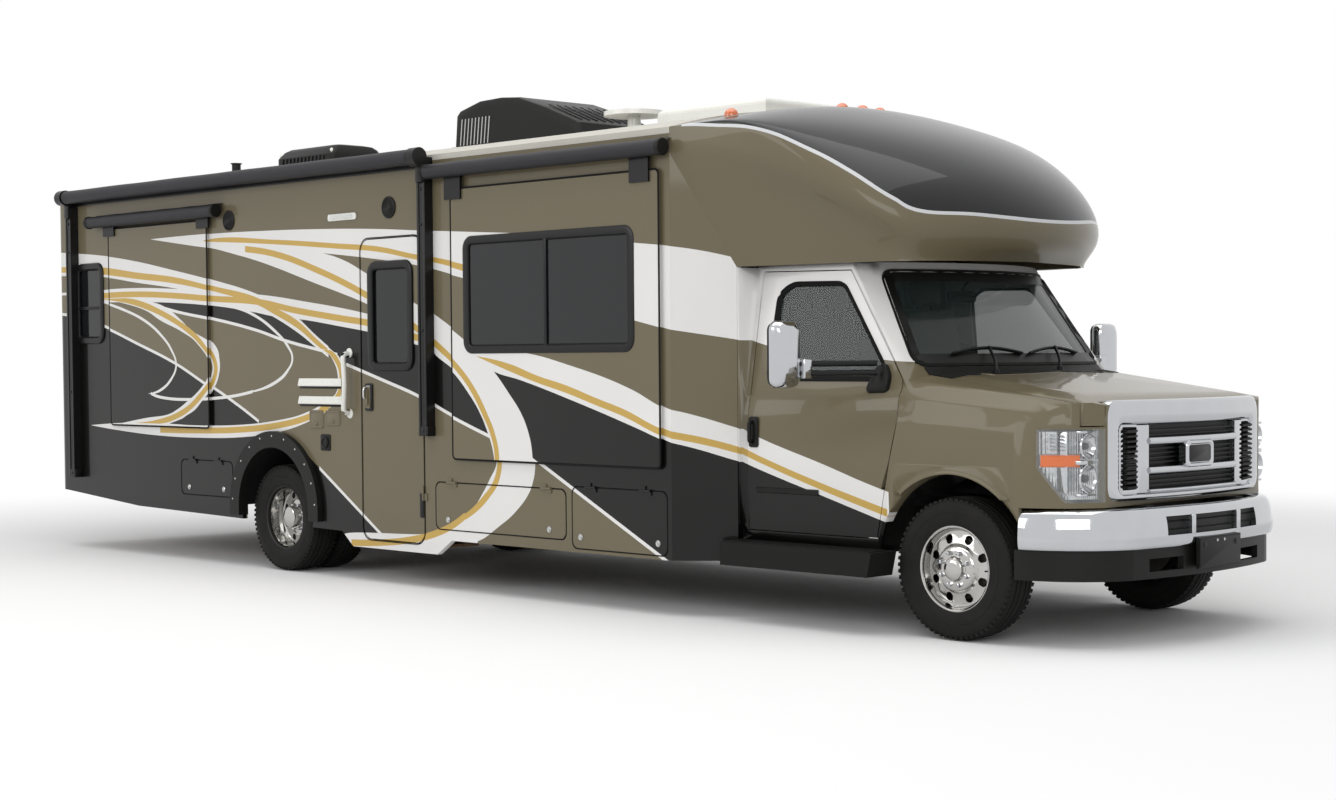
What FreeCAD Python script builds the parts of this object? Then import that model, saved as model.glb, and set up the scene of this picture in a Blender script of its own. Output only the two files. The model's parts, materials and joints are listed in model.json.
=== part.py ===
import FreeCAD, Part
import Sketcher
import math
import os
from types import SimpleNamespace
from FreeCAD import Placement, Rotation, Vector

# Motorhome on a cutaway van chassis, in millimetres.
# +X is the front, +Y the driver's side and +Z up.  The wheels stand on Z = 0, and X = 0 is
# half way between the rear bumper and the front bumper.

doc = FreeCAD.newDocument("motorhome")
sheet = doc.addObject("Spreadsheet::Sheet", "sizes")


# ---------------------------------------------------------------- sizes and the sheet
class Size:
    """A length together with the sheet expression that gives it."""

    def __init__(self, value, text=None):
        self.value = float(value)
        self.text = text or repr(float(value))

    def joined(self, other, sign, value):
        return Size(value, "({} {} {})".format(self.text, sign, other.text))

    def __add__(self, other):
        other = as_size(other)
        return self.joined(other, "+", self.value + other.value)

    def __sub__(self, other):
        other = as_size(other)
        return self.joined(other, "-", self.value - other.value)

    def __mul__(self, other):
        other = as_size(other)
        return self.joined(other, "*", self.value * other.value)

    def __truediv__(self, other):
        other = as_size(other)
        return self.joined(other, "/", self.value / other.value)

    __radd__ = __add__
    __rmul__ = __mul__

    def __rsub__(self, other):
        return as_size(other) - self

    def __neg__(self):
        return as_size(0) - self

    def __float__(self):
        return self.value


def as_size(number):
    return number if isinstance(number, Size) else Size(number)


s = SimpleNamespace()


def name_sizes(rows):
    """Writes rows of (alias, millimetres) into the sheet and keeps each as s.alias."""
    for alias, value in rows:
        row = len(vars(s)) + 1
        sheet.set("A{}".format(row), alias)
        sheet.set("B{}".format(row), str(value))
        sheet.setAlias("B{}".format(row), alias)
        setattr(s, alias, Size(value, "sizes." + alias))


name_sizes([
    # wheels and axles
    ("wheelbase", 5588), ("front_axle_x", 3835), ("tyre_radius", 368), ("tyre_width", 215),
    ("rim_radius", 216), ("front_wheel_y", 881), ("rear_outer_y", 1116), ("rear_inner_y", 862),
    ("kingpin_y", 735), ("stub_radius", 38), ("rim_wall", 12),
    # house shell
    ("house_half_width", 1270), ("house_rear_x", -4700), ("house_front_x", 2100),
    ("wall", 40), ("wall_top", 2700), ("roof_edge", 2735), ("roof_crown", 2900),
    ("roof_thickness", 45), ("floor_bottom", 790), ("floor_thickness", 50),
    ("skirt_rear", 370), ("skirt_tail", 450), ("skirt_front", 320), ("step_bottom", 225),
    ("gap", 8), ("seat_gap", 0.3), ("lid_thickness", 25),
    # cab
    ("cab_rear_x", 2385), ("cab_half_width", 1010), ("cab_roof", 1960), ("cab_wall", 30),
    ("belt", 1360), ("cab_sill", 440), ("firewall_x", 3780), ("cab_front_x", 4580),
    ("glass", 6), ("front_arch", 485), ("rear_arch", 430), ("arch_rise", 72),
    ("flare_width", 98), ("cab_gap", 6), ("taper_step", 25),
    # over-cab cap
    ("cap_bottom", 1962), ("cap_wall", 25), ("scoop_top", 2590), ("scoop_low", 1955),
    # entry door
    ("entry_rear_x", -765), ("entry_front_x", -115), ("entry_bottom", 280), ("entry_top", 2240),
    # slide-outs
    ("slide_front_x0", 205), ("slide_front_x1", 2025), ("slide_front_z0", 840),
    ("slide_front_z1", 2500), ("slide_rear_x0", -3905), ("slide_rear_x1", -2565),
    ("slide_rear_z0", 980), ("slide_rear_z1", 2450), ("slide_depth", 620), ("flange", 25),
    # frame rails
    ("rail_y", 430), ("rail_tall", 180), ("rail_wide", 70), ("rail_metal", 8),
    ("rail_top", 700), ("locker_y", 560), ("locker_wall", 8), ("well_inner_y", 690),
    # front end
    ("grille_half", 725), ("grille_low", 730), ("grille_high", 1225), ("grille_depth", 70),
    ("bumper_front_x", 4765), ("bumper_low", 490), ("bumper_high", 695), ("bumper_metal", 45),
])
doc.recompute()

s.rear_axle_x = s.front_axle_x - s.wheelbase
s.hub = s.tyre_radius
s.side = s.house_half_width
s.floor_top = s.floor_bottom + s.floor_thickness

nodes = []


# ---------------------------------------------------------------- how pieces are made
def bind(item, **properties):
    """Ties properties to sizes; a double underline stands for the dot of a path."""
    for name, value in properties.items():
        item.setExpression(name.replace("__", "."), as_size(value).text)


def place(item, x, y, z):
    item.Placement.Base = Vector(float(x), float(y), float(z))
    bind(item, Placement__Base__x=x, Placement__Base__y=y, Placement__Base__z=z)


def block(label, x, y, z):
    """A box between (low, high) pairs along each axis."""
    item = doc.addObject("Part::Box", label)
    bind(item, Length=x[1] - as_size(x[0]), Width=y[1] - as_size(y[0]), Height=z[1] - as_size(z[0]))
    place(item, x[0], y[0], z[0])
    return item


TURNS = {"x": Rotation(Vector(0, 1, 0), 90), "y": Rotation(Vector(1, 0, 0), -90),
         "z": Rotation()}


def rod(label, base, radius, length, axis):
    """A cylinder that starts at base and runs along +axis."""
    item = doc.addObject("Part::Cylinder", label)
    item.Placement = Placement(Vector(), TURNS[axis])
    bind(item, Radius=radius, Height=length)
    place(item, *base)
    return item


def fused(label, items):
    item = doc.addObject("Part::MultiFuse", label)
    item.Shapes = items
    item.Refine = True
    return item


def less(label, base, tools):
    item = doc.addObject("Part::Cut", label)
    item.Base = base
    item.Tool = tools[0] if len(tools) == 1 else fused(label + "_tool", tools)
    item.Refine = True
    return item


def sorted_pair(sign, near, far):
    """A (low, high) pair on one side of the vehicle."""
    near, far = as_size(near), as_size(far)
    return (near, far) if sign > 0 else (-far, -near)


def flipped(label, source):
    """The same piece on the other side of the vehicle."""
    item = doc.addObject("Part::Mirroring", label)
    item.Source = source
    item.Normal = Vector(0, 1, 0)
    return item


def both(label, source):
    return fused(label, [source, flipped(label + "_other", source)])


def node(item, label):
    item.Label = label
    nodes.append(item)
    return item


def from_shape(label, shape):
    item = doc.addObject("Part::Feature", label)
    item.Shape = shape
    return item


ROLES = {"XY": "XY_Plane", "XZ": "XZ_Plane", "YZ": "YZ_Plane"}


def plane_of(body, plane):
    return [part for part in body.Origin.OriginFeatures if part.Role == ROLES[plane]][0]


def new_sketch(body, plane, label):
    sketch = body.newObject("Sketcher::SketchObject", label)
    sketch.AttachmentSupport = [(plane_of(body, plane), "")]
    sketch.MapMode = "FlatFace"
    return sketch


def fix(sketch, edge, end, across, up):
    """Holds one end of an edge at a named place."""
    for kind, value in (("DistanceX", across), ("DistanceY", up)):
        if value is not None:
            index = sketch.addConstraint(Sketcher.Constraint(kind, -1, 1, edge, end, float(value)))
            sketch.setExpression("Constraints[{}]".format(index), as_size(value).text)


def draw_polygon(sketch, points):
    first = sketch.GeometryCount
    count = len(points)
    corners = [Vector(float(across), float(up), 0) for across, up in points]
    for i in range(count):
        sketch.addGeometry(Part.LineSegment(corners[i], corners[(i + 1) % count]))
    for i in range(count):
        joint = (first + i, 2, first + (i + 1) % count, 1)
        sketch.addConstraint(Sketcher.Constraint("Coincident", *joint))
    for i, (across, up) in enumerate(points):
        fix(sketch, first + i, 1, across, up)


def draw_round(sketch, across, up, radius):
    """A rectangle between (low, high) pairs with rounded corners."""
    first = sketch.GeometryCount
    x0, x1, z0, z1, r = (float(v) for v in (across[0], across[1], up[0], up[1], radius))
    lines = [((x0 + r, z0), (x1 - r, z0)), ((x1, z0 + r), (x1, z1 - r)),
             ((x1 - r, z1), (x0 + r, z1)), ((x0, z1 - r), (x0, z0 + r))]
    middles = [(x1 - r, z0 + r), (x1 - r, z1 - r), (x0 + r, z1 - r), (x0 + r, z0 + r)]
    for i in range(4):
        sketch.addGeometry(Part.LineSegment(Vector(*lines[i][0]), Vector(*lines[i][1])))
        circle = Part.Circle(Vector(*middles[i]), Vector(0, 0, 1), r)
        start = (i - 1) * math.pi / 2
        sketch.addGeometry(Part.ArcOfCircle(circle, start, start + math.pi / 2))
    for i in range(4):
        line, arc, after = first + 2 * i, first + 2 * i + 1, first + (2 * i + 2) % 8
        sketch.addConstraint(Sketcher.Constraint("Tangent", line, 2, arc, 1))
        sketch.addConstraint(Sketcher.Constraint("Tangent", arc, 2, after, 1))
        sketch.addConstraint(Sketcher.Constraint(("Horizontal", "Vertical")[i % 2], line))
        if i:
            sketch.addConstraint(Sketcher.Constraint("Equal", first + 1, arc))
    index = sketch.addConstraint(Sketcher.Constraint("Radius", first + 1, r))
    sketch.setExpression("Constraints[{}]".format(index), as_size(radius).text)
    fix(sketch, first, 1, None, up[0])
    fix(sketch, first + 2, 1, across[1], None)
    fix(sketch, first + 4, 1, None, up[1])
    fix(sketch, first + 6, 1, across[0], None)


def draw_circle(sketch, across, up, radius):
    first = sketch.GeometryCount
    middle = Vector(float(across), float(up), 0)
    sketch.addGeometry(Part.Circle(middle, Vector(0, 0, 1), float(radius)))
    index = sketch.addConstraint(Sketcher.Constraint("Radius", first, float(radius)))
    sketch.setExpression("Constraints[{}]".format(index), as_size(radius).text)
    fix(sketch, first, 3, across, up)


DRAW = {"polygon": draw_polygon, "round": draw_round, "circle": draw_circle}


def plate(label, plane, loops, low, high):
    """A flat piece drawn on a plane, between two levels along that plane's axis."""
    body = doc.addObject("PartDesign::Body", label)
    sketch = new_sketch(body, plane, label + "_outline")
    for kind, *values in loops:
        DRAW[kind](sketch, *values)
    low, high = as_size(low), as_size(high)
    level = -high if plane == "XZ" else low
    bind(sketch, AttachmentOffset__Base__z=level)
    pad = body.newObject("PartDesign::Pad", label + "_pad")
    pad.Profile = sketch
    bind(pad, Length=high - low)
    return body


def turned(label, outline):
    """A piece turned about the Y axis, from (along Y, radius) points."""
    body = doc.addObject("PartDesign::Body", label)
    sketch = new_sketch(body, "YZ", label + "_outline")
    draw_polygon(sketch, outline)
    turn = body.newObject("PartDesign::Revolution", label + "_turn")
    turn.Profile = sketch
    turn.ReferenceAxis = (sketch, ["H_Axis"])
    turn.Angle = 360
    return body


# ---------------------------------------------------------------- wheels
def tyre_outline():
    """Half section of a tyre: across the tread, down a bulged wall, to the bead."""
    half = s.tyre_width / 2
    bead = s.rim_radius + 0.3
    return [(-half * 0.78, bead), (-half, s.tyre_radius - 90), (-half * 0.96, s.tyre_radius - 30),
            (-half * 0.80, s.tyre_radius), (half * 0.80, s.tyre_radius),
            (half * 0.96, s.tyre_radius - 30), (half, s.tyre_radius - 90), (half * 0.78, bead)]


def front_rim_outline():
    """Barrel, a disc towards the outer face, and a hub that stands out of it."""
    half, inner = s.tyre_width * 0.39, s.rim_radius - s.rim_wall
    face, bore = -s.tyre_width * 0.26, s.stub_radius + 0.05
    back = face + s.rim_wall
    return [(-half, s.rim_radius), (-half, inner), (face, inner), (face, 84), (face - 26, 62),
            (face - 26, 0), (face - 20, 0), (face - 20, bore), (back, bore), (back, inner),
            (half, inner), (half, s.rim_radius)]


def rear_rim_outline():
    """Two barrels whose dished discs meet at one bolted face between them."""
    half, inner = s.tyre_width * 0.39, s.rim_radius - s.rim_wall
    pitch, bore = s.rear_outer_y - s.rear_inner_y, s.stub_radius + 0.05
    middle = pitch / 2
    return [(-half, s.rim_radius), (-half, inner), (half - 40, inner), (middle - 12, 150),
            (middle - 12, 84), (middle - 90, 66), (middle - 90, 0), (middle - 84, 0),
            (middle - 84, bore), (middle + 12, bore),
            (middle + 12, 150), (pitch - half + 40, inner), (pitch + half, inner),
            (pitch + half, s.rim_radius), (pitch - half, s.rim_radius), (middle + 4, 178),
            (middle - 4, 178), (half, s.rim_radius)]


def pierced(label, body, holes, pitch, radius):
    """Cuts a ring of round holes through a disc that faces along Y."""
    sketch = new_sketch(body, "XZ", label + "_hole")
    draw_circle(sketch, 0, pitch, radius)
    pocket = body.newObject("PartDesign::Pocket", label + "_holes")
    pocket.Profile = sketch
    pocket.Type = "ThroughAll"
    pocket.Midplane = True
    ring = body.newObject("PartDesign::PolarPattern", label + "_ring")
    ring.Originals = [pocket]
    ring.Axis = (sketch, ["N_Axis"])
    ring.Angle = 360
    ring.Occurrences = holes
    body.Tip = ring
    return body


def wheel(kind, side, sign, outline, hole_pitch, axle_x, wheel_y):
    """A tyre and its pierced rim; both are drawn for the right side, outside towards -Y."""
    turn = Rotation(Vector(0, 0, 1), 0 if sign < 0 else 180)
    label = "{}_rim_{}".format(kind, side)
    rim = pierced(label, turned(label, outline), 8, hole_pitch, 19)
    label = "{}_tyre_{}".format(kind, side)
    tyre = turned(label, tyre_outline())
    for item in (tyre, rim):
        item.Placement = Placement(Vector(), turn)
        place(item, axle_x, sign * wheel_y, s.hub)
    node(rim, rim.Name)
    return tyre


SIDES = (("right", -1), ("left", 1))
for side, sign in SIDES:
    tyre = wheel("front", side, sign, front_rim_outline(), 158, s.front_axle_x, s.front_wheel_y)
    node(tyre, "front_tyre_" + side)

    outer = wheel("rear", side, sign, rear_rim_outline(), 116, s.rear_axle_x, s.rear_outer_y)
    inner = turned("rear_inner_tyre_" + side, tyre_outline())
    place(inner, s.rear_axle_x, sign * s.rear_inner_y, s.hub)
    node(fused("rear_tyres_" + side, [outer, inner]), "rear_tyres_" + side)


# ---------------------------------------------------------------- axles and knuckles
def knuckle(side, sign):
    """Kingpin barrel, stub axle, brake drum and steering arm, drawn on the right."""
    x, y = s.front_axle_x, -s.kingpin_y
    end = s.front_wheel_y + s.tyre_width * 0.26 + 16
    stub = rod("stub_" + side, (x, -end, s.hub), s.stub_radius, end - s.kingpin_y, "y")
    barrel = rod("barrel_" + side, (x, y, s.hub - 90), 40, 180, "z")
    drum = rod("drum_" + side, (x, -s.front_wheel_y - 20, s.hub), 158, 80, "y")
    arm = block("arm_" + side, (x - 210, x), (y - 16, y + 16), (s.hub - 70, s.hub - 40))
    whole = fused("knuckle_made_" + side, [stub, barrel, drum, arm])
    return whole if sign < 0 else flipped("knuckle_flipped_" + side, whole)


for side, sign in SIDES:
    node(knuckle(side, sign), "knuckle_" + side)

yoke = s.kingpin_y - 58
front_axle = [
    block("axle_beam", (s.front_axle_x - 38, s.front_axle_x + 38), (-yoke, yoke),
          (s.hub - 45, s.hub + 45))]
for side, sign in SIDES:
    outward = (-yoke - 1, -yoke + 18) if sign < 0 else (yoke - 18, yoke + 1)
    kingpin = (s.front_axle_x, sign * s.kingpin_y)
    front_axle.append(block("yoke_web_" + side, (s.front_axle_x - 38, s.front_axle_x + 38),
                            outward, (s.hub - 120, s.hub + 120)))
    reach = (-s.kingpin_y, -yoke) if sign < 0 else (yoke, s.kingpin_y)
    for tag, low, high in (("low", s.hub - 120, s.hub - 90 - s.seat_gap),
                           ("high", s.hub + 90 + s.seat_gap, s.hub + 120)):
        front_axle.append(rod("yoke_{}_{}".format(tag, side), kingpin + (low,), 38, high - low, "z"))
        front_axle.append(block("yoke_arm_{}_{}".format(tag, side),
                                (s.front_axle_x - 38, s.front_axle_x + 38), reach, (low, high)))
    front_axle.append(rod("coil_" + side, (s.front_axle_x, sign * s.rail_y, s.hub + 40), 56,
                          s.rail_top - s.rail_tall - s.hub - 40, "z"))
    arm_y = (sign * s.rail_y - 22, sign * s.rail_y + 22)
    front_axle.append(block("radius_arm_" + side, (s.front_axle_x - 900, s.front_axle_x), arm_y,
                            (s.hub + 5, s.hub + 45)))
    front_axle.append(block("radius_post_" + side, (s.front_axle_x - 900, s.front_axle_x - 850),
                            arm_y, (s.hub + 5, s.rail_top - s.rail_tall)))
node(fused("front_axle_made", front_axle), "front_axle")


def leaf_spring(side, sign):
    """A bowed pack of leaves under a frame rail, resting on the axle tube."""
    x, low, high = s.rear_axle_x, s.hub + 50, s.rail_top - s.rail_tall
    outline = [(x - 700, high - 40), (x - 120, low), (x + 120, low), (x + 700, high - 40),
               (x + 700, high), (x + 640, high), (x + 120, low + 45), (x - 120, low + 45),
               (x - 640, high), (x - 700, high)]
    return plate("leaf_" + side, "XZ", [("polygon", outline)],
                 sign * s.rail_y - 32, sign * s.rail_y + 32)


axle_end = s.rear_outer_y - (s.rear_outer_y - s.rear_inner_y) / 2 + 70
rear_axle = [
    rod("axle_shaft", (s.rear_axle_x, -axle_end, s.hub), s.stub_radius, axle_end * 2, "y"),
    rod("axle_tube", (s.rear_axle_x, -s.rear_inner_y + 150, s.hub), 56,
        s.rear_inner_y * 2 - 300, "y"),
    rod("differential", (s.rear_axle_x, -95, s.hub), 165, 190, "y"),
    rod("propshaft", (s.rear_axle_x, 0, s.hub + 90), 42, 4470, "x"),
    leaf_spring("right", -1), leaf_spring("left", 1)]
node(fused("rear_axle_made", rear_axle), "rear_axle")

# ---------------------------------------------------------------- chassis
rail_low = s.rail_top - s.rail_tall
rail_x = (s.house_rear_x + 60, s.cab_front_x + 60)
chassis = []
for side, sign in SIDES:
    y = (sign * s.rail_y - s.rail_wide / 2, sign * s.rail_y + s.rail_wide / 2)
    whole = block("rail_" + side, rail_x, y, (rail_low, s.rail_top))
    inward = (y[0] + s.rail_metal, y[1]) if sign < 0 else (y[0], y[1] - s.rail_metal)
    hollow = block("rail_hollow_" + side, (rail_x[0] - 1, rail_x[1] + 1), inward,
                   (rail_low + s.rail_metal, s.rail_top - s.rail_metal))
    chassis.append(less("rail_channel_" + side, whole, [hollow]))
inner_rail = s.rail_y + s.rail_wide / 2 - s.rail_metal
for i, x in enumerate((-4450, -3400, -2400, -1100, 150, 1300, 2300)):
    chassis.append(block("crossmember_{}".format(i), (x, x + 60),
                         (s.seat_gap - inner_rail, inner_rail - s.seat_gap),
                         (rail_low + 20, s.rail_top - 20)))
for i, x in enumerate((-4500, -3600, -2650, -850, 50, 950, 1850)):
    chassis.append(block("joist_{}".format(i), (x, x + 50), (-s.locker_y, s.locker_y),
                         (s.rail_top + s.seat_gap, s.floor_bottom)))
rail_inside = s.rail_y - s.rail_wide / 2
chassis.append(block("gearbox_mount", (3250, 3310), (-rail_inside, rail_inside), (380, 420)))
for side, sign in SIDES:
    chassis.append(block("gearbox_post_" + side, (3250, 3310),
                         sorted_pair(sign, rail_inside - 20, rail_inside - s.seat_gap),
                         (420 + s.seat_gap, rail_low + 40)))
hitch = [block("hitch_bar", (s.house_rear_x + 140, s.house_rear_x + 200), (-s.rail_y, s.rail_y),
               (rail_low - 70, rail_low - s.seat_gap)),
         less("hitch_tube",
              block("hitch_tube_out", (s.house_rear_x - 62, s.house_rear_x + 140 - s.seat_gap), (-32, 32),
                    (rail_low - 70, rail_low - 6)),
              [block("hitch_tube_in", (s.house_rear_x - 70, s.house_rear_x + 210), (-25.5, 25.5),
                     (rail_low - 63.5, rail_low - 12.5))])]
node(fused("chassis_made", chassis + hitch), "chassis_frame")

engine_y = s.rail_y - s.rail_wide / 2
engine = [block("engine", (s.firewall_x + 60, s.cab_front_x - 130), (-engine_y, engine_y),
                (rail_low + 20, 1090)),
          block("gearbox", (s.rear_axle_x + 4470, s.firewall_x + 61), (-150, 150), (420, 640))]
node(fused("engine_made", engine), "engine_block")


# ---------------------------------------------------------------- house shell
def side_outline():
    """A side wall's edge: tail upsweep, skirt, step well and the front corner."""
    return [(s.house_rear_x + 60, s.skirt_tail), (-3565, s.skirt_rear), (-1000, s.skirt_front),
            (s.entry_rear_x - 115, s.step_bottom), (s.entry_front_x + 120, s.step_bottom),
            (s.entry_front_x + 265, s.skirt_front), (s.house_front_x, s.skirt_front),
            (s.house_front_x, s.wall_top), (s.house_rear_x + 60, s.wall_top)]


WINDOWS_RIGHT = (("rear_corner", -4415, -4045, 1610, 2190),)
WINDOWS_LEFT = (("galley", -3700, -2500, 1560, 2190), ("bath", -1750, -1250, 1650, 2190),
                ("lounge", -350, 900, 1510, 2190), ("forward", 1250, 1750, 1560, 2190))
# storage lids: name, side, rear, front, low, high
LIDS = (("lid_right_front", -1, 1275, 2060, 345, 700), ("lid_right_middle", -1, 0, 1215, 390, 680),
        ("lid_right_rear", -1, -2965, -2300, 490, 735), ("lid_left_middle", 1, 0, 1215, 390, 680),
        ("lid_left_rear", 1, -4150, -2900, 490, 735))


def locker(name, sign, x0, x1, z0, z1):
    """An open-fronted box behind a lid, hung from the floor."""
    grow = s.gap + s.locker_wall
    wall_y, back_y = s.side - s.wall, s.locker_y
    outer = block(name + "_locker", (x0 - grow, x1 + grow), sorted_pair(sign, back_y, wall_y),
                  (z0 - grow, s.floor_bottom))
    inner = block(name + "_space", (x0 - s.gap, x1 + s.gap),
                  sorted_pair(sign, back_y + s.locker_wall, wall_y + 1),
                  (z0 - s.gap, s.floor_bottom - s.locker_wall))
    return less(name + "_box", outer, [inner])


def wheel_well(side, sign):
    """Rear wheel liner: a half tunnel through the floor with its inner end closed."""
    centre = s.hub + s.arch_rise
    y = sorted_pair(sign, s.well_inner_y, s.side - s.wall)
    start = (s.rear_axle_x, y[0], centre)
    outer = rod("well_out_" + side, start, s.rear_arch + 10, y[1] - y[0], "y")
    open_y = sorted_pair(sign, s.well_inner_y + 10, s.side)
    inner = rod("well_in_" + side, (s.rear_axle_x, open_y[0], centre), s.rear_arch,
                open_y[1] - open_y[0], "y")
    under = block("well_under_" + side, (s.rear_axle_x - 600, s.rear_axle_x + 600),
                  (y[0] - 1, y[1] + 1), (0, centre))
    return less("well_" + side, outer, [inner, under])


boxes = [block("fuel_tank", (-4340, -3440), (-330, 330), (rail_low - 130, s.rail_top)),
         block("waste_tank", (1300, 2050), (s.locker_y, 1130), (440, s.floor_bottom)),
         block("battery_box", (-850, -350), (s.locker_y, 1100), (520, s.floor_bottom))]
boxes += [locker(*row) for row in LIDS]
boxes += [wheel_well(side, sign) for side, sign in SIDES]
node(fused("boxes_made", boxes), "lockers_and_tanks")


def opening(x0, x1, z0, z1, radius=60):
    return ("round", (x0, x1), (z0, z1), radius)


def lid_openings(sign):
    return [opening(x0 - s.gap, x1 + s.gap, z0 - s.gap, z1 + s.gap, 46)
            for _, side_sign, x0, x1, z0, z1 in LIDS if side_sign == sign]


def window_openings(rows):
    return [opening(x0, x1, z0, z1) for _, x0, x1, z0, z1 in rows]


def slide_opening(x0, x1, z0, z1):
    """The wall's hole for a slide-out, inside the slide-out's flange."""
    return opening(x0 + s.flange, x1 - s.flange, z0 + s.flange, z1 - s.flange, 20)


def corner_panel(label):
    """The panel that turns in from the right wall to the side of the cab."""
    turn = Vector(float(s.house_front_x), -float(s.side), 0)
    b = Vector(float(s.cab_rear_x), -float(s.cab_half_width + s.taper_step), 0)
    a = turn + (b - turn) * (float(s.seat_gap) / (b.x - turn.x))
    inward = Vector(0, float(s.wall), 0)
    face = Part.Face(Part.makePolygon([a, b, b + inward, a + inward, a]))
    face.translate(Vector(0, 0, float(s.skirt_front)))
    panel = face.extrude(Vector(0, 0, float(s.wall_top - s.skirt_front)))
    low, high, top = float(s.scoop_low), float(s.scoop_top), float(s.wall_top) + 10
    over = Part.Face(Part.makePolygon([
        Vector(turn.x, 0, high), Vector(b.x, 0, low), Vector(b.x, 0, top),
        Vector(turn.x, 0, top), Vector(turn.x, 0, high)]))
    over.translate(Vector(0, turn.y - 10, 0))
    return from_shape(label, panel.cut(over.extrude(Vector(0, 400, 0))))


def rear_arch(label):
    return rod(label, (s.rear_axle_x, -s.side - 20, s.hub + s.arch_rise), s.rear_arch, 80, "y")


def side_wall(label, loops, corner, others):
    wall = plate(label + "_panel", "XZ", [("polygon", side_outline())] + loops,
                 -s.side, -s.side + s.wall)
    cut_wall = less(label + "_arched", wall, [rear_arch(label + "_arch")])
    return fused(label + "_made", [cut_wall, corner] + others)


# hinge halves: the fixed one is carried by the wall, the other by the lid or door
PIN = 7
STAND = 11


def hinge_z(label, x, y, levels, fixed_side):
    """Upright hinge halves beside a door edge at x, on a face at y that looks towards -Y."""
    halves = {"fixed": [], "moving": []}
    for i, z in enumerate(levels):
        for kind, low, side_way in (("fixed", 0, fixed_side), ("moving", 45, -fixed_side)):
            start = z + low
            tag = "{}_{}_{}".format(label, kind, i)
            leaf = (x, x + side_way * 34) if side_way > 0 else (x + side_way * 34, x)
            halves[kind].append(rod(tag, (x, y - STAND, start), PIN, 45 - s.seat_gap, "z"))
            halves[kind].append(block(tag + "_leaf", leaf, (y - STAND + 4, y),
                                      (start, start + 45 - s.seat_gap)))
    return halves


def hinge_x(label, xs, y, z, up):
    """Level hinge halves along a lid's top edge at z, on a face at y towards -Y."""
    halves = {"fixed": [], "moving": []}
    for i, x in enumerate(xs):
        for kind, low, leaf in (("fixed", 0, (z, z + up)), ("moving", 45, (z - up, z))):
            start = x + low
            tag = "{}_{}_{}".format(label, kind, i)
            halves[kind].append(rod(tag, (start, y - STAND, z), PIN, 45 - s.seat_gap, "x"))
            halves[kind].append(block(tag + "_leaf", (start, start + 45 - s.seat_gap),
                                      (y - STAND + 4, y), leaf))
    return halves


lid_parts, fixed_hinges = {}, {-1: [], 1: []}
for name, sign, x0, x1, z0, z1 in LIDS:
    halves = hinge_x(name, (x0 + 120, x1 - 210), -s.side, z1 + s.gap / 2, 26)
    panel = plate(name + "_panel", "XZ", [opening(x0, x1, z0, z1, 40)],
                  -s.side, -s.side + s.lid_thickness)
    lid_parts[name] = fused(name + "_made", [panel] + halves["moving"])
    fixed_hinges[sign] += halves["fixed"]

entry_x = (s.entry_rear_x + s.gap, s.entry_front_x - s.gap)
entry_z = (s.entry_bottom, s.entry_top)
entry_hinge_x = s.entry_front_x - s.gap / 2
entry_hinges = hinge_z("entry_hinge", entry_hinge_x, -s.side, (560, 1180, 1900), 1)
entry_glass = (entry_x[0] + 95, entry_x[1] - 105)
entry_panel = plate("entry_panel", "XZ",
                    [("round", entry_x, (entry_z[0] + s.gap, entry_z[1] - s.gap), 80),
                     opening(entry_glass[0], entry_glass[1], 1400, 2070)],
                    -s.side, -s.side + s.wall)
entry_handle = [block("entry_grip", (entry_x[0] + 52, entry_x[0] + 88), (-s.side - 30, -s.side - 18),
                      (1160, 1260)),
                block("entry_plate", (entry_x[0] + 40, entry_x[0] + 100),
                      (-s.side - 19, -s.side), (1140, 1280))]
entry_door = fused("entry_made", [entry_panel] + entry_hinges["moving"] + entry_handle)

grab_x = s.entry_rear_x - 130
grab_bar = [rod("grab_bar", (grab_x, -s.side - 55, 1100), 13, 400, "z"),
            rod("grab_low", (grab_x, -s.side - 55, 1120), 11, 55, "y"),
            rod("grab_high", (grab_x, -s.side - 55, 1480), 11, 55, "y")]

right_loops = (window_openings(WINDOWS_RIGHT) + lid_openings(-1) + [
    slide_opening(s.slide_front_x0, s.slide_front_x1, s.slide_front_z0, s.slide_front_z1),
    slide_opening(s.slide_rear_x0, s.slide_rear_x1, s.slide_rear_z0, s.slide_rear_z1),
    ("round", (s.entry_rear_x, s.entry_front_x), (s.entry_bottom, s.entry_top), 84)])
left_loops = window_openings(WINDOWS_LEFT) + lid_openings(1)

right_wall = side_wall("wall_right", right_loops, corner_panel("corner_right"),
                       fixed_hinges[-1] + entry_hinges["fixed"] + grab_bar)
node(right_wall, "wall_right")
left_wall = side_wall("wall_left", left_loops, corner_panel("corner_left"), fixed_hinges[1])
node(flipped("wall_left_flipped", left_wall), "wall_left")
for name, sign, x0, x1, z0, z1 in LIDS:
    lid = lid_parts[name]
    node(lid if sign < 0 else flipped(name + "_flipped", lid), name)
node(entry_door, "entry_door")
node(plate("entry_window_made", "XZ", [opening(entry_glass[0], entry_glass[1], 1400, 2070)],
           -s.side + 8, -s.side + 8 + s.glass), "entry_window")


def window_set(label, rows, y):
    """Panes that fill their openings, one solid each."""
    panes = [plate("{}_{}".format(label, name), "XZ", [opening(x0, x1, z0, z1)],
                   y + 6, y + 6 + s.glass) for name, x0, x1, z0, z1 in rows]
    return panes


REAR_WINDOW = ((-560, 560), (1500, 2150))
panes = window_set("pane_right", WINDOWS_RIGHT, -s.side)
panes += [flipped(pane.Name + "_flipped", pane)
          for pane in window_set("pane_left", WINDOWS_LEFT, -s.side)]
panes.append(plate("pane_rear", "YZ", [("round", *REAR_WINDOW, 60)],
                   s.house_rear_x - 30, s.house_rear_x - 30 + s.glass))
node(fused("panes_made", panes), "house_windows")


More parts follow.
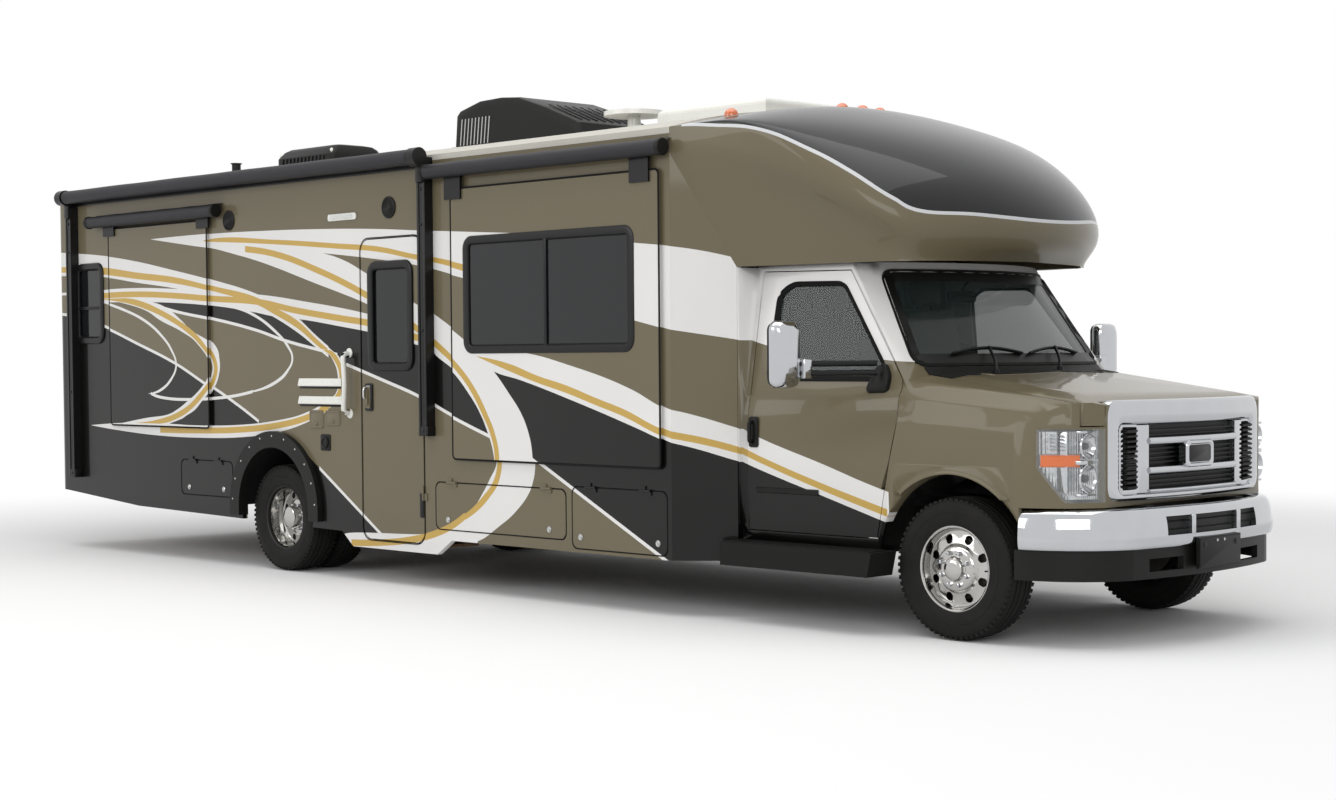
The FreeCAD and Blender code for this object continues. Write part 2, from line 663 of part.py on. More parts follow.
def prism(points, along):
    """A closed outline swept along a vector; points are given as vectors."""
    corners = [Vector(*(float(v) for v in point)) for point in points]
    return Part.Face(Part.makePolygon(corners + corners[:1])).extrude(Vector(*along))


def curved_face(edges):
    """A face from edges given as two ends, or as two ends with a point between."""
    made = []
    for points in edges:
        points = [Vector(*(float(v) for v in point)) for point in points]
        if len(points) == 3:
            made.append(Part.Arc(points[0], points[1], points[2]).toShape())
        else:
            made.append(Part.LineSegment(points[0], points[1]).toShape())
    return Part.Face(Part.Wire(made))


def crown_section(low, edge, crown, beyond=0):
    """Roof cross-section in the YZ plane, from a flat underside to a crowned top."""
    rise, half = float(crown) - float(edge), float(s.side)
    radius = (half ** 2 + rise ** 2) / (2 * rise)
    w = half + beyond
    edge = float(crown) - radius + math.sqrt(radius ** 2 - w ** 2)
    return curved_face([((0, -w, low), (0, -w, edge)),
                        ((0, -w, edge), (0, 0, crown), (0, w, edge)),
                        ((0, w, edge), (0, w, low)), ((0, w, low), (0, -w, low))])


def roof_shape():
    """Crowned roof with a hollow, thin shell and rounded tail corners."""
    rear, front = float(s.house_rear_x) + 60, float(s.house_front_x)
    outer = crown_section(s.wall_top, s.roof_edge, s.roof_crown)
    inner = curved_face([
        ((0, -s.side + s.wall, s.wall_top - 1), (0, -s.side + s.wall, s.roof_edge - s.roof_thickness)),
        ((0, -s.side + s.wall, s.roof_edge - s.roof_thickness), (0, 0, s.roof_crown - s.roof_thickness),
         (0, s.side - s.wall, s.roof_edge - s.roof_thickness)),
        ((0, s.side - s.wall, s.roof_edge - s.roof_thickness), (0, s.side - s.wall, s.wall_top - 1)),
        ((0, s.side - s.wall, s.wall_top - 1), (0, -s.side + s.wall, s.wall_top - 1))])
    length = Vector(front - rear, 0, 0)
    shell = outer.extrude(length).cut(inner.extrude(length))
    shell.translate(Vector(rear, 0, 0))
    return shell


node(from_shape("roof_made", roof_shape()), "house_roof")


def rear_cap_shape():
    """Rear wall with rounded upright corners, its window, and the end of the crowned roof."""
    x_in, x_out = float(s.house_rear_x) + 60, float(s.house_rear_x) - 40
    w, r, t = float(s.side), 90.0, float(s.wall)
    k = r * (1 - math.sqrt(0.5))
    low = float(s.skirt_tail)
    outer = curved_face([
        ((x_in, -w, low), (x_out + r, -w, low)),
        ((x_out + r, -w, low), (x_out + k, -w + k, low), (x_out, -w + r, low)),
        ((x_out, -w + r, low), (x_out, w - r, low)),
        ((x_out, w - r, low), (x_out + k, w - k, low), (x_out + r, w, low)),
        ((x_out + r, w, low), (x_in, w, low)), ((x_in, w, low), (x_in, -w, low))])
    outer = outer.extrude(Vector(0, 0, float(s.roof_crown) - low))
    crown = crown_section(low - 10, s.roof_edge, s.roof_crown, 60).extrude(Vector(200, 0, 0))
    crown.translate(Vector(x_out - 50, 0, 0))
    inner = Part.makeBox(100, 2 * (w - t), float(s.wall_top) - low - 30 + 1,
                         Vector(x_out + t, -w + t, low - 1))
    (y0, y1), (z0, z1) = REAR_WINDOW
    hole = Part.makeBox(120, y1 - y0, z1 - z0, Vector(x_out - 10, y0, z0))
    hole = hole.makeFillet(60, [edge for edge in hole.Edges
                                if abs(edge.tangentAt(edge.FirstParameter).x) > 0.9])
    notch = Part.makeBox(200, 90, float(rail_low) - low + 1, Vector(x_out - 10, -45, low - 1))
    return outer.common(crown).cut(inner).cut(hole).cut(notch)


node(from_shape("rear_cap_made", rear_cap_shape()), "wall_rear")

well_half = math.sqrt(float(s.rear_arch + 10) ** 2
                      - float(s.floor_bottom - s.hub - s.arch_rise) ** 2)
inner_side, stair_y, neck_y = s.side - s.wall, 420 - s.side, s.cab_half_width - 60
# floor panels: name, rear, front, right edge, left edge
FLOOR_PANELS = (
    ("tail", s.house_rear_x + 60, s.rear_axle_x - well_half, -inner_side, inner_side),
    ("axle", s.rear_axle_x - well_half, s.rear_axle_x + well_half, -s.well_inner_y, s.well_inner_y),
    ("bath", s.rear_axle_x + well_half, s.entry_rear_x, -inner_side, inner_side),
    ("entry", s.entry_rear_x, s.entry_front_x, stair_y, inner_side),
    ("lounge", s.entry_front_x, s.house_front_x, -inner_side, inner_side),
    ("neck", s.house_front_x, s.cab_rear_x, -neck_y, neck_y))
floor = [block("floor_" + name, (rear, front - s.seat_gap), (right, left),
               (s.floor_bottom, s.floor_top))
         for name, rear, front, right, left in FLOOR_PANELS]
floor.append(block("step_pan", (s.entry_rear_x, s.entry_front_x), (-inner_side, stair_y),
                   (s.step_bottom + 20, s.step_bottom + 40)))
floor.append(block("step_riser", (s.entry_rear_x, s.entry_front_x),
                   (stair_y + s.seat_gap, stair_y + 20),
                   (s.step_bottom + 20, s.floor_bottom - s.seat_gap)))
house_floor = fused("floor_made", floor)
node(house_floor, "house_floor")


# ---------------------------------------------------------------- slide-outs
def slide_out(label, x0, x1, z0, z1, window):
    """A room box: flange outside the wall, four sides, and the inner edge left open."""
    face = -s.side - s.seat_gap
    room = (x0 + s.flange + s.gap, x1 - s.flange - s.gap)
    tall = (z0 + s.flange + s.gap, z1 - s.flange - s.gap)
    loops = [opening(x0, x1, z0, z1, 24)] + ([opening(*window)] if window else [])
    flange = plate(label + "_flange", "XZ", loops, face - 22, face)
    sides = plate(label + "_sides", "XZ",
                  [opening(room[0], room[1], tall[0], tall[1], 14),
                   opening(room[0] + s.wall, room[1] - s.wall, tall[0] + s.wall,
                           tall[1] - s.wall, 6)], face, face + s.slide_depth)
    return fused(label + "_made", [flange, sides])


FRONT_WINDOW = (335, 1815, 1505, 2190)
node(slide_out("slide_front", s.slide_front_x0, s.slide_front_x1, s.slide_front_z0,
               s.slide_front_z1, FRONT_WINDOW), "slide_front")
node(slide_out("slide_rear", s.slide_rear_x0, s.slide_rear_x1, s.slide_rear_z0,
               s.slide_rear_z1, None), "slide_rear")
node(plate("slide_front_pane", "XZ", [opening(*FRONT_WINDOW)], -s.side - 14,
           -s.side - 14 + s.glass), "slide_front_window")


def topper(label, x0, x1, z, out, radius, bracket_low):
    """Awning roller over a slide-out, held by an end bracket at each side."""
    face = -s.side - s.seat_gap - 22
    tube = rod(label + "_tube", (x0, -s.side - out, z), radius, x1 - as_size(x0), "x")
    pieces = [tube]
    for tag, x in (("rear", as_size(x0) + 210), ("front", as_size(x1) - 245)):
        pieces.append(block(label + "_" + tag, (x, x + 35), (-s.side - out, face),
                            (z - 40, z - 12)))
        pieces.append(block(label + "_foot_" + tag, (x - 60, x + 95), (face - 14, face),
                            (bracket_low, z - 12)))
    return fused(label + "_made", pieces)


node(topper("topper_front", 4, 2115, 2620, 72, 42, 2440), "slide_front_topper")
node(topper("topper_rear", -4115, -2365, 2512, 68, 40, 2400), "slide_rear_topper")

# ---------------------------------------------------------------- patio awning
awning_z, awning_out = s.wall_top + 18, 100
awning = [rod("awning_roller", (-4400, -s.side - awning_out, awning_z), 46, 4320, "x"),
          block("awning_rail", (-4400, -80), (-s.side - 22, -s.side), (awning_z - 58, awning_z - 34))]
for tag, x, low in (("rear", -4479, 560), ("front", -82, 975)):
    awning.append(block("awning_arm_" + tag, (x, x + 80), (-s.side - 62, -s.side), (low, awning_z)))
    awning.append(rod("awning_end_" + tag, (x, -s.side - awning_out, awning_z), 58, 80, "x"))
node(fused("awning_made", awning), "patio_awning")


# ---------------------------------------------------------------- over-cab cap
# height, nose reach, then where the side meets the nose arc: x and half width
CAP_SLICES = ((1962, 3600, 3200, 900), (2070, 3765, 3380, 985), (2240, 3735, 3330, 1040),
              (2450, 3560, 3120, 1120), (2680, 3180, 2800, 1190), (2920, 2560, 2300, 1230))


def cap_slice(z, nose, side_x, side_y, inset):
    """Plan outline of the cap at one height."""
    x0, w = float(s.house_front_x) - (1 if inset else 0), float(s.side) - inset
    xs, ys, xn = side_x - inset, side_y - inset, nose - inset
    edges = [((x0, -w), (xs, -ys)), ((xs, -ys), (xn, 0), (xs, ys)), ((xs, ys), (x0, w)),
             ((x0, w), (x0, -w))]
    made = []
    for edge in edges:
        points = [Vector(x, y, z) for x, y in edge]
        if len(points) == 3:
            made.append(Part.Arc(points[0], points[1], points[2]).toShape())
        else:
            made.append(Part.LineSegment(points[0], points[1]).toShape())
    return Part.Wire(made)


# the ridge where the outside rolls under, the edge of the cab roof below it, and how far the
# skin between them is hollowed; the first row lies in the tapering corner panel
SCOOP = (((2100, 1270, 2590), (2385, 1035, 1955), 0), ((2700, 1246, 2550), (2700, 960, 1955), 45),
         ((3000, 1205, 2450), (2950, 925, 1955), 45), ((3250, 1120, 2270), (3150, 905, 1955), 40),
         ((3420, 1010, 2085), (3300, 880, 1955), 25), ((3560, 900, 2000), (3480, 860, 1950), 10))


def scoop(inset, sign):
    """What is hollowed out under the ridge, as ruled blocks between the stations."""
    wires = []
    for (rx, ry, rz), (cx, cy, cz), hollow in SCOOP:
        ry, cy, rz = ry - inset, cy - inset, rz + inset
        mid = Vector((rx + cx) / 2, -((ry + cy) / 2 - hollow), (rz + cz) / 2)
        points = [Vector(rx, -ry, rz), mid, Vector(cx, -cy, cz), Vector(cx, -1500, cz),
                  Vector(rx, -1500, rz)]
        wires.append(Part.makePolygon(points + points[:1]))
    solid = Part.makeLoft(wires, True, True)
    return solid if sign < 0 else solid.mirror(Vector(), Vector(0, 1, 0))


def corner_room(inset, sign):
    """The room under the cap that the tapering corner panel fills."""
    x0, x1 = float(s.house_front_x), float(s.cab_rear_x)
    low, high = float(s.scoop_low) + inset, float(s.scoop_top) + inset
    side = prism([(x0 - 2, -1500, 1900), (x1, -1500, 1900), (x1, -1500, low), (x0, -1500, high),
                  (x0 - 2, -1500, high)], (0, 700, 0))
    y0 = float(s.side - s.wall) - inset
    y1 = float(s.cab_half_width + s.taper_step - s.wall) - inset
    plan = prism([(x0 - 2, -y0, 1800), (x0, -y0, 1800), (x1, -y1, 1800), (x1, -1500, 1800),
                  (x0 - 2, -1500, 1800)], (0, 0, 1000))
    room = side.common(plan)
    return room if sign < 0 else room.mirror(Vector(), Vector(0, 1, 0))


def cap_solid(inset):
    form = Part.makeLoft([cap_slice(z, nose, xs, ys, inset)
                          for z, nose, xs, ys in CAP_SLICES], True, True)
    crown = crown_section(1800, s.roof_edge - inset, s.roof_crown - inset)
    crown = crown.extrude(Vector(2000, 0, 0))
    crown.translate(Vector(float(s.house_front_x) - 1, 0, 0))
    form = form.common(crown)
    for _, sign in SIDES:
        form = form.cut(scoop(inset, sign)).cut(corner_room(inset, sign))
    return form


def cap_shape():
    """Hollow nose, open to the house behind and with a hatch over the cab roof."""
    outer = cap_solid(0)
    inner = cap_solid(float(s.cap_wall))
    lift = Part.makeBox(2000, 3000, 400, Vector(2000, -1500, float(s.cap_bottom) + 25))
    lift = lift.fuse(Part.makeBox(2000, 3000, 1000, Vector(2000, -1500, 2300)))
    return outer.cut(inner.common(lift))


node(from_shape("cap_made", cap_shape()), "overcab_cap")


# ---------------------------------------------------------------- cab
# cross sections of the cab below its glass: half width and height, from sill to centre line
SHOULDERS = ((985, 300), (1010, 900), (1003, 1110), (985, 1235), (930, 1325), (700, 1372),
             (0, 1392))
NOSE = ((985, 300), (1010, 900), (1000, 1070), (955, 1130), (870, 1190), (650, 1215), (0, 1250))
CAB_SECTIONS = ((2000, SHOULDERS), (3560, SHOULDERS), (4700, NOSE))


def cab_section(x, rows, inset):
    right = [Vector(x, -(half - inset) if half else 0, z - (inset if z > 1000 else 0))
             for half, z in rows]
    left = [Vector(x, -point.y, point.z) for point in reversed(right[:-1])]
    return Part.makePolygon(right + left + right[:1])


def cab_form(inset):
    """The cab's outside, or its inside when inset by the wall."""
    rear = float(s.cab_rear_x) - (50 if inset else 0)
    low = float(s.cab_sill) - (50 if inset else 0)
    front, w = float(s.cab_front_x) - inset, float(s.cab_half_width) - inset
    belt = float(s.belt) + 25 - inset
    step = float(s.cab_sill) + 260
    side = prism([(rear, -1200, low), (4250, -1200, low), (4250, -1200, step),
                  (front, -1200, step), (front, -1200, 1205 - inset),
                  (front - 110, -1200, 1246 - inset), (3660, -1200, belt), (rear, -1200, belt)],
                 (0, 2400, 0))
    nose = float(s.grille_half) + 5 - inset
    plan = curved_face([((rear, -w, 0), (4120, -w, 0)),
                        ((4120, -w, 0), (4420, -w + 90, 0), (front, -nose, 0)),
                        ((front, -nose, 0), (front, nose, 0)),
                        ((front, nose, 0), (4420, w - 90, 0), (4120, w, 0)),
                        ((4120, w, 0), (rear, w, 0)), ((rear, w, 0), (rear, -w, 0))])
    plan = plan.extrude(Vector(0, 0, 2000))
    sections = [cab_section(x, rows, inset) for x, rows in CAB_SECTIONS]
    body = side.common(plan).common(Part.makeLoft(sections, True, True))
    base, roof = 1110.0, float(s.cab_roof) - inset
    glasshouse = []
    for z, half, side_x, side_y, centre_x in ((base, 1000, 3640, 985, 3835),
                                              (roof, 862, 3060, 835, 3330)):
        half, side_y, side_x, centre_x = half - inset, side_y - inset, side_x - inset, centre_x - inset
        face = curved_face([((rear, -half, z), (side_x, -side_y, z)),
                            ((side_x, -side_y, z), (centre_x, 0, z), (side_x, side_y, z)),
                            ((side_x, side_y, z), (rear, half, z)),
                            ((rear, half, z), (rear, -half, z))])
        glasshouse.append(face.OuterWire)
    return body.fuse(Part.makeLoft(glasshouse, True, True))


def grown(points, gap):
    """An outline drawn in the XZ plane, grown by a gap."""
    wire = Part.makePolygon([Vector(x, 0, z) for x, z in points + points[:1]])
    if gap:
        wire = wire.makeOffset2D(gap, 2)
        if Part.Face(wire).Area < Part.Face(Part.makePolygon(
                [Vector(x, 0, z) for x, z in points + points[:1]])).Area:
            wire = wire.makeOffset2D(-2 * gap, 2)
    return Part.Face(wire)


def side_prism(points, gap, sign):
    """The outline swept through one side of the cab."""
    start, along = (-1300, 600) if sign < 0 else (700, 600)
    face = grown(points, gap)
    face.translate(Vector(0, start, 0))
    return face.extrude(Vector(0, along, 0))


DOOR = [(2432, 500), (3345, 500), (3372, 620), (3485, 1120), (3482, 1330), (3408, 1430),
        (3050, 1915), (2440, 1925)]
DOOR_GLASS = [(2545, 1330), (3385, 1330), (3350, 1410), (3015, 1852), (2650, 1858), (2565, 1800)]


def front_prism(rows):
    """A windscreen outline in the YZ plane, swept forward; rows of (half width, height)."""
    right = [(2950, -half, z) for half, z in rows]
    left = [(2950, half, z) for half, z in reversed(rows)]
    return prism(right + left, (1100, 0, 0))


SCREEN = [(835, 1412), (728, 1905)]


def hood_prism(gap):
    """The hood's outline seen from above, from its shut line upward."""
    rear, side, front = 3700 - gap, 838 + gap, float(s.cab_front_x) + 40
    outline = curved_face([((rear, -side + 40, 0), (rear + 110, 0, 0), (rear, side - 40, 0)),
                           ((rear, side - 40, 0), (4260, side, 0)),
                           ((4260, side, 0), (front, side, 0)),
                           ((front, side, 0), (front, -side, 0)),
                           ((front, -side, 0), (4260, -side, 0)),
                           ((4260, -side, 0), (rear, -side + 40, 0))])
    outline.translate(Vector(0, 0, 1105 - gap))
    over_grille = float(s.grille_high + s.cab_gap) - gap
    front_step = Part.makeBox(400, 2 * (float(s.grille_half) + 11 - gap), over_grille - 1000,
                              Vector(float(s.cab_front_x) - (30 if gap else 46),
                                     -float(s.grille_half) - 11 + gap, 1000))
    return outline.extrude(Vector(0, 0, 600)).cut(front_step)


def lamp_prism(gap, sign):
    """Where a headlamp fills the corner of the front end."""
    front = float(s.cab_front_x) + 60
    points = [(4300, 733 - gap), (front, 733 - gap), (front, 1050), (4300, 1050)]
    tall = prism([(x, sign * y, 727 - gap) for x, y in points], (0, 0, 361 + 2 * gap))
    chamfer = prism([(4100, -1200, 727 - gap - 1), (4452 - gap, -1200, 727 - gap - 1),
                     (4335 - gap, -1200, 900), (4335 - gap, -1200, 1200), (4100, -1200, 1200)],
                    (0, 2400, 0))
    return tall.cut(chamfer)


outside, inside = cab_form(0), cab_form(float(s.cab_wall))
skin = outside.cut(inside)
hood_skin = skin.common(hood_prism(0))


# door and hood hinges: places of the pins, and the levels of the door's two hinges
DOOR_PIN = (3390, 1000)
DOOR_PIN_RADIUS = 4
DOOR_HINGE_LEVELS = (770, 1000)
HINGE_HALF = 15
HOOD_PIN = (3690, 1345)
HOOD_ARM_Y = 560


def door_pocket(sign):
    """Room inside the door's front edge for the fixed halves of its hinges."""
    x, y = DOOR_PIN
    made = [Part.makeBox(140, 60, 2 * HINGE_HALF,
                         Vector(x - 6, -y - DOOR_PIN_RADIUS - 0.5, level - HINGE_HALF))
            for level in DOOR_HINGE_LEVELS]
    made = made[0].fuse(made[1:])
    return made if sign < 0 else made.mirror(Vector(), Vector(0, 1, 0))


def door_hinges(sign):
    """Fixed hinge halves: a knuckle in the door's edge and an arm round to the front pillar."""
    x, y = DOOR_PIN
    deep = 86
    made = []
    for level in DOOR_HINGE_LEVELS:
        low, tall = level - HINGE_HALF + float(s.seat_gap), 2 * (HINGE_HALF - float(s.seat_gap))
        edge = 3372 + (level - 620) * (3485 - 3372) / (1120 - 620) + float(s.cab_gap)
        made += [Part.makeCylinder(DOOR_PIN_RADIUS, tall, Vector(x, -y, low)),
                 Part.makeBox(8, deep, tall, Vector(x - 4, -y, low)),
                 Part.makeBox(edge + 40 - x, 10, tall, Vector(x - 4, -y + deep - 4, low)),
                 Part.makeBox(22, deep, tall, Vector(edge + 16, -y + 2, low))]
    made = made[0].fuse(made[1:]).cut(outside.cut(inside))
    made = made.common(outside)
    return made if sign < 0 else made.mirror(Vector(), Vector(0, 1, 0))


def hood_notch(y):
    """Slot in the cowl for one hood arm."""
    x, z = HOOD_PIN
    return Part.makeBox(100, 46, 120, Vector(x - 22, y - 23, z - 60))


def rear_flange(sign):
    """Closes the slit between the leaning side of the cab and the upright corner panel."""
    reach, high = float(s.cab_half_width + s.taper_step) - 1, float(s.scoop_low) - 5
    y = -reach if sign < 0 else reach - 340
    sheet_metal = Part.makeBox(12, 340, high - 520, Vector(float(s.cab_rear_x) + 1, y, 520))
    return sheet_metal.cut(outside)


def arch_lip(sign):
    """The raised lip over a front wheel arch."""
    y = -1400 if sign < 0 else 980
    x, z, reach = float(s.front_axle_x), float(s.hub), float(s.front_arch)
    ring = Part.makeCylinder(reach + 34, 420, Vector(x, y, z), Vector(0, 1, 0))
    ring = ring.cut(Part.makeCylinder(reach, 420, Vector(x, y, z), Vector(0, 1, 0)))
    over = Part.makeBox(800, 3000, 600, Vector(3480, -1500, 735))
    return ring.common(over).common(cab_form(-14))


def cab_body_shape():
    body = skin.cut(hood_prism(float(s.cab_gap)))
    for _, sign in SIDES:
        body = body.cut(side_prism(DOOR, float(s.cab_gap), sign)).cut(lamp_prism(0, sign))
        arch_y = -1400 if sign < 0 else 600
        body = body.cut(Part.makeCylinder(float(s.front_arch), 800,
                                          Vector(float(s.front_axle_x), arch_y, float(s.hub)),
                                          Vector(0, 1, 0)))
    body = body.cut(front_prism(SCREEN))
    width = float(s.cab_half_width - s.cab_wall) - 12
    floor = Part.makeBox(float(s.firewall_x - s.cab_rear_x), 2 * width, 30,
                         Vector(float(s.cab_rear_x), -width, float(s.rail_top)))
    wall = Part.makeBox(25, 2 * width, 1255 - float(s.rail_top),
                        Vector(float(s.firewall_x), -width, float(s.rail_top)))
    wells = [Part.makeCylinder(float(s.front_arch) + 22, 420,
                               Vector(float(s.front_axle_x), y, float(s.hub)), Vector(0, 1, 0))
             for y in (-1000, 580)]
    arches = [Part.makeCylinder(float(s.front_arch), 440,
                                Vector(float(s.front_axle_x), y, float(s.hub)), Vector(0, 1, 0))
              for y in (-1001, 561)]
    tops = Part.makeBox(3000, 3000, 2000, Vector(2000, -1500, float(s.hub) + 60))
    panels = floor.fuse(wall)
    for well, arch in zip(wells, arches):
        panels = panels.fuse(well.common(tops)).cut(arch)
    panels = panels.common(inside)
    body = body.fuse(panels).cut(front_opening())
    for _, sign in SIDES:
        pin_y = sign * HOOD_ARM_Y
        body = body.cut(hood_notch(pin_y))
        body = body.fuse(Part.makeCylinder(6, 50, Vector(HOOD_PIN[0], pin_y - 25, HOOD_PIN[1]),
                                           Vector(0, 1, 0)))
        body = body.fuse([door_hinges(sign), rear_flange(sign), arch_lip(sign)])
    return body


def front_opening():
    """The air opening behind the grille."""
    return Part.makeBox(200, 1212, 355, Vector(float(s.cab_front_x) - 60, -606, 745))


node(from_shape("cab_made", cab_body_shape()), "cab_body")

def hood_shape():
    """Hood skin with two hinge arms whose eyes turn on pins in the cowl's slots."""
    x, z = HOOD_PIN
    made = hood_skin
    for _, sign in SIDES:
        y = sign * HOOD_ARM_Y - 10
        arm = prism([(x, y, z - 14), (x + 90, y, z - 34), (x + 150, y, z - 34), (x + 150, y, z),
                     (x + 60, y, z + 6), (x, y, z + 12)], (0, 20, 0))
        eye = Part.makeCylinder(13, 20, Vector(x, y, z), Vector(0, 1, 0))
        hole = Part.makeCylinder(6.05, 40, Vector(x, y - 10, z), Vector(0, 1, 0))
        made = made.fuse([arm.common(outside), eye]).cut(hole)
    return made


node(from_shape("hood_made", hood_shape()), "hood")

for side, sign in SIDES:
    window = side_prism(DOOR_GLASS, 0, sign)
    door = skin.common(side_prism(DOOR, 0, sign)).cut([window, front_prism(SCREEN), door_pocket(sign)])
    node(from_shape("cab_door_made_" + side, door), "cab_door_" + side)
    pane = cab_form(12).cut(cab_form(12 + float(s.glass))).common(window)
    node(from_shape("door_glass_made_" + side, pane), "door_glass_" + side)

screen = cab_form(8).cut(cab_form(8 + float(s.glass))).common(front_prism(SCREEN))
node(from_shape("windscreen_made", screen), "windscreen")

for side, sign in SIDES:
    lamp = outside.common(lamp_prism(0, sign)).cut(cab_form(110))
    if sign < 0:
        lamps = [from_shape("headlamp_right", lamp)]
    else:
        lamps.append(from_shape("headlamp_left", lamp))
node(fused("headlamps_made", lamps), "headlamps")


# ---------------------------------------------------------------- front end
def face_arc(depth):
    """The curved front of the grille in plan: a slab between a flat back and an arc."""
    back, half = float(s.cab_front_x), float(s.grille_half)
    front = back + depth
    band = curved_face([((back, -half - 5, 0), (front - 62, -half - 5, 0)),
                        ((front - 62, -half - 5, 0), (front, 0, 0), (front - 62, half + 5, 0)),
                        ((front - 62, half + 5, 0), (back, half + 5, 0)),
                        ((back, half + 5, 0), (back, -half - 5, 0))])
    return band.extrude(Vector(0, 0, 2000))


GRILLE_OPENINGS = (("centre", 0, 410, 750, 1098), ("vent", 505, 600, 785, 1088))
GRILLE_BARS = ((1020, 15), (872, 15), (766, 12))


def front_box(y0, y1, z0, z1, x0, x1):
    return Part.makeBox(x1 - x0, y1 - y0, z1 - z0, Vector(x0, y0, z0))


def grille_shape():
    """Bright surround with side vents, three cross bars and a plain centre block."""
    half, low, high = float(s.grille_half), float(s.grille_low), float(s.grille_high)
    x0, depth = float(s.cab_front_x), float(s.grille_depth) + 12
    body = front_box(-half, half, low, high, x0, x0 + depth)
    body = body.makeFillet(60, [e for e in body.Edges if abs(e.tangentAt(0).x) > 0.9
                                and e.BoundBox.ZMin > low + 10])
    for _, near, far, z0, z1 in GRILLE_OPENINGS:
        for sign in (-1, 1):
            y0, y1 = sorted((sign * near, sign * far))
            body = body.cut(front_box(y0, y1, z0, z1, x0 - 5, x0 + depth + 5))
    for z, tall in GRILLE_BARS:
        body = body.fuse(front_box(-420, 420, z - tall, z + tall, x0 + 22, x0 + depth))
    body = body.fuse(front_box(-120, 120, 872, 1020, x0 + 22, x0 + depth))
    return body.common(face_arc(depth))


node(from_shape("grille_made", grille_shape()), "grille")


def slats_shape():
    """Dark slats behind the bright bars, in the centre and in each side vent."""
    x0 = float(s.cab_front_x)
    slats = []
    for z in range(768, 1090, 23):
        slats.append(front_box(-411, 411, z, z + 8, x0 + 1, x0 + 22))
        for y in (-601, 504):
            slats.append(front_box(y, y + 97, z + 20, z + 27, x0 + 1, x0 + 30))
    slats.append(front_box(-606, 606, 745, 1100, x0 - 14, x0 + 1))
    whole = slats[0].multiFuse(slats[1:])
    return whole.cut(grille_shape())


node(from_shape("slats_made", slats_shape()), "grille_slats")


def bumper_wire(inset, z, reach):
    """Plan line of the bumper: a wide arc and two tight corner arcs, closed behind."""
    front, end_x = float(s.bumper_front_x) - inset, 4250.0 - (40 if inset else 0)
    corner, mid = (front - 65, 640 - inset * 0.3), (4590 - inset * 0.8, 835 - inset * 0.7)
    end = (end_x, 1008 - inset)
    edges = [((end_x, -end[1]), (mid[0], -mid[1]), (corner[0], -corner[1])),
             ((corner[0], -corner[1]), (front, 0), corner), (corner, mid, end),
             (end, (end_x, -end[1]))]
    face = curved_face([[(x, y, z) for x, y in edge] for edge in edges])
    return face.extrude(Vector(0, 0, reach))


def bumper_shape():
    low, high, metal = float(s.bumper_low), float(s.bumper_high), float(s.bumper_metal)
    bar = bumper_wire(0, low, high - low)
    bar = bar.makeFillet(22, [e for e in bar.Edges if e.Length > 300
                              and e.BoundBox.XMax > 4400
                              and e.BoundBox.ZMax - e.BoundBox.ZMin < 1
                              and e.BoundBox.XMin > 4240 and e.Length < 1990])
    bar = bar.cut(bumper_wire(metal, low - 5, high - low + 10))
    return bar.cut(front_box(-425, 425, 553, 648, 4600, 4900))


node(from_shape("bumper_made", bumper_shape()), "front_bumper")


def valance_shape():
    """Dark lower apron under the bright bumper, its air slot and the plain plate bracket."""
    high, metal = float(s.bumper_low), float(s.bumper_metal)
    apron = bumper_wire(28, 340, high - 340).cut(bumper_wire(28 + metal * 0.7, 330, 200))
    apron = apron.cut(front_box(-520, -260, 375, 440, 4600, 4900))
    apron = apron.cut(front_box(260, 520, 375, 440, 4600, 4900))
    slot = bumper_wire(metal * 0.9, 545, 110).cut(bumper_wire(metal * 1.6, 540, 120))
    slot = slot.common(front_box(-440, 440, 540, 660, 4600, 4900))
    shelf = bumper_wire(metal + 2, high - 8, 70).cut(bumper_wire(metal * 1.6 + 2, high - 20, 90))
    shelf = shelf.common(front_box(-440, 440, 480, 560, 4500, 4900))
    front = float(s.bumper_front_x)
    bracket = front_box(-200, 200, 372, 530, front - 2, front + 14)
    bracket = bracket.fuse(front_box(-150, 150, 380, high - 10, front - 60, front + 5))
    return apron.fuse([slot, shelf, bracket]).cut(bumper_shape())


node(from_shape("valance_made", valance_shape()), "front_valance")

# ---------------------------------------------------------------- mirrors and cab fittings
def mirror_shape(sign):
    """Towing mirror on two arms, with the foot on the door."""
    head = Part.makeBox(86, 190, 340, Vector(3087, -1555, 1290))
    head = head.makeFillet(34, [e for e in head.Edges if e.BoundBox.XMax > 3172])
    arms = [Part.makeCylinder(15, math.dist((3400, -1003), (3135, -1400)),
                              Vector(3400, -1003, z), Vector(3135 - 3400, -1400 + 1003, 0))
            for z in (1372, 1440)]
    foot = Part.makeBox(100, 100, 205, Vector(3325, -1060, 1250))
    whole = head.fuse(arms + [foot])
    door = cab_form(0)
    whole = whole.cut(door)
    whole = max(whole.Solids, key=lambda solid: solid.Volume)
    return whole if sign < 0 else whole.mirror(Vector(), Vector(0, 1, 0))


for side, sign in SIDES:
    node(from_shape("mirror_made_" + side, mirror_shape(sign)), "mirror_" + side)


